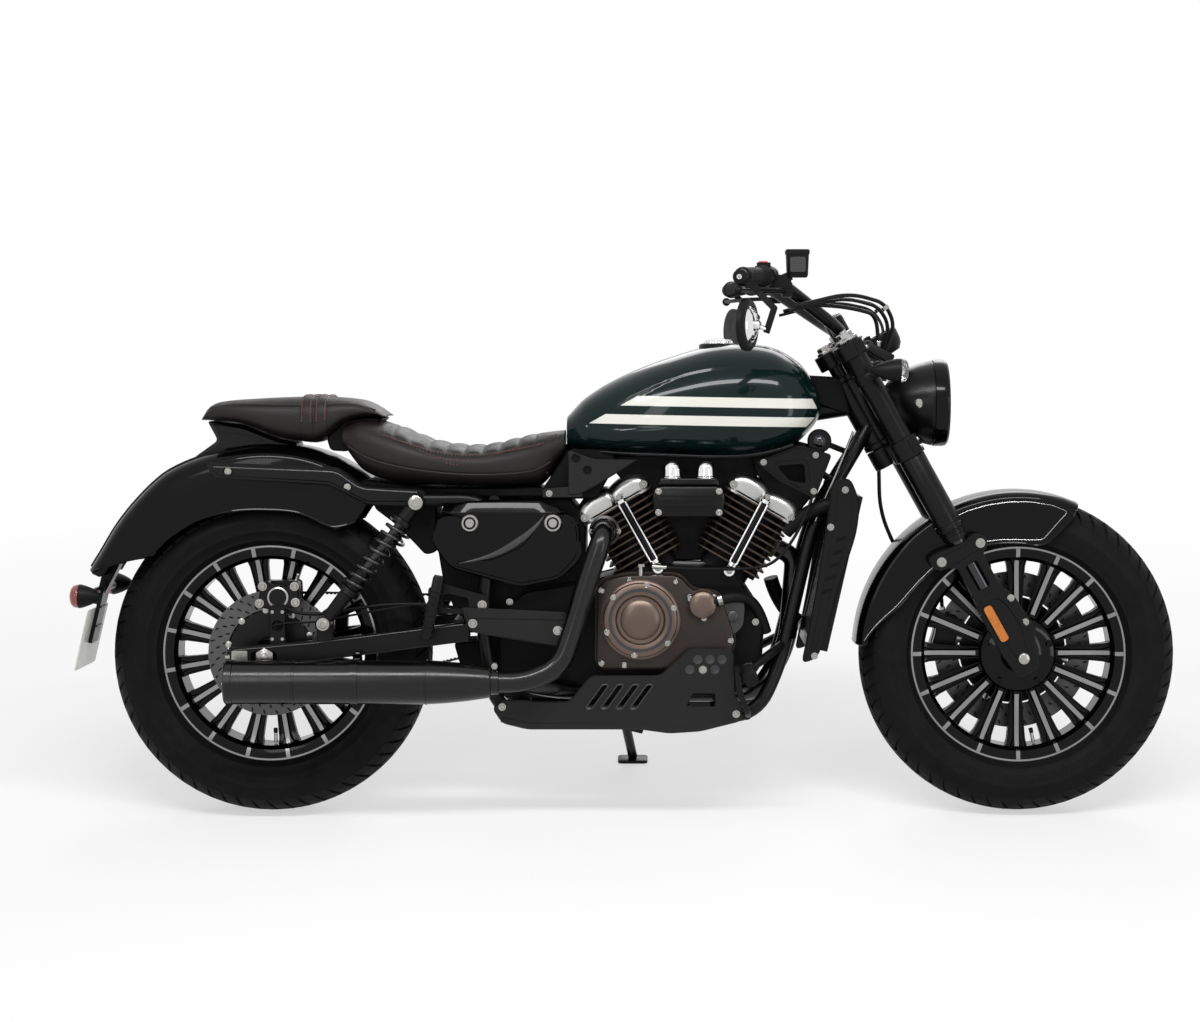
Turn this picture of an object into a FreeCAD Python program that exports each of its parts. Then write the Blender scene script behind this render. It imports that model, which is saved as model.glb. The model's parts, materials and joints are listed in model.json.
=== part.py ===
import FreeCAD, Part
import math
import os
import Sketcher
from FreeCAD import Placement, Rotation, Vector

# A cruiser motorcycle with a V-twin engine, parked on its side stand.
# It is modelled upright in the bike frame and every sub-part gets the same lean.
# Bike frame: +X forward, +Y to the rider's left, +Z up, ground at z = 0, x = 0 midway between the axles.

doc = FreeCAD.newDocument("Cruiser")
sheet = doc.addObject("Spreadsheet::Sheet", "Sizes")
row = 0


class Size:
    """A length in millimetres, or an angle in degrees, with the sheet formula that gives it."""

    def __init__(self, value, formula):
        self.value = float(value)
        self.formula = formula

    def __float__(self):
        return self.value

    def joined(self, other, sign, value):
        text = other.formula if isinstance(other, Size) else repr(float(other))
        return Size(value, "(%s %s %s)" % (self.formula, sign, text))

    def __add__(self, other):
        return self.joined(other, "+", self.value + float(other))

    def __radd__(self, other):
        return self + other

    def __sub__(self, other):
        return self.joined(other, "-", self.value - float(other))

    def __rsub__(self, other):
        return Size(float(other) - self.value, "(%r - %s)" % (float(other), self.formula))

    def __mul__(self, other):
        return self.joined(other, "*", self.value * float(other))

    def __rmul__(self, other):
        return self * other

    def __truediv__(self, other):
        return self.joined(other, "/", self.value / float(other))

    def __neg__(self):
        return Size(-self.value, "(0 - %s)" % self.formula)


def size(name, value):
    """One driving dimension: a cell of the sheet with its alias."""
    global row
    row += 1
    sheet.set("A%d" % row, name)
    sheet.set("B%d" % row, repr(float(value)))
    sheet.setAlias("B%d" % row, name)
    return Size(value, "Sizes.%s" % name)


# Whole machine
wheelbase = size("wheelbase", 1510)
lean_angle = size("lean_angle", 9)
steer_limit = size("steer_limit", 38)
gap = size("seat_clearance", 0.3)

# Wheels
rear_radius = size("rear_tyre_radius", 323)
rear_width = size("rear_tyre_width", 150)
front_radius = size("front_tyre_radius", 320)
front_width = size("front_tyre_width", 130)
crown_edge = size("tyre_crown_edge", 18)
bead_radius = size("rim_bead_radius", 203.5)
flange_height = size("rim_flange_height", 13.5)
rear_rim_width = size("rear_rim_width", 89)
front_rim_width = size("front_rim_width", 76)
hub_radius = size("hub_radius", 78)
hub_half = size("hub_half_width", 62)
hub_bore = size("hub_boss_radius", 34)
axle_radius = size("axle_radius", 10)
spoke_count = 16
spoke_width = size("spoke_width", 13)
spoke_depth = size("spoke_depth", 34)
front_disc_radius = size("front_disc_radius", 160)
rear_disc_radius = size("rear_disc_radius", 126)
disc_thick = size("disc_thickness", 5)
pulley_radius = size("rear_pulley_radius", 108)

# Front end
rake = size("rake_angle", 29)
fork_offset = size("fork_offset", 40)
fork_half_track = size("fork_half_track", 106)
stanchion_radius = size("stanchion_radius", 17)
fork_tube_radius = size("fork_tube_radius", 23)
fork_outer_radius = size("fork_outer_radius", 27)
fork_length = size("fork_length", 724)
low_clamp = size("low_clamp_along", 478)
top_clamp = size("top_clamp_along", 703)
head_radius = size("head_tube_radius", 27)
bar_radius = size("bar_radius", 12.7)
bar_seat = size("bar_seat_along", 742)
riser_half = size("riser_offset", 48)
bar_half_width = size("bar_half_width", 415)
headlamp_radius = size("headlamp_radius", 88)

# Frame
tube_radius = size("cradle_tube_radius", 14)
spine_radius = size("spine_tube_radius", 22)
cradle_half = size("cradle_half_width", 112)
cradle_height = size("cradle_height", 205)
pivot_x = size("swingarm_pivot_x", -325)
pivot_z = size("swingarm_pivot_z", 385)
pin_radius = size("pivot_pin_radius", 8)

# Bodywork
tank_half = size("tank_half_width", 150)
seat_half = size("seat_half_width", 150)
pad_half = size("pad_half_width", 115)
fender_half = size("rear_fender_half_width", 100)
front_fender_half = size("front_fender_half_width", 77.5)
fender_skin = size("fender_skin", 4)

# Engine
crank_x = size("crank_x", 88)
crank_z = size("crank_z", 372)
vee_half_angle = size("vee_half_angle", 30)
case_half = size("case_half_width", 95)
fin_count = 9
fin_pitch = size("fin_pitch", 14)

# Exhaust, shocks and stand
muffler_radius = size("muffler_radius", 43)
muffler_y = size("muffler_offset", 196)
muffler_z = size("muffler_height", 281)
pipe_radius = size("pipe_radius", 21)
shock_half = size("shock_half_track", 152)
arm_half = size("swingarm_half_track", 121)
stand_reach = size("stand_foot_offset", 330)

doc.recompute()


def point(x, y, z):
    return Vector(float(x), float(y), float(z))


def bind(item, field, value):
    """Sets a property, and ties it to the sheet where the value comes from there."""
    setattr(item, field, float(value))
    if isinstance(value, Size):
        item.setExpression(field, value.formula)


def facing(direction):
    """The turn that carries the z axis onto the direction."""
    return Rotation(Vector(0, 0, 1), Vector(direction))


def rod(radius, start, end, bore=None):
    """A round bar between two points, with an optional bore along it."""
    span = end - start
    bar = doc.addObject("Part::Cylinder", "Rod")
    bind(bar, "Radius", radius)
    bar.Height = span.Length
    bar.Placement = Placement(start, facing(span))
    if bore is None:
        return bar
    hole = doc.addObject("Part::Cylinder", "Bore")
    bind(hole, "Radius", bore)
    hole.Height = span.Length + 2
    step = Vector(span).normalize()
    hole.Placement = Placement(start - step, facing(span))
    return cut(bar, [hole])


def slab(length, width, height, centre, turn=None):
    """A block by its middle. Length, width and height lie along x, y and z before its turn."""
    block = doc.addObject("Part::Box", "Slab")
    bind(block, "Length", length)
    bind(block, "Width", width)
    bind(block, "Height", height)
    turn = turn or Rotation()
    half = Vector(float(length) / 2, float(width) / 2, float(height) / 2)
    block.Placement = Placement(centre - turn.multVec(half), turn)
    return block


def fused(items):
    if len(items) == 1:
        return items[0]
    joined = doc.addObject("Part::MultiFuse", "Joined")
    joined.Shapes = items
    joined.Refine = False
    return joined


def cut(base, tools):
    for tool in tools:
        result = doc.addObject("Part::Cut", "Cut")
        result.Base = base
        result.Tool = tool
        base = result
    return base


def group(items):
    """Like pieces of one node that don't touch."""
    pair = doc.addObject("Part::Compound", "Pair")
    pair.Links = items
    return pair


def mirrored(item):
    """The same piece on the other side of the machine."""
    twin = doc.addObject("Part::Mirroring", "Twin")
    twin.Source = item
    twin.Normal = Vector(0, 1, 0)
    return twin


def both(item):
    return group([item, mirrored(item)])


def shaped(shape):
    feature = doc.addObject("Part::Feature", "Shaped")
    feature.Shape = shape
    return feature


def outline_edges(outline):
    """Edges of a closed outline. A point is (u, v), and (u, v, "arc") is passed through by an arc."""
    edges = []
    count = len(outline)
    index = 0
    while index < count:
        here, after = outline[index], outline[(index + 1) % count]
        if len(after) == 3:
            far = outline[(index + 2) % count]
            edges.append((here, after, far))
            index += 2
        else:
            edges.append((here, after))
            index += 1
    return edges


def draw(sketch, outline):
    """Draws an outline into a sketch, and ties each corner that has a size to the sheet."""
    edges = outline_edges(outline)
    for edge in edges:
        spots = [Vector(float(spot[0]), float(spot[1]), 0) for spot in edge]
        if len(edge) == 3:
            sketch.addGeometry(Part.Arc(*spots), False)
        else:
            sketch.addGeometry(Part.LineSegment(*spots), False)
    for index, edge in enumerate(edges):
        start = 1
        if len(edge) == 3:
            curve = sketch.Geometry[index]
            first = Vector(float(edge[0][0]), float(edge[0][1]), 0)
            if (curve.StartPoint - first).Length > (curve.EndPoint - first).Length:
                start = 2
        for field, value in (("DistanceX", edge[0][0]), ("DistanceY", edge[0][1])):
            if isinstance(value, Size) and abs(float(value)) > 1e-6:
                rule = Sketcher.Constraint(field, -1, 1, index, start, float(value))
                place = sketch.addConstraint(rule)
                sketch.setExpression("Constraints[%d]" % place, value.formula)


def body_sketch(role, outline):
    body = doc.addObject("PartDesign::Body", "Body")
    sketch = body.newObject("Sketcher::SketchObject", "Outline")
    plane = [part for part in body.Origin.OriginFeatures if part.Role == role][0]
    sketch.AttachmentSupport = [(plane, "")]
    sketch.MapMode = "FlatFace"
    draw(sketch, outline)
    return body, sketch


def pressed(outline, thick, near):
    """A plate from its side outline of (x, z) corners. It spans y from near to near + thick."""
    body, sketch = body_sketch("XZ_Plane", outline)
    pad = body.newObject("PartDesign::Pad", "Plate")
    pad.Profile = sketch
    bind(pad, "Length", thick)
    pad.Reversed = True
    body.Placement = Placement(point(0, near, 0), Rotation())
    return body


def closed(faces):
    """A solid from flat faces that close on themselves."""
    shell = Part.makeShell(faces)
    shell.sewShape()
    solid = Part.makeSolid(shell)
    if solid.Volume < 0:
        solid.reverse()
    return shaped(solid)


def flat(corners):
    return Part.Face(Part.makePolygon(corners + [corners[0]]))


def walls(ring, following):
    """Flat faces between two rings with as many corners, split in two where they would twist."""
    faces = []
    for index, a in enumerate(ring):
        after = (index + 1) % len(ring)
        b, c, d = ring[after], following[after], following[index]
        normal = (b - a).cross(d - a)
        if abs(normal.normalize().dot(c - a)) < 1e-6:
            faces.append(flat([a, b, c, d]))
        else:
            faces.append(flat([a, b, c]))
            faces.append(flat([a, c, d]))
    return faces


def skin(rings):
    """A closed solid through rings of corners."""
    faces = [flat(rings[0]), flat(rings[-1])]
    for ring, following in zip(rings, rings[1:]):
        faces += walls(ring, following)
    return closed(faces)


def circle(centre, across, upward, radius, sides):
    """Corners round a circle whose plane holds the two directions."""
    turns = [2 * math.pi * index / sides for index in range(sides)]
    return [centre + (across * math.cos(turn) + upward * math.sin(turn)) * radius for turn in turns]


def turned(outline, centre, axis, sides=20):
    """A solid of revolution in flats. The outline holds (radius, place along the axis) from end to end."""
    turn = facing(axis)
    across, upward, along = [turn.multVec(Vector(*way)) for way in ((1, 0, 0), (0, 1, 0), (0, 0, 1))]
    return skin([circle(centre + along * float(v), across, upward, float(r), sides) for r, v in outline])


def hoop(outline, centre, sides=64):
    """A ring about the axle in flats. The outline holds (radius, place along the axle) corners."""
    rings = []
    for index in range(sides):
        angle = 2 * math.pi * index / sides
        away = Vector(math.cos(angle), 0, math.sin(angle))
        rings.append([centre + away * float(r) + Vector(0, float(y), 0) for r, y in outline])
    faces = []
    for index in range(sides):
        faces += walls(rings[index - 1], rings[index])
    return closed(faces)


def pipe(radius, points, bends, sides=12):
    """A round bar in flats: straight runs joined by tangent arcs, with a radius at each inner point."""
    radius = float(radius)
    way = (points[1] - points[0]).normalize()
    turn = facing(way)
    across, upward = turn.multVec(Vector(1, 0, 0)), turn.multVec(Vector(0, 1, 0))
    rings = [circle(points[0], across, upward, radius, sides)]
    for index, bend in enumerate(bends):
        corner = points[index + 1]
        back = (points[index] - corner).normalize()
        ahead = (points[index + 2] - corner).normalize()
        half = back.getAngle(ahead) / 2
        hub = corner + (back + ahead).normalize() * (bend / math.sin(half))
        enter = corner + back * (bend / math.tan(half))
        axis = (enter - hub).cross(-back).normalize()
        sweep = math.degrees(math.pi - 2 * half)
        steps = max(1, round(sweep / 18))
        for step in range(steps + 1):
            part_turn = Rotation(axis, sweep * step / steps)
            centre = hub + part_turn.multVec(enter - hub)
            rings.append(circle(centre, part_turn.multVec(across), part_turn.multVec(upward), radius, sides))
        whole_turn = Rotation(axis, sweep)
        across, upward = whole_turn.multVec(across), whole_turn.multVec(upward)
    rings.append(circle(points[-1], across, upward, radius, sides))
    return skin(rings)


def flip(spot):
    """The same place on the other side of the machine."""
    return Vector(spot.x, -spot.y, spot.z)


def sided(spot, side):
    return Vector(spot.x, side * spot.y, spot.z)


nodes = []


def node(name, item):
    """Marks a finished sub-part."""
    item.Label = name
    nodes.append(item)
    return item


# ---------------------------------------------------------------- anchors
rear_axle = point(-wheelbase / 2, 0, rear_radius)
front_axle = point(wheelbase / 2, 0, front_radius)
rake_turn = math.radians(float(rake))
up_fork = Vector(-math.sin(rake_turn), 0, math.cos(rake_turn))
out_fork = Vector(math.cos(rake_turn), 0, math.sin(rake_turn))
steer_base = front_axle - out_fork * float(fork_offset)
left = Vector(0, 1, 0)


def on_fork(along, side=0.0, ahead=0.0):
    """A place on the fork: along the legs from the axle, to the left, and ahead of the legs."""
    return front_axle + up_fork * float(along) + out_fork * float(ahead) + left * float(side)


def on_stem(along, side=0.0):
    return steer_base + up_fork * float(along) + left * float(side)


def fork_outline(corners):
    """An outline on the fork's side view, from (along, ahead) corners."""
    spots = [on_fork(along, 0, ahead) for along, ahead in corners]
    return [(spot.x, spot.z) for spot in spots]


def about(centre, angle, reach, side=0.0):
    """A place about an axle: by its angle up from straight ahead, its radius and its side."""
    way = Vector(math.cos(math.radians(angle)), 0, math.sin(math.radians(angle)))
    return centre + way * float(reach) + left * float(side)


head_low = on_stem(500)
head_high = on_stem(662)


# ---------------------------------------------------------------- wheels
def tyre(name, centre, radius, width, rim_width):
    half = width / 2
    bead = bead_radius + gap
    seat_edge = rim_width / 2 - gap
    outline = [(bead, seat_edge), (bead + flange_height, seat_edge), (radius - 72, half)]
    outline += [(radius - 34, half * 0.97), (radius - 9, crown_edge + 26), (radius, crown_edge)]
    other = [(reach, -side) for reach, side in reversed(outline)]
    return node(name, hoop(outline + other, centre))


def rim(name, centre, rim_width, first_spoke):
    half = rim_width / 2
    lip = bead_radius + flange_height
    outline = [(bead_radius, half), (lip, half), (lip, half + 5), (bead_radius - 6, half + 5)]
    outline += [(bead_radius - 21, half * 0.4)]
    other = [(reach, -side) for reach, side in reversed(outline)]
    pieces = [hoop(outline + other, centre)]
    inner = float(hub_radius) - 4
    outer = float(bead_radius) - 12
    for index in range(spoke_count):
        turn = Rotation(left, -(first_spoke + 360.0 / spoke_count * index))
        middle = centre + turn.multVec(Vector((inner + outer) / 2, 0, 0))
        pieces.append(slab(outer - inner, spoke_depth, spoke_width, middle, turn))
    side = left * float(hub_half)
    pieces.append(rod(hub_radius, centre - side * 0.55, centre + side * 0.55))
    pieces.append(rod(hub_bore, centre - side, centre + side))
    hole = rod(axle_radius + gap, centre - side * 1.1, centre + side * 1.1)
    return node(name, cut(fused(pieces), [hole]))


def disc(name, centre, radius, near):
    start = centre + left * float(near)
    return node(name, rod(radius, start, start + left * float(disc_thick), hub_bore + gap))


tyre("rear_tyre", rear_axle, rear_radius, rear_width, rear_rim_width)
rim("rear_rim", rear_axle, rear_rim_width, 99.7)
disc("rear_disc", rear_axle, rear_disc_radius, -50)
belt_side = size("belt_inner_side", 78)
belt_width = size("belt_width", 14)
pulley_near = rear_axle + left * float(belt_side - 1)
pulley_far = pulley_near + left * float(belt_width + 2)
pulley = [
    rod(pulley_radius, pulley_near, pulley_far),
    rod(64, rear_axle + left * 46, pulley_near + left * 4),
]
pulley_room = [
    rod(hub_bore + gap, rear_axle + left * 40, rear_axle + left * 100),
    rod(pulley_radius - 12, pulley_near + left * 6, pulley_far + left),
]
node("rear_pulley", cut(fused(pulley), pulley_room))
tyre("front_tyre", front_axle, front_radius, front_width, front_rim_width)
rim("front_rim", front_axle, front_rim_width, 90.0)
disc("front_disc", front_axle, front_disc_radius, 50)

# ---------------------------------------------------------------- steering
tilt = Rotation(left, -float(rake))
pieces = [rod(15, on_stem(low_clamp), on_stem(top_clamp))]
for along, height in ((low_clamp, 40), (top_clamp, 32)):
    rise = up_fork * (height / 2)
    pieces.append(slab(44, fork_half_track * 2, height, on_fork(along, 0, -12), tilt))
    pieces.append(rod(30, on_stem(along) - rise, on_stem(along) + rise))
    for side in (-1, 1):
        leg_place = on_fork(along, fork_half_track * side)
        pieces.append(rod(31, leg_place - rise, leg_place + rise))
bores = []
for side in (-1, 1):
    riser = on_fork(top_clamp, riser_half * side, 2)
    pieces.append(rod(17, riser, on_fork(bar_seat + 16, riser_half * side, 2)))
    track = fork_half_track * side
    bores.append(rod(fork_tube_radius + gap, on_fork(low_clamp - 30, track), on_fork(fork_length, track)))
bar_middle = on_fork(bar_seat, 0, 2)
bores.append(rod(bar_radius + gap, bar_middle - left * 75, bar_middle + left * 75))
node("triple_clamps", cut(fused(pieces), bores))

tube_foot = size("outer_tube_foot", 269)
legs = []
stanchions = []
sliders = []
casting_near = fork_half_track - 24
casting_outline = [(-32, -26), (-32, 20), (10, 34), (47, 50), (120, 44), (151, 30), (222, 30)]
casting_outline += [(229, 45), (247, 53), (267, 37), (261, 4), (268, -51), (264, -72), (238, -70)]
casting_outline += [(222, -27), (150, -29), (100, -33), (20, -33)]
window_outline = [(162, -13), (162, 13), (216, 13), (216, -13)]
for side in (-1, 1):
    track = fork_half_track * side
    neck = on_fork(low_clamp - 20.3, track)
    legs.append(
        fused(
            [
                rod(fork_outer_radius, on_fork(tube_foot + 17, track), neck),
                rod(22, on_fork(tube_foot, track), on_fork(tube_foot + 18, track)),
                rod(fork_tube_radius, neck - up_fork, on_fork(fork_length, track)),
            ]
        )
    )
    stanchions.append(rod(stanchion_radius, on_fork(60, track), on_fork(tube_foot - gap, track)))
    near = casting_near if side > 0 else -casting_near - 46
    casting = pressed(fork_outline(casting_outline), 46, near)
    window = pressed(fork_outline(window_outline), 60, float(near) - 7)
    room = rod(stanchion_radius + gap, on_fork(59.7, track), on_fork(300, track))
    axle_hole = rod(axle_radius + gap, front_axle - left * 140, front_axle + left * 140)
    held = [casting]
    for along, ahead in ((255, -58), (247, 39)):
        start = on_fork(along, side * (float(front_fender_half) + 0.3), ahead)
        held.append(rod(8, start, on_fork(along, side * (float(casting_near) + 2), ahead)))
    sliders.append(cut(fused(held), [window, room, axle_hole]))
node("fork_tubes", group(legs))
node("fork_stanchions", group(stanchions))
node("fork_sliders", group(sliders))
axle_end = fork_half_track + 28
axle_side = left * float(axle_end)
node("front_axle", rod(axle_radius, front_axle - axle_side, front_axle + axle_side))
reflectors = []
for side in (-1, 1):
    middle = on_fork(88, side * (float(casting_near) + 49.3), -15)
    reflectors.append(slab(21, 6, 82, middle, tilt))
node("reflectors", group(reflectors))


def between(table, most):
    """The rows of a table with more worked out between them, so that the first column steps by less."""
    rows = [table[0]]
    for row_from, row_to in zip(table, table[1:]):
        steps = math.ceil((row_to[0] - row_from[0]) / most)
        for step in range(1, steps + 1):
            part = step / steps
            rows.append(tuple(a + (b - a) * part for a, b in zip(row_from, row_to)))
    return rows


def arch(centre, table, half, thick):
    """A mudguard over the wheel. Table columns: angle, outer radius, radius of the side walls' edge."""
    rings = []
    for angle, outer, edge in between(table, 7):
        drop = min(22.0, (outer - edge) / 2.0)
        profile = [(edge, half), (outer - drop, half), (outer, half * 0.6)]
        profile += [(outer, -half * 0.6), (outer - drop, -half), (edge, -half)]
        profile += [(edge, thick - half), (outer - drop - thick / 2, thick - half)]
        profile += [(outer - thick, thick / 2 - half * 0.6), (outer - thick, half * 0.6 - thick / 2)]
        profile += [(outer - drop - thick / 2, half - thick), (edge, half - thick)]
        rings.append([about(centre, angle, reach, side) for reach, side in profile])
    return skin(rings)


front_arch = [(69, 329, 300), (76, 331, 232), (90, 332, 227), (105, 332, 232), (118, 332, 238)]
front_arch += [(131, 332, 244), (144, 332, 250), (158, 332, 262), (168, 332, 296), (176, 332, 318)]
node("front_fender", arch(front_axle, front_arch, float(front_fender_half), float(fender_skin)))

lamp_centre = on_fork(526, 0, 97)
bucket_outline = [(14, -104), (32, -97), (56, -74), (74, -36), (headlamp_radius, 0), (headlamp_radius, 18)]
lamp_ahead = Vector(1, 0, 0)
lamp_room = rod(headlamp_radius - 6, lamp_centre + lamp_ahead * 8, lamp_centre + lamp_ahead * 20)
lamp_bracket = slab(50, 60, 22, on_fork(low_clamp, 0, 35.3), tilt)
bucket = turned(bucket_outline, lamp_centre, lamp_ahead, 28)
node("headlamp", cut(fused([bucket, lamp_bracket]), [lamp_room]))
lens_edge = headlamp_radius - 6 - gap
lens_outline = [(lens_edge, 8), (lens_edge, 18), (50, 26), (20, 29)]
node("headlamp_lens", turned(lens_outline, lamp_centre, lamp_ahead, 28))

meter = turned([(30, -8), (38, 2), (42, 14), (42, 32), (37, 36)], on_fork(664, 0, 64), up_fork)
meter_arm = slab(40, 54, 18, on_fork(top_clamp - 4, 0, 30.3), tilt)
meter_box = slab(66, 120, 22, point(472, 0, 930), Rotation(left, 30))
node("instrument", fused([meter, meter_arm, meter_box]))

signals = []
for side in (-1, 1):
    stalk_track = fork_half_track * side
    stalk = on_fork(640, stalk_track, 0)
    lamp = on_fork(640, side * 173, 12) + Vector(20, 0, 6)
    shell = turned([(10, -24), (20, -12), (24, 14), (19, 25)], lamp, lamp_ahead, 16)
    room = rod(fork_tube_radius + gap, on_fork(600, stalk_track), on_fork(fork_length - 40, stalk_track))
    signals.append(fused([cut(rod(7, stalk, lamp), [room]), shell]))
node("front_signals", group(signals))

bar_tip = point(187, bar_half_width, 1070)
bar_turn = point(248, 235, 1079)
bar_foot = Vector(bar_middle.x, 90, bar_middle.z)
bar_route = [flip(bar_tip), flip(bar_turn), flip(bar_foot), bar_foot, bar_turn, bar_tip]


def bar_pipe(radius):
    return pipe(radius, bar_route, [45, 40, 40, 45])


bar_bare_half = size("bare_bar_half_length", 30.5)
bare_half = left * float(bar_bare_half)
bar_clamp_run = rod(bar_radius, bar_middle - bare_half, bar_middle + bare_half)
node("handlebar", fused([bar_pipe(bar_radius), bar_clamp_run]))
inward = (bar_turn - bar_tip).normalize()


def on_bar(side, run):
    """A place on the bar's outer run, measured inward from its end."""
    return sided(bar_tip + inward * float(run), side)


bar_bore = bar_radius + gap
grips = []
controls = []
mirrors = []
for side in (-1, 1):
    grips.append(rod(17, on_bar(side, -2), on_bar(side, 118), bar_bore))
    perch = on_bar(side, 170)
    arm = perch + Vector(22, 0, -12)
    hinge = perch + Vector(40, side * -4, -32)
    held = [
        rod(22, on_bar(side, 118.3), on_bar(side, 156)),
        rod(18, on_bar(side, 155), on_bar(side, 182)),
        slab(44, 22, 26, arm),
        pipe(6, [hinge, sided(point(205, 330, 1047), side), sided(point(177, 432, 1044), side)], [200], 8),
        turned([(4, -8), (9, -2), (9, 4), (4, 9)], sided(point(176, 432, 1044), side), left, 10),
        slab(20, 26, 28, hinge - Vector(4, 0, -4)),
    ]
    if side < 0:
        held.append(slab(46, 50, 54, perch + Vector(56, 2, 23)))
    controls.append(cut(fused(held), [bar_pipe(bar_bore)]))
    knee = sided(point(245, 430, 1010), side)
    drop = sided(point(231, 430, 966), side)
    strap = pipe(6, [on_bar(side, -13) + Vector(3, side * 2, 0), knee, drop], [14], 8)
    back = sided(point(189, 430, 979), side)
    mirror_axis = Vector(1, 0, 0)
    shell = turned([(50, 0), (50, 8), (40, 16), (28, 22)], back, mirror_axis, 24)
    stem = rod(5, drop + Vector(0, 0, 4), back + Vector(20, 0, 0))
    mirrors.append(fused([shell, strap, stem, rod(14, on_bar(side, -20), on_bar(side, -2.3))]))
node("grips", group(grips))
node("bar_controls", group(controls))
node("mirrors", group(mirrors))

caliper_turn = Rotation(left, 12)
caliper_block = slab(50, 62, 92, about(front_axle, 168, 144, 64), caliper_turn)
caliper_arm = slab(116, 13.7, 40, front_axle + Vector(-74, 74.8, 30))
disc_room = rod(front_disc_radius + 3, front_axle + left * 46, front_axle + left * 59)
node("front_caliper", cut(fused([caliper_block, caliper_arm]), [disc_room]))

cable_radius = size("cable_radius", 4)
loops = []
for side in (-1, 1):
    loop = [(294, 226, 1019), (407, 150, 1047), (482, 90, 1028), (504, 60, 985), (488, 50, 934.5)]
    route = [sided(point(*spot), side) for spot in loop]
    loops.append(pipe(cable_radius, route, [80, 60, 50], 8))
inner_loop = [point(300, -196, 1024), point(400, -140, 1020), point(466, -62, 1006), point(472, -52, 946.2)]
loops.append(pipe(cable_radius, inner_loop, [60, 24], 8))
hose = [
    point(484, 88, 694), point(486, 91, 600), point(530, 91, 500),
    point(612, 84, 440), point(614, 74, 398),
]
loops.append(pipe(cable_radius, hose, [150, 150, 26], 8))
node("bar_cables", group(loops))

# ---------------------------------------------------------------- frame
down_top = head_low + Vector(-24, 16, 40)
down_knee = point(340, 62, 590)
down_foot = point(270, 84, 300)
cradle_nose = point(222, cradle_half, cradle_height)
cradle_tail = point(pivot_x + 30, cradle_half, cradle_height)
pivot = point(pivot_x, cradle_half, pivot_z)
rail_knee = point(-300, cradle_half, 636)
rail_end = point(-440, cradle_half, 636)
cradle_route = [down_top, down_knee, down_foot, cradle_nose, cradle_tail, pivot, rail_knee, rail_end]
spine_route = [on_stem(600), point(-150, 0, 735), point(-300, 0, 628)]


def cradle_pipe(side, radius):
    """One side of the double cradle, from the head down, back and up to the seat rail."""
    return pipe(radius, [sided(spot, side) for spot in cradle_route], [160, 160, 60, 70, 90, 60])


def spine_pipe(radius):
    return pipe(radius, spine_route, [120], 16)


def crossbar(radius, x, z, half):
    """A round bar across the machine."""
    return rod(radius, point(x, -half, z), point(x, half, z))


tubes = [rod(head_radius, head_low, head_high), spine_pipe(spine_radius)]
tubes.append(crossbar(12, -300, 632, cradle_half))
for x, block_x in ((150, 150), (-250, -250)):
    tubes.append(crossbar(12, x, cradle_height, cradle_half))
    tubes.append(slab(36, 90, 34.7, point(block_x, 0, 222.35)))
for x in (100, -200):
    tubes.append(rod(7, point(x, -112, cradle_height), point(x, -138.7, cradle_height)))
for side in (-1, 1):
    tubes.append(cradle_pipe(side, tube_radius))
    tubes.append(rod(13, point(pivot_x, side * 112, pivot_z), point(pivot_x, side * 139.7, pivot_z)))
    low_boss = point(pivot_x, side * 112, pivot_z + 40)
    tubes.append(rod(9, low_boss, low_boss + left * (side * 20.2)))
    tubes.append(rod(7, point(384, side * 44, 668), point(350, side * 92, 690)))
    tubes.append(rod(7, point(350, side * 89, 690), point(350, side * 98, 690)))
tubes.append(slab(20, 223.4, 28, point(-135, 0, 704)))
lean_back = Rotation(Vector(1, 0, 0), float(lean_angle))
lift = float(crown_edge) * math.sin(math.radians(float(lean_angle)))
ground_up = lean_back.multVec(Vector(0, 0, 1))
ground_spot = lean_back.multVec(Vector(0, 0, -lift))
stand_pivot = point(-60, 152, 236)
stand_foot = point(-28, stand_reach, 0)
lean_slope = math.tan(math.radians(float(lean_angle)))
stand_foot.z = ground_spot.z + (stand_foot.y - ground_spot.y) * lean_slope
leg_end = stand_foot + ground_up * 10
leg_line = (leg_end - stand_pivot).normalize()
folded_line = Vector(-0.99, 0.12, 0.05).normalize()
stand_axis = leg_line.cross(folded_line).normalize()
tubes.append(rod(15, stand_pivot - stand_axis * 52, stand_pivot - stand_axis * 11.3))
stem_hole = rod(15.5, on_stem(470), on_stem(700))
pivot_hole = crossbar(pin_radius + gap, pivot_x, pivot_z, 160)
node("frame", cut(fused(tubes), [stem_hole, pivot_hole]))

plate_outline = [(220, 711), (310.5, 745), (374.8, 725), (340.6, 635.5), (270, 671)]
plate_window = [(266, 702), (318, 706), (322, 668), (290, 674)]
plates = []
for side in (-1, 1):
    near = 98.3 if side > 0 else -104.3
    plate = pressed(plate_outline, 6, near)
    plates.append(cut(plate, [pressed(plate_window, 20, near - 7)]))
horn_place = point(350.5, 0, 752)
horn = turned([(8, 70), (18, 74), (23, 82), (23, 90), (14, 97)], horn_place, -left, 16)
horn_arm = rod(6, horn_place - left * 74, point(420, -29, 724))
plates.append(cut(fused([horn, horn_arm]), [cradle_pipe(-1, tube_radius + gap)]))
node("head_plates", group(plates))

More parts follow.
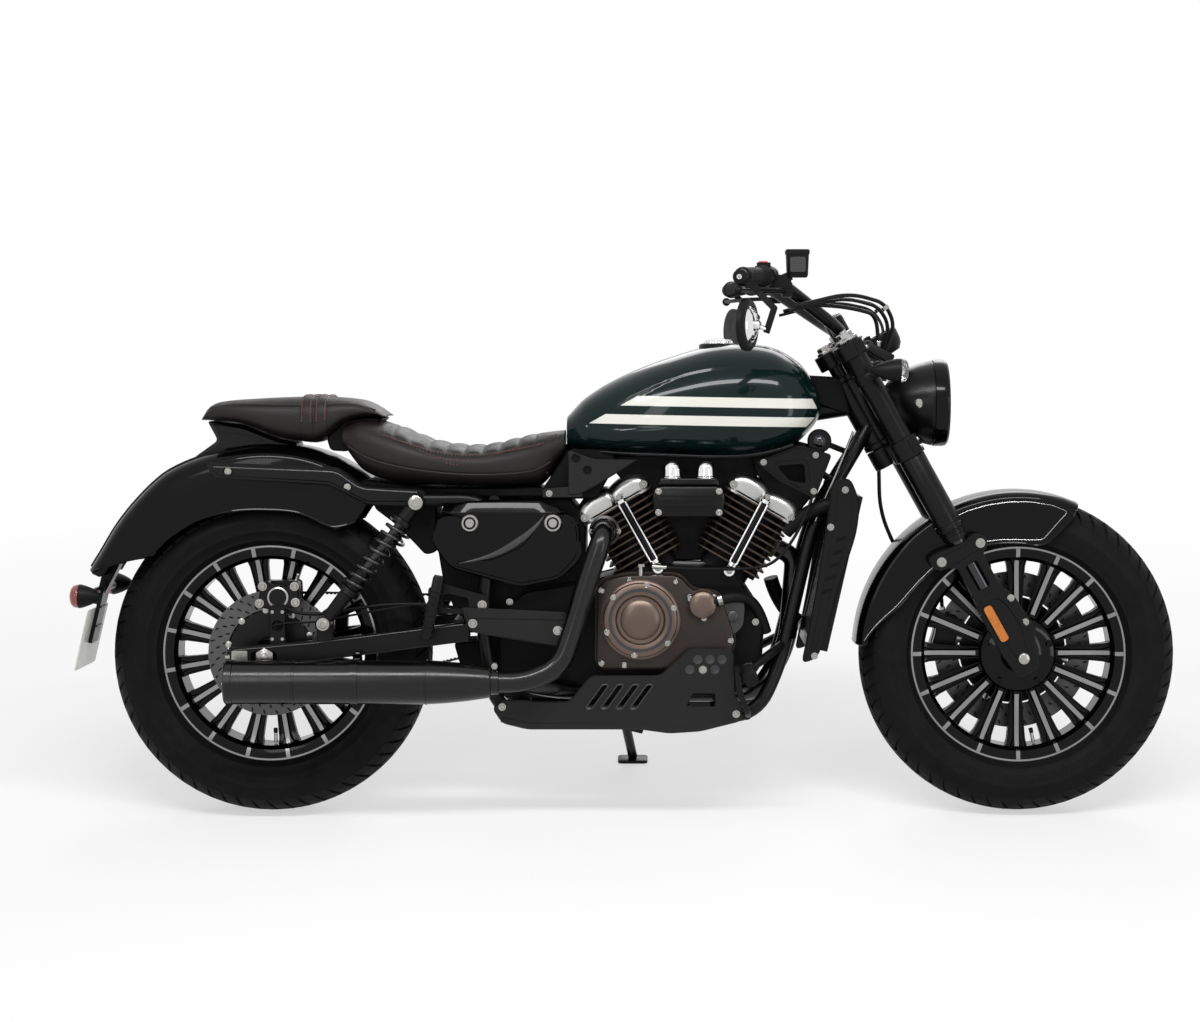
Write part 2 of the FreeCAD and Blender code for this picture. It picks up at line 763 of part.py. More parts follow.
# ---------------------------------------------------------------- swingarm and shocks
arm_outline = [
    (pivot_x - 22, pivot_z - 30),
    (rear_axle.x + 10, rear_axle.z - 20),
    (rear_axle.x - 70, rear_axle.z - 16),
    (rear_axle.x - 70, rear_axle.z + 18),
    (rear_axle.x + 90, rear_axle.z + 32),
    (pivot_x - 22, pivot_z + 8),
]
shock_top = point(-452, shock_half, 632)
shock_foot = point(-635, shock_half, 392)
arm_items = []
for side in (-1, 1):
    arm_items.append(pressed(arm_outline, 22, float(arm_half) * side - 11))
    arm_items.append(slab(32, 22, 52, point(shock_foot.x, arm_half * side, 378)))
    eye_pin = point(shock_foot.x, arm_half * side, shock_foot.z)
    arm_items.append(rod(pin_radius - gap, eye_pin, point(shock_foot.x, side * 168, shock_foot.z)))
arm_items.append(slab(20, float(arm_half) * 2, 40, point(pivot_x - 44, 0, pivot_z - 8)))
arm_items.append(slab(60, 140, 30, point(pivot_x - 25, 0, pivot_z - 4)))
arm_items.append(crossbar(20, pivot_x, pivot_z, 70))
arm_items.append(crossbar(pin_radius, pivot_x, pivot_z, 139))
rear_pin_half = arm_half + 24
belt_room = slab(120, 18, 260, point(pivot_x - 45, 88, pivot_z))
axle_room = rod(axle_radius + gap, rear_axle - left * 160, rear_axle + left * 160)
node("swingarm", cut(fused(arm_items), [axle_room, belt_room]))
axle_half = left * float(rear_pin_half)
node("rear_axle", rod(axle_radius, rear_axle - axle_half, rear_axle + axle_half))

shock_run = (shock_foot - shock_top).normalize()
shocks = []
springs = []
for side in (-1, 1):
    top, foot = sided(shock_top, side), sided(shock_foot, side)
    wide = left * 14
    body = [
        rod(16, top - wide, top + wide),
        rod(16, foot - wide, foot + wide),
        turned([(9, 10), (9, 20), (21, 20.1), (21, 34)], top, shock_run, 16),
        rod(9, top + shock_run * 30, foot - shock_run * 40),
        turned([(9, 10), (9, 20), (21, 20.1), (21, 44)], foot, -shock_run, 16),
    ]
    holes = [rod(pin_radius, eye - wide * 1.2, eye + wide * 1.2) for eye in (top, foot)]
    shocks.append(cut(fused(body), holes))
    springs.append(rod(23, top + shock_run * 34.3, foot - shock_run * 44.3, 9.3))
node("shocks", group(shocks))
node("shock_springs", group(springs))

# ---------------------------------------------------------------- engine
crank = point(crank_x, 0, crank_z)
case_outline = [
    (-286, 240),
    (170, 240),
    (232, 300),
    (238, 400),
    (176, 496),
    (6, 500),
    (-110, 470),
    (-240, 452),
    (-296, 400),
]
front_route = [
    point(268.2, 0, 533.5),
    point(304, 0, 512.8),
    point(290, 0, 330),
    point(232, -40, 250),
    point(188, -68, 246),
    point(-120, -68, 246),
    point(-205, -150, 268),
    point(-240, -188, 281),
]


def front_header(radius):
    """The front cylinder's exhaust pipe, down ahead of the case and back in a channel under it."""
    return pipe(radius, front_route, [26, 60, 40, 60, 60, 40])


drive_place = point(-262, 0, 378)
drive_radius = size("drive_pulley_radius", 45)
pulley_pocket = slab(134, 24, 150, point(-272, 86, 378))
case_block = pressed(case_outline, case_half * 2, -case_half)
drive_pulley = rod(drive_radius, drive_place + left * 72, drive_place + left * float(belt_side + belt_width))
case_rooms = [pulley_pocket, front_header(pipe_radius + 1)]
node("engine_case", fused([cut(case_block, case_rooms), drive_pulley]))
cover_outline = [(-96, 300), (160, 300), (182, 356), (150, 450), (94, 455), (70, 486), (-40, 486)]
cover_outline += [(-94, 470)]
right_cover = pressed(cover_outline, 36, -case_half - 36)
dome = rod(74, point(-8, -150, 398), point(-8, -130, 398))
pump = rod(26, point(116, -150, 428), point(116, -130, 428))
node("clutch_cover", fused([right_cover, dome, pump]))
left_cover = pressed(cover_outline, 30, case_half)
round_cover = rod(84, point(60, 124, 376), point(60, 150, 376))
drive_cover_outline = [(-296, 290), (-206, 290), (-190, 310), (-190, 450), (-206, 458), (-280, 458)]
drive_cover = pressed(drive_cover_outline, 2.4, case_half + gap)
node("alternator_cover", group([fused([left_cover, round_cover]), drive_cover]))


def belt_outline(thick):
    """The belt's side outline round both pulleys, at a distance out from them."""
    big, small = float(pulley_radius) + thick, float(drive_radius) + thick
    span = drive_place - rear_axle
    slope = math.degrees(math.atan2(span.z, span.x))
    wrap = math.degrees(math.acos((big - small) / span.Length))
    spots = []
    for centre, reach, angles in (
        (rear_axle, big, (slope + wrap, slope + 180, slope - wrap + 360)),
        (drive_place, small, (slope - wrap, slope, slope + wrap)),
    ):
        for index, angle in enumerate(angles):
            spot = about(centre, angle, reach)
            spots.append((spot.x, spot.z, "arc") if index == 1 else (spot.x, spot.z))
    return spots


belt_air = size("belt_air", 1.0)
belt_thick = size("belt_thickness", 5)
belt = pressed(belt_outline(float(belt_air + belt_thick)), belt_width, belt_side)
belt_inside = pressed(belt_outline(float(belt_air)), belt_width + 4, belt_side - 2)
node("drive_belt", cut(belt, [belt_inside]))

# head cover columns: across the cylinder, along it from the crank
cover_corners = [(-78, 289.3), (-78, 311), (-63, 326), (-30, 334.6), (32, 333.6), (58, 326), (76, 310)]
cover_corners += [(78, 289.3)]
cylinders = []
head_covers = []
for side in (-1, 1):
    angle = math.radians(float(vee_half_angle)) * side
    along = Vector(math.sin(angle), 0, math.cos(angle))
    across = Vector(math.cos(angle), 0, -math.sin(angle)) * side
    turn = Rotation(left, math.degrees(angle))
    stack = [slab(108, 128, 156, crank + along * 211, turn)]
    for index in range(fin_count):
        stack.append(slab(150, 172, 5, crank + along * (171 + float(fin_pitch) * index), turn))
    cylinders.append(fused(stack))
    corners = [crank + across * wide + along * high for wide, high in cover_corners]
    head_covers.append(pressed([(spot.x, spot.z) for spot in corners], 160, -80))
case_room = pressed([(-400, 100), (400, 100), (400, 500.3), (-400, 500.3)], 300, -150)
node("cylinders", group([cut(item, [case_room]) for item in cylinders]))
node("head_covers", group(head_covers))

tubes = []
for foot_x, foot_z, top_x, top_z in ((24, 504, -52, 640), (172, 498.4, 246, 640)):
    tubes.append(rod(8, point(foot_x, -99, foot_z), point(top_x, -99, top_z)))
node("pushrod_covers", group(tubes))
intake = [slab(136, 62, 70, point(88, -117.3, 634)), slab(120, 50, 26, point(88, -111.3, 680))]
for x in (55, 122):
    intake.append(rod(21, point(x, -164, 690), point(x, -90, 690)))
node("intake_box", fused(intake))

radiator_half = size("radiator_half_width", 125)
core_turn = Rotation(left, 13)
core = slab(44, radiator_half * 2, 316, point(378, 0, 492), core_turn)
node("radiator", cut(core, [cradle_pipe(-1, tube_radius + gap), cradle_pipe(1, tube_radius + gap)]))
shroud = [(372.7, 672), (409, 682), (429, 632), (423, 572), (383, 451), (356, 350), (342, 320), (312, 310)]
shroud += [(336, 431), (363, 592)]
sides = []
for side in (-1, 1):
    sides.append(pressed(shroud, 10, 125.3 if side > 0 else -135.3))
node("radiator_covers", group(sides))


# ---------------------------------------------------------------- tank and seats
def hull(table, corners=20):
    """Rings of a body's cross sections. Columns: x, bottom, top, half width, height of the widest place."""
    rings = []
    for x, bottom, top, half, widest in table:
        spots = []
        for index in range(corners):
            angle = 2 * math.pi * (index + 0.5) / corners
            sine, cosine = math.sin(angle), math.cos(angle)
            reach = (top - widest) if sine > 0 else (widest - bottom)
            across = math.copysign(abs(cosine) ** 0.75, cosine) * half
            up = math.copysign(abs(sine) ** 0.75, sine) * reach
            spots.append(Vector(x, across, widest + up))
        rings.append(spots)
    return rings


tank_w = float(tank_half)
tank_sections = hull(
    [
        (-157, 738, 800, tank_w * 0.42, 764),
        (-120, 728, 838, tank_w * 0.62, 772),
        (-50, 722, 880, tank_w * 0.80, 782),
        (50, 720, 920, tank_w * 0.94, 796),
        (150, 715, 945, tank_w, 806),
        (250, 722, 942, tank_w * 0.98, 814),
        (310, 748, 912, tank_w * 0.86, 820),
        (342, 780, 872, tank_w * 0.66, 824),
        (354, 800, 848, tank_w * 0.46, 824),
    ]
)
tunnel = fused([spine_pipe(spine_radius + gap), slab(700, 45, 200, point(100, 0, 680))])
cap_well = rod(26.3, point(150, 0, 938), point(150, 0, 990))
node("fuel_tank", cut(skin(tank_sections), [tunnel, cap_well]))
node("fuel_cap", rod(26, point(150, 0, 938.3), point(150, 0, 957)))

seat_w = float(seat_half)
seat_sections = hull(
    [
        (-603, 738, 784, seat_w * 0.74, 760),
        (-565, 690, 797, seat_w * 0.90, 745),
        (-500, 668, 780, seat_w, 725),
        (-420, 662, 750, seat_w, 708),
        (-330, 660, 742, seat_w * 0.95, 700),
        (-240, 660, 760, seat_w * 0.76, 706),
        (-162, 700, 772, seat_w * 0.46, 735),
    ]
)
node("rider_seat", cut(skin(seat_sections), [spine_pipe(spine_radius + gap)]))
pad_outline = [
    (-890, 795),
    (-880, 822),
    (-861, 830),
    (-790, 836),
    (-700, 840),
    (-600, 838),
    (-545, 828),
    (-522, 806),
    (-562, 803),
    (-603, 790),
    (-625, 765),
    (-651, 749),
    (-700, 749),
    (-740, 757),
    (-811, 785),
]
node("passenger_pad", pressed(pad_outline, pad_half * 2, -pad_half))

# ---------------------------------------------------------------- rear bodywork
rear_arch = [(57, 395, 318), (62, 404, 288), (77, 417, 293), (90, 420, 292), (100.6, 420, 296)]
rear_arch += [(119, 422, 306), (125, 417, 306), (131, 411, 308), (140, 404, 309), (148, 399, 353)]
rear_arch += [(154.6, 401, 388)]
node("rear_fender", arch(rear_axle, rear_arch, float(fender_half), float(fender_skin)))
cowl_outline = [(-886, 793.8), (-811, 784.7), (-740, 756.7), (-700, 748.7), (-700, 730), (-820, 720)]
cowl_outline += [(-948, 690), (-862, 752)]
cowl_room = [(angle, outer + float(gap), edge) for angle, outer, edge in rear_arch]
cowl_tool = arch(rear_axle, cowl_room, float(fender_half), 40)
node("tail_cowl", cut(pressed(cowl_outline, 110, -55), [cowl_tool]))
strut_outline = [(-874, 710), (-610, 700), (-560, 664), (-440.3, 658), (-440.3, 620), (-550, 624)]
strut_outline += [(-630, 664), (-862, 678)]
strut_near = fender_half + gap
struts = []
for side in (-1, 1):
    strut = pressed(strut_outline, 24, strut_near if side > 0 else -strut_near - 24)
    pin_end = sided(shock_top, side) + left * (side * 16)
    pin = rod(pin_radius - gap, point(shock_top.x, side * 124, shock_top.z), pin_end)
    struts.append(fused([strut, pin]))
node("fender_struts", group(struts))

side_outline = [(-427, 556), (-400, 632), (-169, 636), (-129, 596), (-125, 517), (-169, 477)]
side_outline += [(-248, 461), (-387, 501)]
node("side_covers", both(pressed(side_outline, 12, cradle_half + tube_radius + gap)))
frame_cover_outline = [(-153, 735), (-100, 716), (-10, 716), (-110, 655), (-130, 645), (-152, 645)]
pivot_outline = [(-366, 424), (-152, 414), (-158, 342), (-346, 375)]
frame_covers = [pressed(frame_cover_outline, 8, cradle_half), pressed(pivot_outline, 12, 140)]
node("frame_covers", group(frame_covers + [mirrored(cover) for cover in frame_covers]))

plate_turn = Rotation(left, 13)
plate_centre = point(-1127.5, 0, 352)
node("number_plate", slab(2, 190, 125, plate_centre, plate_turn))
bracket_head = slab(30, 60, 40, about(rear_axle, 150, 379.4), Rotation(left, -150))
bracket_bar = crossbar(8, -1108, 447, 137.7)
bracket_stalk = slab(8, 60, 130, plate_centre + plate_turn.multVec(Vector(5.3, 0, 55)), plate_turn)
bracket_arm = pressed([(-1114, 432), (-1097, 440), (-1066, 500), (-1098, 500)], 40, -20)
node("plate_bracket", fused([bracket_head, bracket_stalk, bracket_bar, bracket_arm]))
tails = []
for side in (-1, 1):
    place = point(-1106, side * 162, 447)
    tails.append(turned([(10, -32), (20, -16), (24, 0), (18, 30)], place, -lamp_ahead, 16))
node("rear_signals", group(tails))

# ---------------------------------------------------------------- exhaust and lower parts
rear_route = [
    point(-80, -86.3, 572),
    point(-80, -170, 572),
    point(-112, -173, 480),
    point(-135, -174, 400),
    point(-165, -183, 310),
    point(-235, -muffler_y, muffler_z),
    point(-300, -muffler_y, muffler_z),
]
rear_header = pipe(pipe_radius, rear_route, [32, 60, 60, 50, 50])
node("exhaust_header", fused([rear_header, front_header(pipe_radius - 2)]))
can_start, can_end = point(-424, -muffler_y, muffler_z), point(-822, -muffler_y, muffler_z)
can_nose = point(-300.3, -muffler_y, muffler_z)
muffler_cone = turned([(26, 0), (muffler_radius, 123.7)], can_nose, -lamp_ahead, 24)
muffler_can = rod(muffler_radius, can_start, can_end)
tail_hole = rod(18, can_end + lamp_ahead * 120, can_end - lamp_ahead)
hanger = slab(30, 20, 140, point(-408, -150, 365))
node("muffler", cut(fused([muffler_cone, muffler_can, hanger]), [tail_hole]))

guard_outline = [
    (-302, 223),
    (-282, 193),
    (-232, 181),
    (-10, 181),
    (50, 173),
    (111, 177),
    (191, 197),
    (196, 225),
    (178, 250),
    (178, 330),
    (168, 341),
    (88, 341),
    (30, 288),
    (-108, 288),
    (-150, 236),
    (-285, 241),
]
guard = pressed(guard_outline, 8, -147)
slots = [slab(8, 20, 34, point(x, -143, 217), Rotation(left, 20)) for x in (-118, -87, -54, -22)]
slots.append(slab(50, 20, 30, point(108, -143, 212)))
node("belly_guard", cut(guard, slots))

pegs = []
for side in (-1, 1):
    root = rod(9, point(286, side * 78, 350), point(206, side * 156, 300))
    root = cut(root, [cradle_pipe(side, tube_radius + gap)])
    step = rod(14, point(206, side * 150, 300), point(206, side * 320, 300))
    pegs.append(fused([root, step]))
for side in (-1, 1):
    heel = [point(204, side * 112, 206), point(206, side * 152, 212), point(186, side * 176, 262)]
    heel.append(point(182, side * 200, 310))
    pad = rod(6, point(182, side * 186, 308), point(182, side * 236, 308))
    pegs.append(cut(fused([pipe(6, heel, [14, 40], 8), pad]), [cradle_pipe(side, tube_radius + gap)]))
node("rider_pegs", group(pegs))
hanger_outline = [(-342, 408), (-308, 408), (-308, 444), (-400, 470), (-430, 462), (-428, 412)]
pegs = []
for side in (-1, 1):
    near = 132.5 if side > 0 else -139.5
    link = rod(8, point(-412, side * 134, 452), point(-412, side * 172, 452))
    step = slab(22, 20, 130, point(-418, side * 175, 425), Rotation(left, 12))
    pegs.append(fused([pressed(hanger_outline, 7, near), link, step]))
node("passenger_pegs", group(pegs))

rear_grip = slab(86, 66, 52, rear_axle + Vector(22, -62, 122))
rear_room = rod(rear_disc_radius + 3, rear_axle - left * 55, rear_axle - left * 40)
grip_arm = slab(34, 16, 100, rear_axle + Vector(22, -101.7, 70))
node("rear_caliper", cut(fused([rear_grip, grip_arm]), [rear_room]))

# ---------------------------------------------------------------- stand
foot_plate = slab(64, 44, 7, stand_foot + ground_up * 3.5, lean_back)
leg = rod(10, stand_pivot + leg_line * 10, leg_end)
knuckle = rod(17, stand_pivot - stand_axis * 11, stand_pivot + stand_axis * 11)
node("side_stand", fused([foot_plate, leg, knuckle]))

# ---------------------------------------------------------------- lean, place and write
doc.recompute()
faults = []
for item in doc.Objects:
    if "Invalid" in item.State or "Error" in item.State:
        faults.append("%s (%s) %s" % (item.Label, item.TypeId, item.State))
for item in nodes:
    if item.Shape.isNull() or not item.Shape.isValid():
        faults.append("%s has no valid shape" % item.Label)
if faults:
    raise RuntimeError("; ".join(faults))

lean = Placement(Vector(0, 0, lift), Rotation(Vector(1, 0, 0), -float(lean_angle)))
for item in nodes:
    item.Placement = lean.multiply(item.Placement)
doc.recompute()
box = FreeCAD.BoundBox()
for item in nodes:
    mesh_points = item.Shape.tessellate(0.2)[0]
    for spot in mesh_points:
        box.add(spot)
shift = Placement(Vector(-box.Center.x, -box.Center.y, -box.ZMin), Rotation())
for item in nodes:
    item.Placement = shift.multiply(item.Placement)
doc.recompute()
os.makedirs("parts", exist_ok=True)
for item in nodes:
    item.Shape.exportStep("parts/%s.step" % item.Label)


def placed(spot):
    return shift.multVec(lean.multVec(spot))


def placed_direction(direction):
    return lean.Rotation.multVec(direction)


for name, spot in (
    ("front_axle", front_axle),
    ("rear_axle", rear_axle),
    ("steering", on_stem(580)),
    ("side_stand", stand_pivot),
    ("handlebar", bar_middle),
    ("stand_foot", stand_foot),
):
    print(name, [round(part, 3) for part in placed(spot)])
for name, direction in (
    ("axle", Vector(0, 1, 0)),
    ("steering", up_fork),
    ("side_stand", stand_axis),
):
    print(name, [round(part, 6) for part in placed_direction(direction)])
print("box", box)
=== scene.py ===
"""A cruiser motorcycle leaning on its side stand, dressed for its studio picture.

The machine is drawn upright in its own millimetres: x forward, y to the rider's left, z up, the ground at
zero and x zero midway between the axles. Stance carries that into the frame's metres, lean and all.
"""
import json
import logging
import math
from collections.abc import Callable, Iterable, Sequence
from dataclasses import dataclass, field
from enum import Enum
from typing import Protocol

import bmesh
import bpy
from mathutils import Euler, Matrix, Vector


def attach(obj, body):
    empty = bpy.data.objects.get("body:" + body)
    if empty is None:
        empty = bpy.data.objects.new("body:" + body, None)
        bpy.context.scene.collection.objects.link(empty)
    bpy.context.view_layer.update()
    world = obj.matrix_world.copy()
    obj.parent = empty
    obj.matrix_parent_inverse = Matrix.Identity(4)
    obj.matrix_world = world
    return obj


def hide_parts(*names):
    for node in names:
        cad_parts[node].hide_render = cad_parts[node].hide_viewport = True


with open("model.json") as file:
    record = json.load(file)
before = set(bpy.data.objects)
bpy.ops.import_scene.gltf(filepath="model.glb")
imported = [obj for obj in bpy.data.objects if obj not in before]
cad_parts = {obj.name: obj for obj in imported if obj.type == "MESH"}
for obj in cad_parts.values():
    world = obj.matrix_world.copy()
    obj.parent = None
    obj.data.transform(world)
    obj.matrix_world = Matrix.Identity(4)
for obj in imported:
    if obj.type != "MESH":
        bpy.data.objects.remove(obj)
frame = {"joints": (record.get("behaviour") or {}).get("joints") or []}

log = logging.getLogger("cruiser")
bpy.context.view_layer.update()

Spot = tuple[float, float]
Place = tuple[float, float, float]
LEFT = Vector((0.0, 1.0, 0.0))
FORWARD = Vector((1.0, 0.0, 0.0))
UP = Vector((0.0, 0.0, 1.0))
MILLIMETRE = 0.001
SIDES = (-1, 1)


def point(x: float, y: float, z: float) -> Vector:
    """Returns a place, or a way, by its three parts."""
    return Vector((x, y, z))


class Body(Enum):
    """The moving groups of the machine, by the names that the frame gives them."""

    CHASSIS = "chassis"
    STEERING = "steering"
    FRONT_WHEEL = "front_wheel"
    REAR_WHEEL = "rear_wheel"
    STAND = "side_stand"


# ------------------------------------------------------------------------------------------------ stance
@dataclass(frozen=True)
class Stance:
    """How the machine stands in the frame: its lean, and the step to the frame's origin."""

    lean: float
    matrix: Matrix

    @classmethod
    def read(cls, joints: Iterable[dict], rear_axle: Vector) -> "Stance":
        """Works the stance out from the rear wheel's joint.

        Args:
            joints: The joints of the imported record.
            rear_axle: The middle of the rear axle, in the machine's millimetres.

        Returns:
            The stance.
        """
        wheel = next(joint for joint in joints if joint["name"] == "rear_wheel_spin")
        axle = Vector(wheel["axis"])
        lean = math.atan2(-axis_sign(axle) * axle.z, axis_sign(axle) * axle.y)
        turn = Matrix.Rotation(-lean, 4, "X") @ Matrix.Scale(MILLIMETRE, 4)
        step = Matrix.Translation(Vector(wheel["pos_m"]) - turn @ rear_axle)
        return cls(lean, step @ turn)


def axis_sign(axle: Vector) -> float:
    """Returns 1 where the axle's axis points to the left, or else -1."""
    return 1.0 if axle.y > 0 else -1.0


# ------------------------------------------------------------------------------------------------ sizes
@dataclass(frozen=True)
class Chassis:
    """The driving sizes of the machine, which every assembly works from."""

    rear_axle: Vector = field(default_factory=lambda: point(-755.0, 0.0, 323.0))
    front_axle: Vector = field(default_factory=lambda: point(755.0, 0.0, 320.0))
    rake: float = math.radians(29.0)
    fork_half_track: float = 106.0
    crank: Vector = field(default_factory=lambda: point(88.0, 0.0, 372.0))
    vee_half_angle: float = math.radians(30.0)

    @property
    def up_fork(self) -> Vector:
        """The way up the fork legs."""
        return point(-math.sin(self.rake), 0.0, math.cos(self.rake))

    @property
    def out_fork(self) -> Vector:
        """The way ahead of the fork legs."""
        return point(math.cos(self.rake), 0.0, math.sin(self.rake))

    @property
    def fork_turn(self) -> Matrix:
        """The turn from (ahead, left, up the legs) to the machine."""
        return Matrix((self.out_fork, LEFT, self.up_fork)).transposed()

    def on_fork(self, along: float, side: float = 0.0, ahead: float = 0.0) -> Vector:
        """Returns a place on the fork, along the legs from the axle, to the left and ahead of them."""
        return self.front_axle + self.up_fork * along + self.out_fork * ahead + LEFT * side


def about(centre: Vector, degrees: float, reach: float, side: float = 0.0) -> Vector:
    """Returns a place about an axle, by its angle up from straight ahead, its radius and its side."""
    angle = math.radians(degrees)
    return centre + point(math.cos(angle), 0.0, math.sin(angle)) * reach + LEFT * side


def sided(place: Vector, side: int) -> Vector:
    """Returns the place on the left for side 1, or its mirror on the right for side -1."""
    return point(place.x, place.y * side, place.z)


# ------------------------------------------------------------------------------------------------ shapes
def basis(axis: Vector, toward: Vector | None = None) -> Matrix:
    """Returns a turn whose z runs along the axis.

    Args:
        axis: The way that z takes.
        toward: The way that x leans to, where that matters.
    """
    along = axis.normalized()
    hint = toward if toward is not None else (UP if abs(along.z) < 0.9 else FORWARD)
    across = (hint - along * hint.dot(along)).normalized()
    return Matrix((across, along.cross(across), along)).transposed()


class Shape:
    """A mesh in the making, in the machine's millimetres. Each part of it takes a finish by number."""

    def __init__(self) -> None:
        """Starts with nothing in it."""
        self.mesh = bmesh.new()

    def skin(self, rings: Sequence[Sequence[Vector]], finish: int = 0, caps: bool = True,
             looped: bool = False) -> list[bmesh.types.BMFace]:
        """Skins rings of places that have as many corners each.

        Args:
            rings: The rings, in order.
            finish: The finish of the faces.
            caps: Whether the first and last rings are filled.
            looped: Whether the last ring joins the first.

        Returns:
            The new faces.
        """
        rows = [[self.mesh.verts.new(place) for place in ring] for ring in rings]
        pairs = list(zip(rows, rows[1:])) + ([(rows[-1], rows[0])] if looped else [])
        faces = []
        for row, following in pairs:
            count = len(row)
            for index in range(count):
                after = (index + 1) % count
                faces.append(self.mesh.faces.new((row[index], row[after], following[after], following[index])))
        if caps and not looped:
            faces.append(self.mesh.faces.new(list(reversed(rows[0]))))
            faces.append(self.mesh.faces.new(rows[-1]))
        return self.paint(faces, finish)

    def paint(self, faces: list[bmesh.types.BMFace], finish: int) -> list[bmesh.types.BMFace]:
        """Gives the faces a finish, turns them outwards and returns them."""
        for face in faces:
            face.material_index = finish
        bmesh.ops.recalc_face_normals(self.mesh, faces=faces)
        return faces

    def lathe(self, outline: Sequence[Spot], centre: Vector, axis: Vector, finish: int = 0,
              segments: int = 48, looped: bool = False) -> list[bmesh.types.BMFace]:
        """Turns an outline of (radius, place along the axis) about the axis.

        Args:
            outline: From end to end, or all round where it is looped.
            centre: Where the axis starts.
            axis: The way of the axis.
            finish: The finish of the faces.
            segments: How many flats go round.
            looped: Whether the outline closes on itself, as on a tyre.

        Returns:
            The new faces.
        """
        turn = basis(axis)
        if looped:
            rings = []
            for index in range(segments):
                angle = math.tau * index / segments
                away = turn @ point(math.cos(angle), math.sin(angle), 0.0)
                rings.append([centre + away * radius + axis.normalized() * along for radius, along in outline])
            return self.skin(rings, finish, looped=True)
        rings = [circle(centre + axis.normalized() * along, turn, max(radius, 0.02), segments)
                 for radius, along in outline]
        return self.skin(rings, finish)

    def rod(self, start: Vector, end: Vector, radius: float, finish: int = 0, segments: int = 24,
            edge: float = 0.0) -> list[bmesh.types.BMFace]:
        """Makes a round bar between two places, with its edges broken by edge.

        Returns:
            The new faces.
        """
        length = (end - start).length
        outline = [(radius, 0.0), (radius, length)]
        if edge:
            outline = [(radius - edge, 0.0), (radius, edge), (radius, length - edge), (radius - edge, length)]
        return self.lathe(outline, start, end - start, finish, segments)

    def panel(self, outline: Sequence[Spot], sides: Sequence[float], finish: int = 0,
              holes: Sequence[Sequence[Spot]] = (), edge: float = 1.0,
              place: Callable[[float, float, float], Vector] | None = None) -> list[bmesh.types.BMFace]:
        """Makes a flat panel with holes and broken edges.

        Args:
            outline: The (x, z) corners.
            sides: The y of its two faces.
            finish: The finish of the faces.
            holes: The outlines of the holes.
            edge: How far the edges are broken.
            place: Carries (x, y, z) to the machine, where it isn't drawn straight on it.

        Returns:
            The new faces.
        """
        put = place or point
        low, high = min(sides), max(sides)
        broken = ((low, -edge), (low + edge, 0.0), (high - edge, 0.0), (high, -edge))
        levels = broken if edge else ((low, 0.0), (high, 0.0))
        ends: tuple[list, list] = ([], [])
        faces = []
        for loop, sign in [(outline, 1), *((hole, -1) for hole in holes)]:
            rows = [[self.mesh.verts.new(put(x, y, z)) for x, z in grown(loop, by * sign)] for y, by in levels]
            for row, following in zip(rows, rows[1:]):
                for index, corner in enumerate(row):
                    after = (index + 1) % len(row)
                    faces.append(self.mesh.faces.new((corner, row[after], following[after], following[index])))
            for end, row in zip(ends, (rows[0], rows[-1])):
                end += [self.mesh.edges.get((corner, row[(index + 1) % len(row)]))
                        for index, corner in enumerate(row)]
        for end in ends:
            filled = bmesh.ops.triangle_fill(self.mesh, use_beauty=True, use_dissolve=False, edges=end)
            faces += [item for item in filled["geom"] if isinstance(item, bmesh.types.BMFace)]
        return self.paint(faces, finish)

    def box(self, size: Sequence[float], centre: Vector, turn: Matrix | None = None,
            finish: int = 0) -> list[bmesh.types.BMFace]:
        """Makes a block by its middle, with its own turn, and returns its faces."""
        turn = turn or Matrix.Identity(3)
        half = Vector(size) / 2
        rings = []
        for z in (-half.z, half.z):
            corners = ((-half.x, -half.y), (half.x, -half.y), (half.x, half.y), (-half.x, half.y))
            rings.append([centre + turn @ point(x, y, z) for x, y in corners])
        return self.skin(rings, finish)

    def ball(self, centre: Vector, radius: float, finish: int = 0, axis: Vector = UP,
             share: float = 1.0, segments: int = 24) -> list[bmesh.types.BMFace]:
        """Makes a dome or ball: the share of its height, from the top down, that is kept."""
        steps = 10
        outline = []
        for index in range(steps + 1):
            angle = math.pi * share * (1 - index / steps)
            outline.append((radius * math.sin(angle), radius * math.cos(angle)))
        return self.lathe(outline, centre, axis, finish, segments)

    def tube(self, places: Sequence[Vector], radius: float, finish: int = 0,
             segments: int = 16, bend: float = 0.0) -> list[bmesh.types.BMFace]:
        """Sweeps a round section along a smooth line that passes near the places.

        Args:
            places: The control points of the line.
            radius: The section's radius.
            finish: The finish of the faces.
            segments: How many flats go round.
            bend: Where it is given, the line runs straight between the places and turns by this radius.

        Returns:
            The new faces.
        """
        line = bent_line(places, bend) if bend else smooth_line(places)
        rings = []
        turn = basis(line[1] - line[0])
        for index, place in enumerate(line):
            ahead = line[min(index + 1, len(line) - 1)] - line[max(index - 1, 0)]
            turn = carried(turn, ahead)
            rings.append(circle(place, turn, radius, segments))
        return self.skin(rings, finish)

    def pressed(self, outline: Sequence[Spot], levels: Sequence[Spot], finish: int = 0) -> None:
        """Skins an (x, z) outline through levels of (y, how far it has grown there)."""
        self.skin([[point(x, y, z) for x, z in grown(outline, by)] for y, by in levels], finish)

    def stacked(self, outline: Sequence[Spot], levels: Sequence[Spot], place: Callable[[Vector], Vector],
                finish: int = 0) -> None:
        """Skins an (x, y) outline through levels of (z, its share of the size), put in place by a rule."""
        self.skin([[place(point(x * by, y * by, z)) for x, y in outline] for z, by in levels], finish)

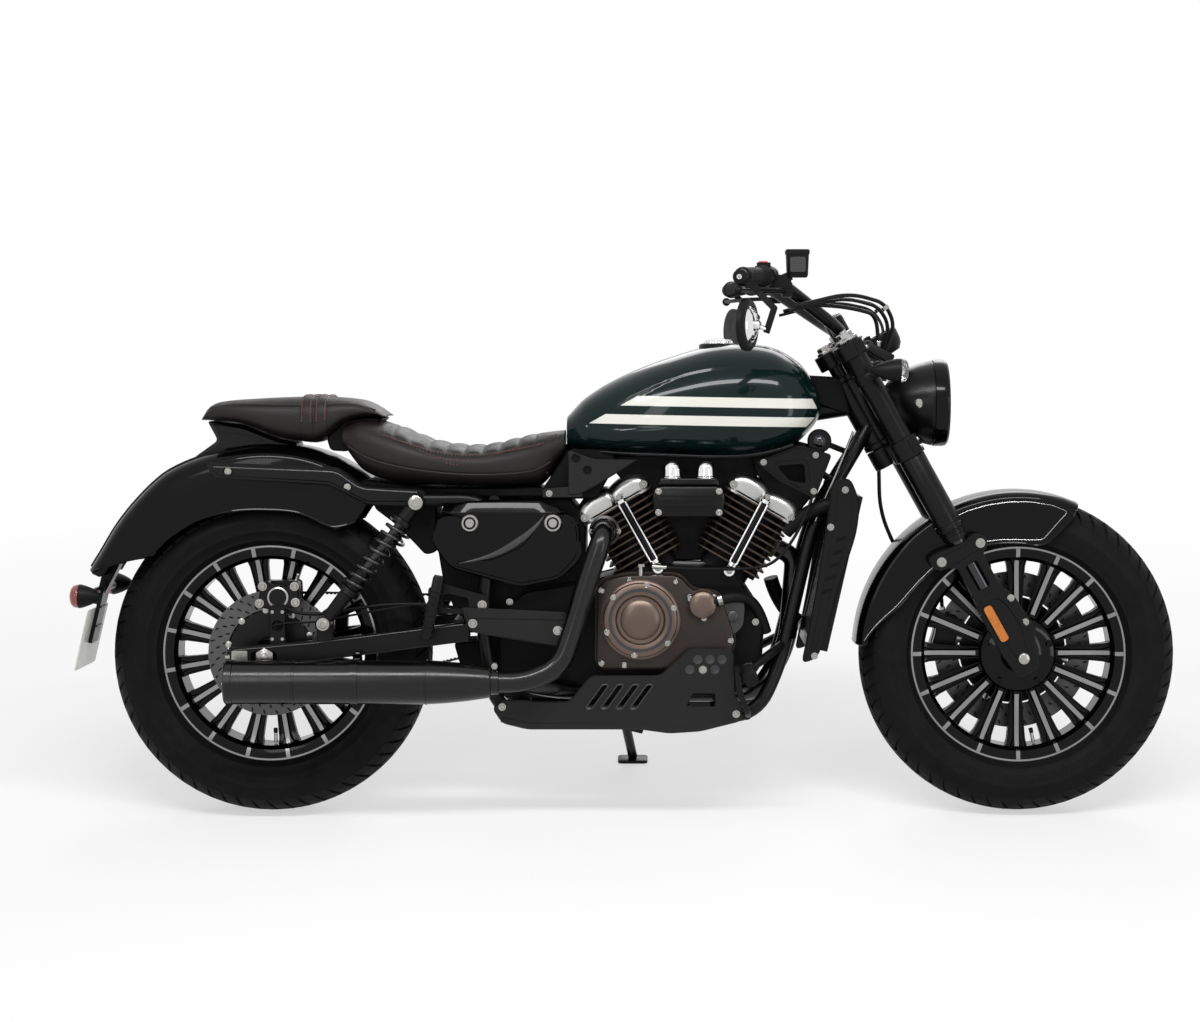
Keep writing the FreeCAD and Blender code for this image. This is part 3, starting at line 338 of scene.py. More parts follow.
    def take(self, other: bpy.types.Mesh, finish: int) -> None:
        """Adds a plain mesh to the shape, in place, and uses it up."""
        before = len(self.mesh.faces)
        self.mesh.from_mesh(other)
        self.mesh.faces.ensure_lookup_table()
        for face in self.mesh.faces[before:]:
            face.material_index = finish
        bpy.data.meshes.remove(other)

    def add(self, other: "Shape", matrix: Matrix, finish: int) -> None:
        """Adds another shape where the matrix carries it, and uses it up."""
        mesh = bpy.data.meshes.new("part")
        other.mesh.to_mesh(mesh)
        other.mesh.free()
        mesh.transform(matrix)
        self.take(mesh, finish)


def circle(centre: Vector, turn: Matrix, radius: float, segments: int) -> list[Vector]:
    """Returns the corners of a round section whose plane is the turn's x and y."""
    angles = [math.tau * index / segments for index in range(segments)]
    return [centre + turn @ point(math.cos(angle), math.sin(angle), 0.0) * radius for angle in angles]


def carried(turn: Matrix, ahead: Vector) -> Matrix:
    """Returns the turn carried along a line, so that a swept section doesn't twist."""
    along = ahead.normalized()
    across = turn.col[0] - along * turn.col[0].dot(along)
    return basis(along, across)


def smooth_line(places: Sequence[Vector]) -> list[Vector]:
    """Returns places along a smooth line that starts and ends at the given ones and passes near the rest."""
    curve = bpy.data.curves.new("line", "CURVE")
    curve.dimensions = "3D"
    spline = curve.splines.new("NURBS")
    spline.points.add(len(places) - 1)
    for knot, place in zip(spline.points, places):
        knot.co = (*place, 1.0)
    spline.order_u = min(4, len(places))
    spline.use_endpoint_u = True
    spline.resolution_u = 8
    holder = bpy.data.objects.new("line", curve)
    mesh = bpy.data.meshes.new_from_object(holder)
    line = [vertex.co.copy() for vertex in mesh.vertices]
    bpy.data.objects.remove(holder)
    bpy.data.curves.remove(curve)
    bpy.data.meshes.remove(mesh)
    return line


def bent_line(places: Sequence[Vector], bend: float) -> list[Vector]:
    """Returns a line that runs straight between the places and rounds each one by about the bend."""
    line = [places[0].copy()]
    for before, here, after in zip(places, places[1:], places[2:]):
        back, on = before - here, after - here
        reach = min(bend, back.length * 0.48, on.length * 0.48)
        start, end = here + back.normalized() * reach, here + on.normalized() * reach
        for step in range(9):
            share = step / 8
            line.append(start.lerp(here, share).lerp(here.lerp(end, share), share))
    return [*line, places[-1].copy()]


def rounded(outline: Sequence[Spot], radius: float, steps: int = 4) -> list[Spot]:
    """Returns the outline with every corner turned into an arc.

    Args:
        outline: The corners.
        radius: About the radius of the arcs; a short side gets a smaller one.
        steps: How many flats an arc has.
    """
    result = []
    count = len(outline)
    for index, corner in enumerate(outline):
        here = Vector(corner)
        before = Vector(outline[index - 1]) - here
        after = Vector(outline[(index + 1) % count]) - here
        reach = min(radius, before.length * 0.45, after.length * 0.45)
        start, end = here + before.normalized() * reach, here + after.normalized() * reach
        for step in range(steps + 1):
            share = step / steps
            place = start.lerp(here, share).lerp(here.lerp(end, share), share)
            result.append((place.x, place.y))
    return result


def grown(outline: Sequence[Spot], by: float) -> list[Spot]:
    """Returns the outline moved out by a distance along its corners' normals."""
    count = len(outline)
    area = sum(outline[i][0] * outline[(i + 1) % count][1] - outline[(i + 1) % count][0] * outline[i][1]
               for i in range(count))
    sign = 1 if area > 0 else -1
    result = []
    for index, (x, z) in enumerate(outline):
        before, after = outline[index - 1], outline[(index + 1) % count]
        way = Vector((after[0] - before[0], after[1] - before[1])).normalized() * sign
        result.append((x + way.y * by, z - way.x * by))
    return result


def disc_outline(x: float, z: float, radius: float, corners: int = 16) -> list[Spot]:
    """Returns a round outline."""
    return [(x + radius * math.cos(math.tau * index / corners),
             z + radius * math.sin(math.tau * index / corners)) for index in range(corners)]


def eased(table: Sequence[Sequence[float]], place: float) -> list[float]:
    """Reads a table between its rows on a smooth curve. Its first column orders the rows.

    Args:
        table: The rows.
        place: The value of the first column to read at.

    Returns:
        The other columns there.
    """
    for index in range(len(table) - 1):
        if place <= table[index + 1][0] or index == len(table) - 2:
            break
    rows = [table[max(index - 1, 0)], table[index], table[index + 1], table[min(index + 2, len(table) - 1)]]
    span = rows[2][0] - rows[1][0]
    part = min(max((place - rows[1][0]) / span, 0.0), 1.0)
    values = []
    for column in range(1, len(table[0])):
        a, b, c, d = (row[column] for row in rows)
        rise_b = (c - a) / max(rows[2][0] - rows[0][0], 1e-6) * span
        rise_c = (d - b) / max(rows[3][0] - rows[1][0], 1e-6) * span
        square, cube = part * part, part ** 3
        values.append(b * (2 * cube - 3 * square + 1) + rise_b * (cube - 2 * square + part)
                      + c * (3 * square - 2 * cube) + rise_c * (cube - square))
    return values


# ------------------------------------------------------------------------------------------------ finishes
def shade(red: float, green: float, blue: float) -> tuple[float, float, float, float]:
    """Returns the linear colour for screen values from 0 to 255."""
    parts = []
    for value in (red, green, blue):
        part = value / 255.0
        parts.append(part / 12.92 if part <= 0.04045 else ((part + 0.055) / 1.055) ** 2.4)
    return (*parts, 1.0)


def scaled(colour: Sequence[float], share: float) -> tuple[float, float, float, float]:
    """Returns the colour made lighter or darker by a share."""
    return (*(min(part * share, 1.0) for part in colour[:3]), 1.0)


class Nodes:
    """A node tree, with short calls that add to it and link it up."""

    def __init__(self, tree: bpy.types.NodeTree) -> None:
        """Works on a tree."""
        self.tree = tree

    def node(self, kind: str, **settings: object) -> bpy.types.Node:
        """Adds a node and sets its properties."""
        node = self.tree.nodes.new(kind)
        for key, value in settings.items():
            setattr(node, key, value)
        return node

    def join(self, source: bpy.types.NodeSocket, target: bpy.types.NodeSocket) -> None:
        """Links an output to an input."""
        self.tree.links.new(source, target)

    def maths(self, operation: str, *values: float | bpy.types.NodeSocket) -> bpy.types.NodeSocket:
        """Returns the result of a sum on sockets and numbers."""
        node = self.node("ShaderNodeMath", operation=operation)
        for socket, value in zip(node.inputs, values):
            if isinstance(value, bpy.types.NodeSocket):
                self.join(value, socket)
            else:
                socket.default_value = value
        return node.outputs[0]

    def ranged(self, source: bpy.types.NodeSocket, low: float, high: float,
               start: float = 0.3, end: float = 0.7) -> bpy.types.NodeSocket:
        """Returns the source stretched from start to end onto low to high."""
        node = self.node("ShaderNodeMapRange")
        for name, value in (("From Min", start), ("From Max", end), ("To Min", low), ("To Max", high)):
            node.inputs[name].default_value = value
        self.join(source, node.inputs["Value"])
        return node.outputs["Result"]


class Palette(Nodes):
    """The nodes of one material, with short calls for what the finishes share."""

    def __init__(self, name: str) -> None:
        """Starts a material with a Principled shader and Object coordinates."""
        self.material = bpy.data.materials.new(name)
        self.material.use_nodes = True
        super().__init__(self.material.node_tree)
        self.shader = self.tree.nodes["Principled BSDF"]
        self.coords = self.node("ShaderNodeTexCoord").outputs["Object"]

    def noise(self, scale: float, detail: float = 3.0) -> bpy.types.NodeSocket:
        """Returns a noise of a scale, in features a metre."""
        node = self.node("ShaderNodeTexNoise")
        node.inputs["Scale"].default_value = scale
        node.inputs["Detail"].default_value = detail
        self.join(self.coords, node.inputs["Vector"])
        return node.outputs["Fac"]

    def cells(self, scale: float, feature: str = "F1") -> bpy.types.NodeSocket:
        """Returns the distance field of a cell pattern."""
        node = self.node("ShaderNodeTexVoronoi", feature=feature)
        node.inputs["Scale"].default_value = scale
        self.join(self.coords, node.inputs["Vector"])
        return node.outputs["Distance"]

    def mixed(self, share: bpy.types.NodeSocket, first: Sequence[float] | bpy.types.NodeSocket,
              second: Sequence[float] | bpy.types.NodeSocket) -> bpy.types.NodeSocket:
        """Returns the first colour turning to the second by the share."""
        node = self.node("ShaderNodeMix", data_type="RGBA")
        self.join(share, node.inputs["Factor"])
        for socket, value in ((node.inputs[6], first), (node.inputs[7], second)):
            if isinstance(value, bpy.types.NodeSocket):
                self.join(value, socket)
            else:
                socket.default_value = value
        return node.outputs[2]

    def bumped(self, height: bpy.types.NodeSocket, depth: float,
               under: bpy.types.NodeSocket | None = None) -> bpy.types.NodeSocket:
        """Returns the normal of a height whose full rise is the depth, in metres."""
        node = self.node("ShaderNodeBump")
        node.inputs["Distance"].default_value = depth
        self.join(height, node.inputs["Height"])
        if under is not None:
            self.join(under, node.inputs["Normal"])
        return node.outputs["Normal"]

    def machine_coords(self) -> bpy.types.NodeSocket:
        """Returns coordinates in the machine's own upright frame, in metres."""
        node = self.node("ShaderNodeMapping", vector_type="TEXTURE")
        node.inputs["Location"].default_value = stance.matrix.translation
        node.inputs["Rotation"].default_value = (-stance.lean, 0.0, 0.0)
        self.join(self.coords, node.inputs["Vector"])
        return node.outputs["Vector"]

    def parts(self, coords: bpy.types.NodeSocket) -> list[bpy.types.NodeSocket]:
        """Returns the x, y and z of coordinates."""
        node = self.node("ShaderNodeSeparateXYZ")
        self.join(coords, node.inputs["Vector"])
        return list(node.outputs)

    def set(self, **values: object) -> None:
        """Sets the shader's own sockets, with underscores for the spaces in their names."""
        for key, value in values.items():
            self.shader.inputs[key.replace("_", " ")].default_value = value


@dataclass(frozen=True)
class Finish:
    """A surface: its colour, its gloss, and the fine grain and mottle that a real one has."""

    name: str
    colour: tuple[float, float, float, float]
    roughness: float = 0.45
    metallic: float = 0.0
    coat: float = 0.0
    grain: float = 900.0
    depth: float = 0.00006
    mottle: float = 0.12
    sheen: float = 0.0
    shine: float = 0.5

    def build(self) -> bpy.types.Material:
        """Returns the finish as a material, made once."""
        known = bpy.data.materials.get(self.name)
        if known:
            return known
        palette = Palette(self.name)
        palette.set(Metallic=self.metallic, Coat_Weight=self.coat, Coat_Roughness=0.04,
                    Sheen_Weight=self.sheen, Specular_IOR_Level=self.shine)
        broad = palette.noise(9.0, 4.0)
        palette.join(self.tint(palette, broad), palette.shader.inputs["Base Color"])
        handled = palette.noise(34.0, 5.0)
        worn = palette.ranged(handled, self.roughness * 0.86, min(self.roughness * 1.18, 1.0))
        palette.join(worn, palette.shader.inputs["Roughness"])
        palette.join(self.relief(palette), palette.shader.inputs["Normal"])
        return palette.material

    def tint(self, palette: Palette, broad: bpy.types.NodeSocket) -> bpy.types.NodeSocket:
        """Returns the colour, which drifts a little over the surface."""
        return palette.mixed(palette.ranged(broad, 0.0, 1.0), scaled(self.colour, 1 - self.mottle),
                             scaled(self.colour, 1 + self.mottle))

    def relief(self, palette: Palette) -> bpy.types.NodeSocket:
        """Returns the normal of the surface's grain."""
        return palette.bumped(palette.noise(self.grain, 2.0), self.depth)


@dataclass(frozen=True)
class Leather(Finish):
    """Grained seat leather: small plates with creases between them, and a soft drift of colour."""

    plates: float = 560.0

    def relief(self, palette: Palette) -> bpy.types.NodeSocket:
        """Returns the normal of the plates and their creases."""
        creases = palette.ranged(palette.cells(self.plates, "DISTANCE_TO_EDGE"), 0.0, 1.0, 0.0, 0.25)
        fine = palette.bumped(palette.noise(2400.0, 3.0), 0.00003)
        return palette.bumped(creases, 0.00009, under=fine)


@dataclass(frozen=True)
class Lens(Finish):
    """Moulded lens plastic or glass, with ribs on its back that catch the light."""

    clear: float = 0.9
    ribs: float = 260.0
    refraction: float = 1.49

    def build(self) -> bpy.types.Material:
        """Returns the lens as a material, made once."""
        known = bpy.data.materials.get(self.name)
        if known:
            return known
        palette = Palette(self.name)
        palette.set(Metallic=0.0, Transmission_Weight=self.clear, IOR=self.refraction, Coat_Weight=self.coat)
        palette.join(self.tint(palette, palette.noise(40.0)), palette.shader.inputs["Base Color"])
        palette.join(palette.ranged(palette.noise(60.0), self.roughness * 0.8, self.roughness * 1.3),
                     palette.shader.inputs["Roughness"])
        palette.join(palette.bumped(palette.cells(self.ribs), 0.0006), palette.shader.inputs["Normal"])
        return palette.material


@dataclass(frozen=True)
class StripedPaint(Finish):
    """Dark green tank enamel with two off-white stripes along each side.

    A stripe holds the heights of its lower and upper edges, in millimetres, over a line that drops
    slightly to the front. Its ends are cut on a slant.
    """

    stripe: tuple[float, float, float, float] = shade(214, 214, 206)
    bands: tuple[Spot, ...] = ((784.0, 803.3), (821.0, 840.7))
    drop: float = 0.017
    tail: Spot = (-15.0, 842.0)
    tail_slant: float = 1.77
    noses: tuple[tuple[float, float, float], ...] = ((344.0, 801.0, 1.0), (346.0, 817.0, -0.55))

    def tint(self, palette: Palette, broad: bpy.types.NodeSocket) -> bpy.types.NodeSocket:
        """Returns the enamel with its stripes."""
        plain = super().tint(palette, broad)
        x, _, z = palette.parts(palette.machine_coords())[:3]
        level = palette.maths("ADD", z, palette.maths("MULTIPLY", palette.maths("SUBTRACT", x, 0.1), self.drop))
        cover = None
        for (low, high), (nose_x, nose_z, slant) in zip(self.bands, self.noses):
            inside = palette.maths("MULTIPLY", self.past(palette, level, low),
                                   palette.maths("SUBTRACT", 1.0, self.past(palette, level, high)))
            tail = palette.maths("MULTIPLY_ADD", z, self.tail_slant,
                                 (self.tail[0] - self.tail_slant * self.tail[1]) * MILLIMETRE)
            behind = self.past(palette, palette.maths("SUBTRACT", x, tail), 0.0)
            lean = palette.maths("MULTIPLY", palette.maths("SUBTRACT", z, nose_z * MILLIMETRE), -slant)
            ahead = palette.maths("SUBTRACT", 1.0, self.past(palette, palette.maths("ADD", x, lean), nose_x))
            band = palette.maths("MULTIPLY", inside, palette.maths("MULTIPLY", behind, ahead))
            cover = band if cover is None else palette.maths("MAXIMUM", cover, band)
        return palette.mixed(cover, plain, self.stripe)

    def past(self, palette: Palette, value: bpy.types.NodeSocket, edge: float) -> bpy.types.NodeSocket:
        """Returns 1 past an edge in millimetres and 0 before it, with a crisp painted step."""
        soft = 0.3
        return palette.ranged(value, 0.0, 1.0, (edge - soft) * MILLIMETRE, (edge + soft) * MILLIMETRE)


class Finishes:
    """Every finish of the machine, by a maker's name for it."""

    GLOSS_BLACK = Finish("gloss_black_enamel", shade(4, 4, 5), 0.2, coat=0.24, grain=700.0, depth=0.000012,
                         mottle=0.1, shine=0.04)
    SATIN_BLACK = Finish("satin_black_coating", shade(8, 8, 9), 0.3, grain=1500.0, depth=0.00003, shine=0.18)
    EXHAUST = Finish("heatproof_black_coating", shade(3, 3, 3), 0.22, grain=1500.0, depth=0.000005, shine=0.36)
    SATIN_GREY = Finish("satin_dark_grey_coating", shade(24, 24, 25), 0.36, grain=1500.0,
                        depth=0.00004, shine=0.2)
    SPRING = Finish("coated_spring_wire", shade(14, 14, 15), 0.3, coat=0.3, grain=900.0, depth=0.00002)
    MATT_BLACK = Finish("black_cast_coating", shade(8, 7, 7), 0.5, grain=1100.0, depth=0.00008, shine=0.1)
    FIN_EDGE = Finish("bronzed_fin_edge", shade(72, 60, 50), 0.42, metallic=0.5, grain=1300.0, depth=0.00005)
    PLASTIC = Finish("moulded_black_plastic", shade(9, 9, 10), 0.45, grain=1900.0, depth=0.00006, shine=0.14)
    GREY_PLASTIC = Finish("moulded_grey_plastic", shade(92, 92, 93), 0.42, grain=1900.0, depth=0.00003,
                          mottle=0.1)
    ENAMEL = StripedPaint("dark_green_enamel", shade(8, 25, 24), 0.2, coat=0.32, grain=700.0, depth=0.000012,
                          mottle=0.1, shine=0.05)
    SILVER = Finish("polished_silver_casting", shade(176, 176, 175), 0.27, metallic=0.95, grain=900.0,
                    depth=0.00002, mottle=0.06)
    COVER = Finish("satin_silver_casting", shade(178, 178, 177), 0.3, metallic=1.0, grain=420.0,
                   depth=0.000006, mottle=0.03)
    # Also paints highlight lines: along the swingarm's top edges, the struts' ridges and the side covers' swept
    # step.
    GREY = Finish("satin_grey_coating", shade(58, 58, 59), 0.36, metallic=0.6, grain=1500.0, depth=0.00004)
    BRONZE = Finish("bronze_grey_casting", shade(98, 84, 76), 0.34, metallic=0.8, grain=1200.0, depth=0.00005)
    DARK_BRONZE = Finish("dark_bronze_casting", shade(44, 37, 33), 0.42, metallic=0.6, grain=1200.0,
                         depth=0.00008)
    CHROME = Finish("bright_chrome", shade(226, 226, 228), 0.08, metallic=1.0, grain=240.0, depth=0.000008,
                    mottle=0.04)
    DARK_CHROME = Finish("dark_chrome", shade(64, 64, 67), 0.12, metallic=1.0, grain=240.0, depth=0.000008)
    MIRROR = Finish("mirror_glass", shade(210, 214, 218), 0.04, metallic=1.0, grain=90.0, depth=0.000004,
                    mottle=0.02)
    STEEL = Finish("ground_steel", shade(84, 84, 85), 0.34, metallic=1.0, grain=1400.0, depth=0.00003)
    BOLT = Finish("zinc_plated_bolt", shade(164, 162, 158), 0.24, metallic=1.0, grain=900.0, depth=0.00003)
    # Also paints the highlight lines along the front fender's edges.
    MACHINED = Finish("machined_alloy", shade(138, 138, 138), 0.24, metallic=1.0, grain=1100.0, depth=0.00003)
    TYRE = Finish("tyre_rubber", shade(9, 9, 10), 0.62, grain=1300.0, depth=0.0001, mottle=0.18, shine=0.12)
    RUBBER = Finish("black_rubber", shade(9, 9, 10), 0.55, grain=1600.0, depth=0.00008, shine=0.14)
    HOSE = Finish("braided_hose_cover", shade(11, 11, 12), 0.45, grain=2600.0, depth=0.0001, mottle=0.18,
                  shine=0.18)
    LEATHER = Leather("grained_leather", shade(24, 20, 19), 0.46, mottle=0.14, shine=0.24)
    THREAD = Finish("reddish_thread", shade(84, 44, 38), 0.7, grain=4200.0, depth=0.00008, mottle=0.2,
                    sheen=0.1)
    GLASS = Lens("headlamp_glass", shade(240, 242, 244), 0.02, ribs=30.0)
    LENS_CLEAR = Lens("clear_lens", shade(236, 238, 240), 0.06)
    AMBER = Lens("amber_reflector", shade(186, 104, 0), 0.3, coat=0.1, clear=0.05, ribs=900.0)
    RED_LENS = Lens("red_lens", shade(150, 14, 12), 0.12, coat=1.0, clear=0.35, ribs=700.0)
    DIAL = Finish("dial_glass", shade(10, 11, 13), 0.1, coat=1.0, grain=300.0, depth=0.00001, mottle=0.1)
    PLATE = Finish("blank_plate", shade(214, 214, 208), 0.4, coat=0.3, grain=1500.0, depth=0.00003, mottle=0.03)
    RED_PLASTIC = Finish("red_switch_plastic", shade(188, 44, 40), 0.4, grain=1900.0, depth=0.00004,
                         mottle=0.08)


# ------------------------------------------------------------------------------------------------ repeats
class Tree(Nodes):
    """A Geometry Nodes tree with named inputs that lays copies of a shape and makes them real."""

    def __init__(self, name: str, inputs: dict[str, str]) -> None:
        """Starts the tree.

        Args:
            name: The tree's name.
            inputs: Its own inputs beside the geometry, the material and the copy, as name to socket type.
        """
        super().__init__(bpy.data.node_groups.new(name, "GeometryNodeTree"))
        sockets = {"Geometry": "NodeSocketGeometry", "Material": "NodeSocketMaterial",
                   "Copy": "NodeSocketObject", **inputs}
        for key, kind in sockets.items():
            self.tree.interface.new_socket(key, in_out="INPUT", socket_type=kind)
        self.tree.interface.new_socket("Geometry", in_out="OUTPUT", socket_type="NodeSocketGeometry")
        self.start = self.node("NodeGroupInput")
        self.end = self.node("NodeGroupOutput")

    def lay(self, points: bpy.types.NodeSocket, rotation: bpy.types.NodeSocket | None) -> None:
        """Puts a copy on every point, makes the copies real and gives them the material."""
        copy = self.node("GeometryNodeObjectInfo")
        self.join(self.start.outputs["Copy"], copy.inputs["Object"])
        instances = self.node("GeometryNodeInstanceOnPoints")
        self.join(points, instances.inputs["Points"])
        self.join(copy.outputs["Geometry"], instances.inputs["Instance"])
        if rotation is not None:
            self.join(rotation, instances.inputs["Rotation"])
        real = self.node("GeometryNodeRealizeInstances")
        dressed = self.node("GeometryNodeSetMaterial")
        self.join(instances.outputs["Instances"], real.inputs["Geometry"])
        self.join(real.outputs["Geometry"], dressed.inputs["Geometry"])
        self.join(self.start.outputs["Material"], dressed.inputs["Material"])
        self.join(dressed.outputs["Geometry"], self.end.inputs["Geometry"])

    def run(self, host: bpy.types.Mesh, copy: Shape, finish: Finish, **values: object) -> bpy.types.Mesh:
        """Runs the tree on a host mesh.

        Args:
            host: The mesh that the tree starts from.
            copy: The shape to repeat, which is used up.
            finish: The finish of the copies.
            values: The other inputs, by name with underscores for spaces.

        Returns:
            The plain mesh of all the copies, in the host's units.
        """
        copy_mesh = bpy.data.meshes.new("copy")
        copy.mesh.to_mesh(copy_mesh)
        copied = bpy.data.objects.new("copy", copy_mesh)
        holder = bpy.data.objects.new("holder", host)
        for item in (copied, holder):
            bpy.context.scene.collection.objects.link(item)
        modifier = holder.modifiers.new("repeat", "NODES")
        modifier.node_group = self.tree
        given = {"Copy": copied, "Material": finish.build(),
                 **{key.replace("_", " "): value for key, value in values.items()}}
        for socket in self.tree.interface.items_tree:
            if socket.in_out == "INPUT" and socket.name in given:
                modifier[socket.identifier] = given[socket.name]
        holder.update_tag()
        graph = bpy.context.evaluated_depsgraph_get()
        mesh = bpy.data.meshes.new_from_object(holder.evaluated_get(graph))
        for item in (copied, holder):
            bpy.data.objects.remove(item)
        for old in (copy_mesh, host):
            bpy.data.meshes.remove(old)
        return mesh


def spots_mesh(places: Sequence[Vector], turn: Vector) -> bpy.types.Mesh:
    """Returns a mesh of loose points, each with the turn that its copy takes."""
    mesh = bpy.data.meshes.new("spots")
    mesh.from_pydata([tuple(place) for place in places], [], [])
    for item in mesh.attributes.new("turn", "FLOAT_VECTOR", "POINT").data:
        item.vector = turn
    return mesh


def line_mesh(places: Sequence[Vector], closed: bool = False) -> bpy.types.Mesh:
    """Returns a mesh of a line through the places."""
    mesh = bpy.data.meshes.new("line")
    edges = [(index, index + 1) for index in range(len(places) - 1)]
    edges += [(len(places) - 1, 0)] if closed else []
    mesh.from_pydata([tuple(place) for place in places], edges, [])
    return mesh


class Repeats:
    """The trees that the machine uses for what repeats on it."""

    def __init__(self) -> None:
        """Builds the trees once."""
        self.ring = self.ring_tree()
        self.row = self.row_tree()
        self.spots = self.spots_tree()
        self.trail = self.trail_tree()

    def ring_tree(self) -> Tree:
        """Returns a tree that lays copies round the axle's axis, which is y through the origin."""
        tree = Tree("copies_round_an_axle", {"Count": "NodeSocketInt", "First Turn": "NodeSocketFloat"})
        line = tree.node("GeometryNodeMeshLine")
        line.inputs["Offset"].default_value = (0.0, 0.0, 0.0)
        tree.join(tree.start.outputs["Count"], line.inputs["Count"])
        index = tree.node("GeometryNodeInputIndex")
        share = tree.maths("DIVIDE", index.outputs[0], tree.start.outputs["Count"])
        spin = tree.node("ShaderNodeCombineXYZ")
        tree.join(tree.maths("MULTIPLY_ADD", share, math.tau, tree.start.outputs["First Turn"]),
                  spin.inputs["Y"])
        tree.lay(line.outputs["Mesh"], spin.outputs["Vector"])
        return tree

    def row_tree(self) -> Tree:
        """Returns a tree that lays copies in a straight row, from the origin by a step."""
        tree = Tree("copies_in_a_row", {"Count": "NodeSocketInt", "Step": "NodeSocketVector"})
        line = tree.node("GeometryNodeMeshLine")
        tree.join(tree.start.outputs["Count"], line.inputs["Count"])
        tree.join(tree.start.outputs["Step"], line.inputs["Offset"])
        tree.lay(line.outputs["Mesh"], None)
        return tree

    def spots_tree(self) -> Tree:
        """Returns a tree that lays a copy on every point of the host, by the point's own turn."""
        tree = Tree("copies_on_spots", {})
        turn = tree.node("GeometryNodeInputNamedAttribute", data_type="FLOAT_VECTOR")
        turn.inputs["Name"].default_value = "turn"
        tree.lay(tree.start.outputs["Geometry"], turn.outputs[0])
        return tree

    def trail_tree(self) -> Tree:
        """Returns a tree that lays copies along the host's line, each with its x along the line."""
        tree = Tree("copies_on_a_trail", {"Spacing": "NodeSocketFloat", "Facing": "NodeSocketVector"})
        curve = tree.node("GeometryNodeMeshToCurve")
        tree.join(tree.start.outputs["Geometry"], curve.inputs["Mesh"])
        points = tree.node("GeometryNodeCurveToPoints", mode="LENGTH")
        tree.join(curve.outputs["Curve"], points.inputs["Curve"])
        tree.join(tree.start.outputs["Spacing"], points.inputs["Length"])
        along = tree.node("FunctionNodeAlignRotationToVector", axis="X")
        tree.join(points.outputs["Tangent"], along.inputs["Vector"])
        facing = tree.node("FunctionNodeAlignRotationToVector", axis="Z", pivot_axis="X")
        tree.join(along.outputs["Rotation"], facing.inputs["Rotation"])
        tree.join(tree.start.outputs["Facing"], facing.inputs["Vector"])
        tree.lay(points.outputs["Points"], facing.outputs["Rotation"])
        return tree


# ------------------------------------------------------------------------------------------------ workshop
@dataclass
class Workshop:
    """Turns shapes into finished pieces that ride on the machine, and hides the frame's nodes that they stand
    for.
    """

    size: Chassis
    repeats: Repeats
    made: int = 0

    def finished(self, name: str, shape: Shape, body: Body, slot: str, *finishes: Finish,
                 stands_for: str = "", edge: float = 0.0, crease: float = 38.0,
                 levels: int = 0) -> bpy.types.Object:
        """Turns a shape into a piece of the machine.

        Args:
            name: The piece's name.
            shape: Its shape, which is used up.
            body: The body that it rides on.
            slot: The record's slot for the piece; not used.
            finishes: Its finishes, by number.
            stands_for: The frame's node that it stands for, if it is one's main piece.
            edge: How far its sharp edges are broken, in millimetres.
            crease: The angle past which an edge stays sharp, in degrees.
            levels: Its levels of subdivision.

        Returns:
            The piece.
        """
        mesh = bpy.data.meshes.new(name)
        shape.mesh.to_mesh(mesh)
        shape.mesh.free()
        mesh.transform(stance.matrix)
        for finish in finishes:
            mesh.materials.append(finish.build())
        mesh.shade_smooth()
        mesh.set_sharp_from_angle(angle=math.radians(crease))
        piece = bpy.data.objects.new(name, mesh)
        bpy.context.scene.collection.objects.link(piece)
        if levels:
            rounding = piece.modifiers.new("rounding", "SUBSURF")
            rounding.levels = rounding.render_levels = levels
        if edge:
            bevel = piece.modifiers.new("broken_edges", "BEVEL")
            bevel.width = edge * MILLIMETRE
            bevel.segments = 2
            bevel.limit_method = "ANGLE"
            bevel.angle_limit = math.radians(crease)
            bevel.harden_normals = True
        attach(piece, body.value)
        if stands_for:
            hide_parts(stands_for)
        self.made += 1
        log.info("%s: %d faces on the %s", name, len(mesh.polygons), body.value)
        return piece

    def bolts(self, shape: Shape, places: Sequence[Vector], axis: Vector, radius: float,
              finish: int, kind: Finish, height: float | None = None) -> None:
        """Adds socket-head bolts to a shape.

        Args:
            shape: The shape that they join.
            places: Where their heads sit.
            axis: The way that the heads face.
            radius: The radius of a head.
            finish: Their finish, by its number on the piece.
            kind: That finish.
            height: How tall a head is, where it isn't as tall as its radius.
        """
        tall = height or radius
        bolt = Shape()
        bolt.lathe([(radius * 1.5, 0.0), (radius * 1.5, tall * 0.16), (radius, tall * 0.18),
                    (radius, tall * 0.86), (radius * 0.86, tall), (radius * 0.56, tall),
                    (radius * 0.5, tall * 0.4)], Vector(), UP, segments=18)
        host = spots_mesh(places, Vector(basis(axis).to_euler()))
        shape.take(self.repeats.spots.run(host, bolt, kind), finish)

    def ringed(self, shape: Shape, copy: Shape, count: int, centre: Vector, finish: int, kind: Finish,
               first: float = 0.0) -> None:
        """Adds copies of a shape round an axle. The copy is drawn about the origin."""
        mesh = self.repeats.ring.run(bpy.data.meshes.new("host"), copy, kind, Count=count, First_Turn=first)
        mesh.transform(Matrix.Translation(centre))
        shape.take(mesh, finish)

    def rowed(self, shape: Shape, copy: Shape, count: int, start: Vector, step: Vector, finish: int,
              kind: Finish) -> None:
        """Adds copies of a shape in a straight row. The copy is drawn about the origin."""
        mesh = self.repeats.row.run(bpy.data.meshes.new("host"), copy, kind, Count=count, Step=tuple(step))
        mesh.transform(Matrix.Translation(start))
        shape.take(mesh, finish)

    def trailed(self, shape: Shape, copy: Shape, places: Sequence[Vector], spacing: float, facing: Vector,
                finish: int, kind: Finish, closed: bool = False) -> None:
        """Adds copies of a shape along a line, each with its x along the line and its z to the facing."""
        trail = self.repeats.trail
        shape.take(trail.run(line_mesh(places, closed), copy, kind, Spacing=spacing, Facing=tuple(facing)),
                   finish)


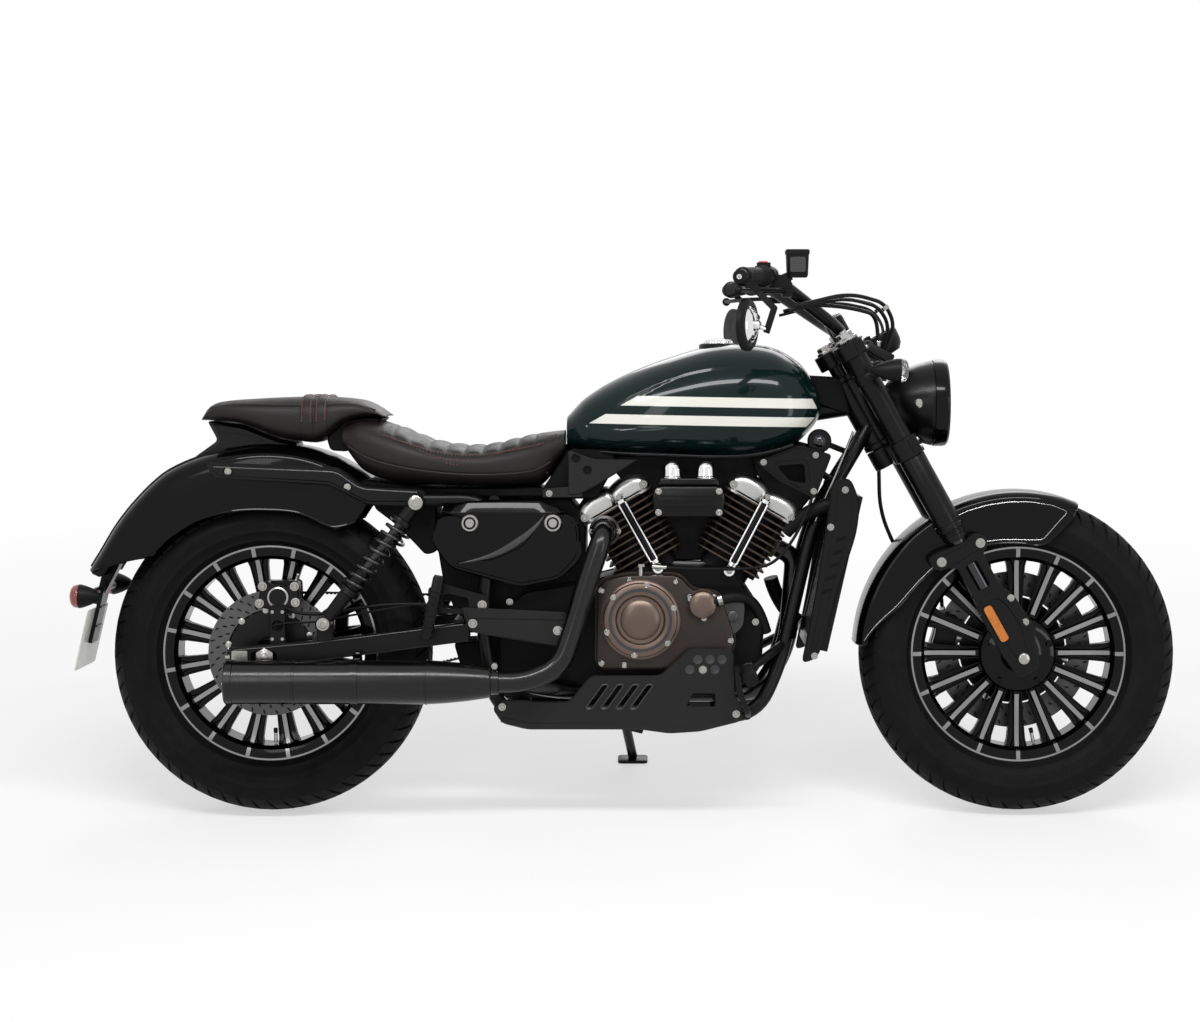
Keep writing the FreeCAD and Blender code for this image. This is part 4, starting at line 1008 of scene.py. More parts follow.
# ------------------------------------------------------------------------------------------------ wheels
@dataclass(frozen=True)
class Tyre:
    """A treaded tyre. Its crown falls away from the middle by a rule that carcass and tread share."""

    centre: Vector
    reach: float
    half: float
    rim_half: float
    groove: float = 5.0
    pitches: int = 30
    moulding_lines: int = 180

    def drop(self, side: float) -> float:
        """Returns how far the crown lies below its middle, at a side from it."""
        across = abs(side) * 75.0 / self.half
        return 9.0 * (across / 44.0) ** 2 + 0.012 * max(across - 44.0, 0.0) ** 2

    def outline(self) -> list[Spot]:
        """Returns the closed section of the carcass, as (reach, side)."""
        half, rim = self.half, self.rim_half
        steps = [half * 0.93 * step / 9 for step in range(10)]
        crown = [(self.reach - self.groove * (1.0 if side < half * 0.8 else 0.5) - self.drop(side), side)
                 for side in steps]
        wall = [(self.reach - 46, half * 0.985), (self.reach - 52, half + 0.9), (self.reach - 56, half + 0.9),
                (self.reach - 58, half), (self.reach - 76, half - 0.6), (238, rim + 19), (230, rim + 15.5),
                (228, rim + 15.5), (225, rim + 11), (219, rim + 4), (215, rim - 3), (204.5, rim - 4)]
        left = crown + wall
        right = [(reach, -side) for reach, side in reversed(left[1:])]
        return right + left

    def block(self, shape: Shape, sides: Spot, arcs: Spot, slant: float) -> None:
        """Adds one tread block, from side to side and from arc to arc, whose ends slant across."""
        rings = []
        for step in range(4):
            side = sides[0] + (sides[1] - sides[0]) * step / 3
            shift = slant * step / 3
            top = self.reach - self.drop(side)
            ring = []
            for arc, reach in ((arcs[0], top - 8), (arcs[1], top - 8), (arcs[1] - 0.8, top),
                               (arcs[0] + 0.8, top)):
                angle = (arc + shift) / self.reach
                ring.append(point(reach * math.cos(angle), side, reach * math.sin(angle)))
            rings.append(ring)
        shape.skin(rings)

    def build(self, shop: Workshop, name: str, body: Body) -> None:
        """Makes the tyre, with its tread, its middle rib and the moulding lines on its walls.

        Args:
            shop: Where it is finished.
            name: The piece's name, and the node that it stands for.
            body: The body that carries it.
        """
        shape = Shape()
        shape.lathe(self.outline(), self.centre, LEFT, segments=144, looped=True)
        rib = [(self.reach + up, side) for up, side in ((-8, -6), (-8, 6), (-0.6, 5), (0, 0), (-0.6, -5))]
        shape.lathe(rib, self.centre, LEFT, segments=144, looped=True)
        pitch = math.tau * self.reach / self.pitches
        tread = Shape()
        for side in SIDES:
            inner, middle, outer = (side * self.half * share for share in (0.13, 0.47, 0.9))
            for start in (0.0, pitch / 2):
                self.block(tread, (inner, middle - side * 2), (start, start + pitch / 2 - 5), 16.0)
                self.block(tread, (middle + side * 2.5, outer), (start + 14, start + 14 + pitch / 2 - 6), -15.0)
        shop.ringed(shape, tread, self.pitches, self.centre, 0, Finishes.TYRE)
        for side in SIDES:
            line = Shape()
            line.box((6.0, 1.0, 0.9), point(self.reach - 66, side * (self.half - 0.15), 0))
            shop.ringed(shape, line, self.moulding_lines, self.centre, 0, Finishes.TYRE)
        shop.finished(name, shape, body, "tyre", Finishes.TYRE, stands_for=name, crease=30)


@dataclass(frozen=True)
class Wheel:
    """A cast wheel: rim, sixteen spokes with machined edges, and hub."""

    name: str
    body: Body
    centre: Vector
    rim_half: float
    first_turn: float
    hub_half: float = 62.0
    spokes: int = 16
    section: tuple[tuple[float, float, float], ...] = (
        (60, 12, 26), (84, 8.2, 20), (118, 6.3, 17), (158, 6.1, 16.5), (174, 7.4, 17), (188, 13, 20))

    def rim(self, shape: Shape) -> None:
        """Adds the rim with its drop centre, its flanges and the machined ring on each flange."""
        half = self.rim_half
        edge = [(188.5, half - 13), (196, half - 2.5), (206, half), (217, half), (219.5, half - 1.6),
                (219, half - 4.2), (214, half - 6), (205, half - 7.5), (203.5, half - 13), (199, half - 21),
                (193, half - 26)]
        loop = edge + [(reach, -side) for reach, side in reversed(edge)]
        shape.lathe(loop, self.centre, LEFT, 0, 120, looped=True)
        for side in SIDES:
            bright = [(213.4, half + 0.35), (217, half + 0.35), (219.9, half - 1.6), (219.6, half - 3),
                      (213.4, half - 2)]
            shape.lathe([(reach, side * y) for reach, y in bright], self.centre, LEFT, 1, 120, looped=True)

    def spoke(self) -> Shape:
        """Returns one spoke along x from the axle, with its long edges chamfered."""
        shape, chamfer = Shape(), 2.4
        rings = []
        for reach, wide, deep in self.section:
            corners = ((wide - chamfer, deep), (wide, deep - chamfer))
            ring = []
            for over, across in ((1, 1), (1, -1), (-1, -1), (-1, 1)):
                pair = corners if over * across > 0 else corners[::-1]
                ring += [point(reach, y * across, z * over) for z, y in pair]
            rings.append(ring)
        shape.skin(rings)
        return shape

    def flanks(self) -> Shape:
        """Returns a spoke's two thin flanks and the web between them, widening to the rim."""
        shape = Shape()
        table = ((62, 12.0, 13.0), (84, 12.2, 11.0), (118, 14.2, 10.0), (150, 16.4, 10.0), (176, 18.6, 12.0),
                 (188, 21.5, 16.0), (195, 25.0, self.rim_half - 8.0))
        shape.skin([[point(reach, y * (deep - 4), z * wide) for z, y in ((1, 1), (-1, 1), (-1, -1), (1, -1))]
                    for reach, wide, deep in table])
        web = ((-0.8, 1), (-3.2, 1), (-4, 0.9), (-4, -0.9), (-3.2, -1), (-0.8, -1), (0, -0.9), (0, 0.9))
        for side in SIDES:
            shape.skin([[point(reach, y * deep, side * (wide + z)) for z, y in web]
                        for reach, wide, deep in table])
        return shape

    def machined_edges(self) -> Shape:
        """Returns the bright line that the cutter leaves along each face of a spoke, out to the rim."""
        shape = Shape()
        for across in SIDES:
            rings = []
            half = self.rim_half
            for reach, _, deep in (*self.section[1:], (190, 0, half - 12), (196, 0, half - 2),
                                   (206, 0, half + 0.2), (213, 0, half + 0.2)):
                line = 4.4 if reach < 180 else 4.0
                spots = ((line, deep - 1), (line, deep + 0.25), (-line, deep + 0.25), (-line, deep - 1))
                rings.append([point(reach, y * across, z) for z, y in spots])
            shape.skin(rings)
        return shape

    def hub(self, shape: Shape, shop: Workshop) -> None:
        """Adds the turned hub, with its bearing seals and a ring of carrier bolts."""
        end = self.hub_half
        left = [(78, 30), (74, 35), (58, 38), (52, 42), (36, 44), (34, 50), (34, end - 5), (31, end - 1),
                (21, end - 1), (20, end - 3), (13, end - 3)]
        shape.lathe([(reach, -side) for reach, side in reversed(left)] + left, self.centre, LEFT, 0, 64)
        for side in SIDES:
            heads = [about(self.centre, angle + 18, 66, side * 36) for angle in range(0, 360, 72)]
            shop.bolts(shape, heads, LEFT * side, 5.2, 0, Finishes.GLOSS_BLACK, 4.5)

    def valve(self, shape: Shape) -> None:
        """Adds the tyre valve on the inner barrel."""
        start = about(self.centre, math.degrees(self.first_turn) + 11, 187, -6)
        way = (self.centre - start).normalized()
        shape.rod(start, start + way * 20, 3.6, 2, 12, 0.6)
        shape.rod(start + way * 20, start + way * 30, 4.4, 3, 12, 0.8)

    def build(self, shop: Workshop, stands_for: str) -> None:
        """Makes the wheel."""
        shape = Shape()
        self.rim(shape)
        shop.ringed(shape, self.spoke(), self.spokes, self.centre, 0, Finishes.GLOSS_BLACK, self.first_turn)
        shop.ringed(shape, self.flanks(), self.spokes, self.centre, 0, Finishes.GLOSS_BLACK, self.first_turn)
        shop.ringed(shape, self.machined_edges(), self.spokes, self.centre, 1, Finishes.MACHINED,
                    self.first_turn)
        self.hub(shape, shop)
        self.valve(shape)
        shop.finished(self.name, shape, self.body, "satin_black", Finishes.GLOSS_BLACK, Finishes.MACHINED,
                      Finishes.BOLT, Finishes.PLASTIC, stands_for=stands_for, crease=32)


@dataclass(frozen=True)
class Disc:
    """A brake disc: a slotted steel band on a dark carrier with rivets."""

    centre: Vector
    inner: float
    outer: float
    side: Spot
    columns: int = 36
    rows: int = 3
    slot: Spot = (2.2, 5.0)
    hub: float = 34.0
    rivets: int = 10

    def column(self) -> Shape:
        """Returns one column of the band, with a slanted slot in every tile."""
        shape = Shape()
        step = (self.outer - self.inner) / self.rows
        compass = ((1, 0), (1, 1), (0, 1), (-1, 1), (-1, 0), (-1, -1), (0, -1), (1, -1))
        near, far = self.side
        for row in range(self.rows):
            low = self.inner + row * step
            middle, turned = low + step / 2, math.pi / self.columns * row
            edge, slot = [], []
            for index, (across, up) in enumerate(compass):
                angle = math.tau * index / 8
                edge.append((turned + across * math.pi / self.columns, middle + up * step / 2))
                rise = self.slot[1] * math.sin(angle)
                over = (self.slot[0] * math.cos(angle) + rise * 0.45) / middle
                slot.append((turned + over, middle + rise))
            rings = []
            for spots, y in ((edge, near), (slot, near), (slot, far), (edge, far)):
                rings.append([point(math.cos(angle) * reach, y, math.sin(angle) * reach)
                              for angle, reach in spots])
            shape.skin(rings, looped=row in (0, self.rows - 1), caps=False)
        return shape

    def build(self, shop: Workshop, name: str, body: Body) -> None:
        """Makes the disc, its carrier and the rivets between them.

        Args:
            shop: Where it is finished.
            name: The piece's name, and the node that it stands for.
            body: The body that carries it.
        """
        shape = Shape()
        shop.ringed(shape, self.column(), self.columns, self.centre, 0, Finishes.STEEL)
        (near, far), hub, inner, outer = self.side, self.hub, self.inner, self.outer
        middle = (near + far) / 2
        carrier = ((hub, near - 1), (hub, far + 1), (hub + 20, far + 1.5), (inner - 3, far - 0.6),
                   (inner - 3, near + 0.6), (hub + 20, near - 1.5))
        core = ((inner + 3, middle - 0.4), (inner + 3, middle + 0.4), (outer - 3, middle + 0.4),
                (outer - 3, middle - 0.4))
        for outline in (carrier, core):
            shape.lathe(outline, self.centre, LEFT, 1, 72, looped=True)
        rivet = Shape()
        rivet.lathe([(4, near - 1.8), (6.5, near - 1.2), (6.5, far + 1.2), (4, far + 1.8)],
                    point(inner - 1.5, 0, 0), LEFT, 0, 16)
        shop.ringed(shape, rivet, self.rivets, self.centre, 2, Finishes.BOLT, 0.2)
        shop.finished(name, shape, body, "steel", Finishes.STEEL, Finishes.SATIN_BLACK, Finishes.BOLT,
                      stands_for=name, crease=30)


@dataclass(frozen=True)
class Pulley:
    """The rear pulley: a web with round pockets, a toothed rim and a guide lip."""

    near: float = 77.0
    far: float = 93.0
    teeth: int = 68
    pockets: int = 10

    def build(self, shop: Workshop) -> None:
        """Makes the pulley."""
        centre, near, far = shop.size.rear_axle, self.near, self.far
        shape = Shape()
        shape.lathe([(96, near), (105, near), (105, far - 2), (108, far - 2), (108, far), (96, far)], centre,
                    LEFT, 0, 96, looped=True)
        shape.lathe([(34, near + 2), (34, far - 2), (97, far - 5), (97, near + 5)], centre, LEFT, 0, 72,
                    looped=True)
        tooth = Shape()
        tooth.box((4, 14, 4.6), point(105.6, near + 7, 0))
        shop.ringed(shape, tooth, self.teeth, centre, 0, Finishes.GREY)
        pocket = Shape()
        pocket.lathe([(0, 89.4), (9, 89.4), (12, 90.2), (12, 88), (0, 88)], point(66, 0, 0), LEFT, 0, 20)
        shop.ringed(shape, pocket, self.pockets, centre, 1, Finishes.SATIN_BLACK)
        bolts = [about(centre, angle, 46, far - 2) for angle in range(0, 360, 72)]
        shop.bolts(shape, bolts, LEFT, 6, 2, Finishes.BOLT)
        shop.finished("rear_pulley_toothed", shape, Body.REAR_WHEEL, "steel", Finishes.GREY,
                      Finishes.SATIN_BLACK, Finishes.BOLT, stands_for="rear_pulley")


class Wheels:
    """Both wheels, with their tyres, discs and the pulley."""

    def build(self, shop: Workshop) -> None:
        """Makes them, the front one of each pair first."""
        front, rear = shop.size.front_axle, shop.size.rear_axle
        Tyre(front, reach=320.0, half=65.0, rim_half=43.0).build(shop, "front_tyre", Body.FRONT_WHEEL)
        Tyre(rear, reach=323.0, half=75.0, rim_half=49.5).build(shop, "rear_tyre", Body.REAR_WHEEL)
        Wheel("front_rim_cast", Body.FRONT_WHEEL, front, rim_half=43.0,
              first_turn=-math.pi / 2).build(shop, "front_rim")
        Wheel("rear_rim_cast", Body.REAR_WHEEL, rear, rim_half=49.5,
              first_turn=-math.radians(99.7)).build(shop, "rear_rim")
        Disc(front, inner=112.0, outer=160.0, side=(50.0, 55.0)).build(shop, "front_disc", Body.FRONT_WHEEL)
        Disc(rear, inner=88.0, outer=126.0, side=(-50.0, -45.0),
             columns=30).build(shop, "rear_disc", Body.REAR_WHEEL)
        Pulley().build(shop)


# ------------------------------------------------------------------------------------------------ bodywork
@dataclass(frozen=True)
class Fender:
    """A pressed fender about an axle, read smoothly from a short table of (angle, crown, edge)."""

    centre: Vector
    table: tuple[tuple[float, float, float], ...]
    half: float
    thick: float = 3.0
    shoulder: float = 22.0

    def section(self, degrees: float, grown: float = 0.0) -> list[Vector]:
        """Returns the outer line of the section at an angle, from the left edge to the right one."""
        crown, edge = eased(self.table, degrees)
        half = self.half + grown
        drop = self.shoulder
        line = [(half, edge), (half, (edge + crown - drop) / 2 + 1), (half - 0.2, crown - drop - 3)]
        for step in range(1, 7):
            angle = math.pi / 2 * step / 6
            line.append((half - 0.42 * half * (1 - math.cos(angle)),
                         crown - drop + (drop - 1.5) * math.sin(angle)))
        line.append((half * 0.28, crown - 0.3))
        full = line + [(-side, reach) for side, reach in reversed(line)]
        return [about(self.centre, degrees, reach + grown, side) for side, reach in full]

    def build(self, shape: Shape, steps: int = 64, finish: int = 0) -> None:
        """Adds the pressing, with a rolled bead along each edge."""
        start, end = self.table[0][0], self.table[-1][0]
        rings = []
        for step in range(steps + 1):
            degrees = start + (end - start) * step / steps
            rings.append(self.section(degrees) + list(reversed(self.section(degrees, -self.thick))))
        shape.skin(rings, finish)
        for place in (0, -1):
            bead = [self.section(start + (end - start) * step / 24)[place] for step in range(25)]
            shape.tube([spot - LEFT * (1 if spot.y > 0 else -1) * 1.5 for spot in bead], 2.6, finish, 8)
        for degrees in (start, end):
            shape.tube(self.section(degrees, -1.5), 2.6, finish, 8)

    def band(self, shape: Shape, half: float, span: Spot, rise: float, finish: int = 0) -> None:
        """Adds the raised band that runs round the crown."""
        rings = []
        for step in range(41):
            degrees = span[0] + (span[1] - span[0]) * step / 40
            crown = eased(self.table, degrees)[0]
            line = [(half, -2), (half - 3, rise * 0.8), (half - 8, rise), (-half + 8, rise),
                    (-half + 3, rise * 0.8), (-half, -2)]
            rings.append([about(self.centre, degrees, crown + up - 0.4 * (abs(side) / half), side)
                          for side, up in line])
        shape.skin(rings, finish)


@dataclass(frozen=True)
class Fenders:
    """Both fenders, each by its (angle, crown, edge) table, with thin bright lines along the front one's edges
    that paint the edges' highlights.
    """

    front: tuple[tuple[float, float, float], ...] = (
        (69, 329, 300), (76, 331, 232), (90, 332, 227), (105, 332, 232), (118, 332, 238), (131, 332, 244),
        (144, 332, 250), (158, 332, 262), (168, 332, 296), (176, 332, 318))
    rear: tuple[tuple[float, float, float], ...] = (
        (57, 395, 318), (62, 404, 288), (77, 417, 293), (90, 420, 292), (100.6, 420, 296), (119, 422, 306),
        (125, 417, 306), (131, 411, 308), (140, 404, 309), (148, 399, 353), (154.6, 401, 388))
    stay_edge_highlight: tuple[Spot, ...] = ((124, 306), (118, 309), (110, 310), (102, 310), (94, 310), (86, 310),
                                   (78, 309), (71.8, 305), (73.6, 285), (76, 262), (79, 238), (84, 234),
                                   (92, 234), (100, 237), (108, 241), (114, 245))
    skirt_edge_highlight: tuple[Spot, ...] = ((174.5, 316), (168, 300), (160, 271), (152, 260), (142, 254), (131, 250))

    def build(self, shop: Workshop) -> None:
        """Makes both fenders."""
        axle = shop.size.front_axle
        shape = Shape()
        Fender(axle, self.front, 77.5, shoulder=18.0).build(shape, 72)
        for side in SIDES:
            # Thin bright alloy lines along the fender's edges: painted highlights that the edges catch.
            for table, out, bend in ((self.stay_edge_highlight, 78.3, 8), (self.skirt_edge_highlight, 78.1, 0)):
                shape.tube([about(axle, angle, reach, side * out) for angle, reach in table], 0.9, 1, 8, bend)
            heads = [shop.size.on_fork(along, side * 78, ahead) for along, ahead in ((232, 20), (236, -40))]
            shop.bolts(shape, heads, LEFT * side, 5.5, 2, Finishes.BOLT)
        shop.finished("front_fender_pressed", shape, Body.STEERING, "black_paint", Finishes.GLOSS_BLACK,
                      Finishes.MACHINED, Finishes.BOLT, stands_for="front_fender", crease=34)
        rear = Fender(shop.size.rear_axle, self.rear, 100, shoulder=30.0)
        shape = Shape()
        rear.build(shape, 80)
        rear.band(shape, 62, (60, 154), 3.0)
        shop.finished("rear_fender_pressed", shape, Body.CHASSIS, "black_paint", Finishes.GLOSS_BLACK,
                      stands_for="rear_fender", crease=34)


@dataclass(frozen=True)
class Hull:
    """A long form read smoothly from a table of (x, bottom, top, half width, widest z)."""

    table: tuple[tuple[float, ...], ...]
    power: float = 0.75
    flat: float = 1.0

    def ring(self, x: float, corners: int = 48, grown: float = 0.0) -> list[Vector]:
        """Returns the section at x, as a squared oval that is wider above or below its middle."""
        bottom, top, half, widest = eased(self.table, x)
        ring = []
        for index in range(corners):
            angle = math.tau * index / corners
            over, up = math.cos(angle), math.sin(angle)
            height = (top - widest) if up >= 0 else (widest - bottom) * self.flat
            side = math.copysign(abs(over) ** self.power, over) * (half + grown)
            z = widest + math.copysign(abs(up) ** self.power, up) * (height + grown)
            ring.append(point(x, side, z))
        return ring

    def rings(self, steps: int, corners: int = 48, grown: float = 0.0) -> list[list[Vector]]:
        """Returns sections from end to end, close together where the ends round off."""
        start, end = self.table[0][0], self.table[-1][0]
        rings = []
        for step in range(steps + 1):
            share = (1 - math.cos(math.pi * step / steps)) / 2
            rings.append(self.ring(start + (end - start) * share, corners, grown))
        return rings

    def top_line(self, start: float, end: float, side: float, steps: int, rise: float = 0.0) -> list[Vector]:
        """Returns a line along the top at a share of the half width."""
        line = []
        for step in range(steps + 1):
            x = start + (end - start) * step / steps
            _, top, half, widest = eased(self.table, x)
            up = (1 - abs(side) ** (2 / self.power)) ** (self.power / 2)
            line.append(point(x, side * half, widest + (top - widest) * up + rise))
        return line

    def side_line(self, spots: Sequence[Spot], side: float, rise: float = 0.5) -> list[Vector]:
        """Returns a line over one side through (x, z) places."""
        line = []
        for x, z in spots:
            bottom, top, half, widest = eased(self.table, x)
            up = (z - widest) / (top - widest if z > widest else (widest - bottom) * self.flat)
            over = (1 - min(abs(up), 0.999) ** (2 / self.power)) ** (self.power / 2)
            line.append(point(x, side * (half * over + rise), z))
        return line


@dataclass(frozen=True)
class FuelTank:
    """The tank, with its stripes, the shallow panel pressed in each side, its seam welt and its flush cap."""

    hull: Hull = Hull(((-157, 738, 800, 63, 764), (-120, 728, 838, 93, 772), (-50, 722, 880, 120, 782),
                       (50, 720, 920, 141, 796), (150, 715, 945, 150, 806), (250, 722, 942, 147, 814),
                       (310, 748, 912, 129, 820), (342, 780, 872, 99, 824), (354, 800, 848, 69, 824)), 0.8)
    panel: tuple[tuple[float, float, float], ...] = (
        (-125, 787, 788), (-110, 775, 794), (-60, 771.5, 823), (-16, 773, 847), (56, 775.5, 880),
        (112, 778, 896), (181, 780, 903), (247, 784, 891), (310, 790, 868))
    panel_depth: float = 3.6
    cap: Vector = field(default_factory=lambda: point(150.0, 0.0, 934.0))
    grips: int = 28

    def build(self, shop: Workshop) -> None:
        """Makes the tank and its cap."""
        shape = Shape()
        rings = self.hull.rings(150, 144)
        for ring in rings:
            if self.panel[0][0] < ring[0].x < self.panel[-1][0]:
                self.press(ring)
        shape.skin(rings)
        for side in SIDES:
            welt = []
            for x in (-118, -60, 0, 80, 160, 240, 296):
                bottom, _, half, _ = eased(self.hull.table, x)
                welt.append(point(x, side * (half * 0.8), bottom + 5))
            shape.tube(welt, 4.0, 1, 10)
        shop.finished("fuel_tank_pressed", shape, Body.CHASSIS, "green_paint", Finishes.ENAMEL,
                      Finishes.SATIN_BLACK, stands_for="fuel_tank", crease=50)
        self.filler(shop)

    def press(self, ring: Sequence[Vector]) -> None:
        """Presses the side panel into a section, less and less towards the tank's nose."""
        low, high = eased(self.panel, ring[0].x)
        fade = min(max((260 - ring[0].x) / 140, 0.0), 1.0)
        for spot in ring:
            inside = min(max(min(spot.z - low, high - spot.z) / 7, 0.0), 1.0)
            spot.y -= math.copysign(self.panel_depth * fade * inside * inside * (3 - 2 * inside), spot.y)

    def filler(self, shop: Workshop) -> None:
        """Makes the cap: a bolted ring, a knurled edge and a handle."""
        cap = Shape()
        cap.lathe([(40, 0), (40, 10), (37, 13.5), (30, 14.5), (29, 12.5)], self.cap, UP, 0, 56)
        cap.lathe([(27.5, 10), (27.5, 19), (25, 22), (20, 23), (6, 23.2)], self.cap, UP, 1, 56)
        for index in range(self.grips):
            grip = about(Vector(), 360 / self.grips * index, 27.3)
            cap.rod(point(grip.x, grip.z, 10) + self.cap, point(grip.x, grip.z, 18.5) + self.cap, 1.5, 1, 8)
        cap.box((26, 6, 2.2), self.cap + UP * 23.6, None, 1)
        heads = [self.cap + point(33.5 * math.cos(angle), 33.5 * math.sin(angle), 13)
                 for angle in (0.5, 1.55, 2.6, 3.64, 4.69, 5.74)]
        shop.bolts(cap, heads, UP, 2.4, 2, Finishes.BOLT, 1.8)
        shop.finished("fuel_cap_turned", cap, Body.CHASSIS, "chrome", Finishes.SATIN_BLACK, Finishes.CHROME,
                      Finishes.BOLT, stands_for="fuel_cap")


def stitched(shop: Workshop, shape: Shape, line: Sequence[Vector], facing: Vector,
             spacing: float = 7.0) -> None:
    """Adds a row of raised stitches along a line, in the shape's first finish."""
    stitch = Shape()
    stitch.lathe([(0.4, -2.4), (1.1, -1.6), (1.25, 0), (1.1, 1.6), (0.4, 2.4)], Vector(), FORWARD, 0, 8)
    shop.trailed(shape, stitch, smooth_line(line), spacing, facing, 0, Finishes.THREAD)


@dataclass(frozen=True)
class RiderSeat:
    """The rider's seat: nine cross ribs between two sewn seams, stitched sides and a piped edge."""

    hull: Hull = Hull((
        (-603, 738, 784, 111, 760), (-565, 690, 797, 135, 745), (-500, 668, 780, 150, 725),
        (-420, 662, 750, 150, 708), (-330, 660, 742, 142.5, 700), (-240, 659, 760, 114, 706),
        (-205, 664, 767, 96, 715), (-162, 722, 772, 69, 745)), 0.7)
    first_channel: float = -502.0
    pitch: float = 35.7
    channels: int = 9
    side_seams: tuple[tuple[Spot, ...], ...] = (
        ((-509, 780), (-469, 746), (-429, 724), (-376, 713), (-322, 713), (-262, 738), (-180, 764)),
        ((-392, 709), (-330, 700), (-262, 693), (-196, 688)))

    def shaped(self, spot: Vector) -> float:
        """Returns how far the padding stands up at a place: domed over a rib, sunk at a channel or a seam."""
        _, _, half, widest = eased(self.hull.table, spot.x)
        if spot.z <= widest:
            return 0.0
        rise = 0.0
        channels = [self.first_channel + self.pitch * index for index in range(self.channels)]
        if abs(spot.y) < half * 0.86 and channels[0] < spot.x < channels[-1]:
            near = min(abs(spot.x - channel) for channel in channels)
            rise = 6.0 * math.sqrt(max(1 - ((self.pitch / 2 - near) / 18.2) ** 2, 0.0)) - 4.6
        seam = abs(abs(spot.y) - half * 0.89)
        if spot.z + rise > widest and seam < 5 and -530 < spot.x < -200:
            rise -= 2.6 * (1 - seam / 5)
        return rise

    def build(self, shop: Workshop) -> None:
        """Makes the cushion, then its stitches and piping."""
        shape = Shape()
        rings = self.hull.rings(150, 64)
        for ring in rings:
            for spot in ring:
                spot.z += self.shaped(spot)
        shape.skin(rings)
        seat = shop.finished("rider_seat_cushion", shape, Body.CHASSIS, "seat_leather", Finishes.LEATHER,
                             stands_for="rider_seat", crease=180, levels=1)
        trim = Shape()
        for side in SIDES:
            stitched(shop, trim, self.hull.top_line(-522, -205, side * 0.915, 22, 0.6), UP)
            for seam in self.side_seams:
                stitched(shop, trim, self.hull.side_line(seam, side), LEFT * side)
            piping = []
            for x in range(-590, -165, 25):
                bottom, _, half, widest = eased(self.hull.table, x)
                piping.append(point(x, side * (half + 1.0), widest - (widest - bottom) * 0.35))
            trim.tube(piping, 2.6, 1, 10)
        shop.finished("rider_seat_stitching", trim, Body.CHASSIS, "seat_leather", Finishes.THREAD,
                      Finishes.LEATHER)


@dataclass(frozen=True)
class PassengerPad:
    """The passenger's pad: a crowned cushion with a strap over it, rows of stitches and piped shoulders."""

    start: float = -890.0
    length: float = 370.0
    half: float = 112.0
    top: tuple[Spot, ...] = ((-890, 800), (-877, 820), (-856, 830), (-790, 836), (-700, 840), (-640, 840),
                             (-573, 833), (-545, 821), (-520, 804))
    base: tuple[Spot, ...] = ((-890, 793), (-811, 786), (-740, 759), (-700, 751), (-651, 750), (-603, 786),
                              (-562, 799), (-520, 801))
    strap_edges: Spot = (-688.0, -659.0)
    corners: int = 56

    def ring(self, x: float, grown: float = 0.0) -> list[Vector]:
        """Returns the section at x, a squared oval with softened shoulders."""
        top, base = eased(self.top, x)[0] + grown, eased(self.base, x)[0]
        half = self.half * (1 - abs(2 * (x - self.start) / self.length - 1) ** 5 * 0.32) + grown
        ring = []
        for index in range(self.corners):
            over, up = math.cos(math.tau * index / self.corners), math.sin(math.tau * index / self.corners)
            softened = 3.5 * abs(over) ** 3 if up > 0 else 0.0
            rise = math.copysign(abs(up) ** 0.6, up) * (top - base) / 2
            ring.append(point(x, math.copysign(abs(over) ** 0.5, over) * half, (top + base) / 2 + rise
                              - softened))
        return ring

    def build(self, shop: Workshop) -> None:
        """Makes the cushion, then its strap, stitches and piping."""
        shape = Shape()
        places = [self.start + self.length * (1 - math.cos(math.pi * step / 60)) / 2 for step in range(61)]
        shape.skin([self.ring(x) for x in places])
        pad = shop.finished("passenger_pad_cushion", shape, Body.CHASSIS, "seat_leather", Finishes.LEATHER,
                            stands_for="passenger_pad", crease=180, levels=1)
        trim = Shape()
        for edge in self.strap_edges:
            trim.skin([self.ring(edge + along, up) for along, up in
                       ((-0.5, -1.0), (0, 1.8), (3, 3.0), (22, 3.0), (25, 1.8), (25.5, -1.0))], 1)
        for x in (-684, -667, -655, -638):
            line = [spot + UP * 0.4 for spot in self.ring(x, 3.0) if spot.z > 790]
            line.sort(key=lambda spot: spot.y)
            stitched(shop, trim, line, UP, 6.0)
        for shoulder in (5, 23):
            trim.tube([self.ring(x)[shoulder] for x in range(-870, -530, 30)], 2.4, 1, 10)
        shop.finished("passenger_pad_strap", trim, Body.CHASSIS, "seat_leather", Finishes.THREAD,
                      Finishes.LEATHER)


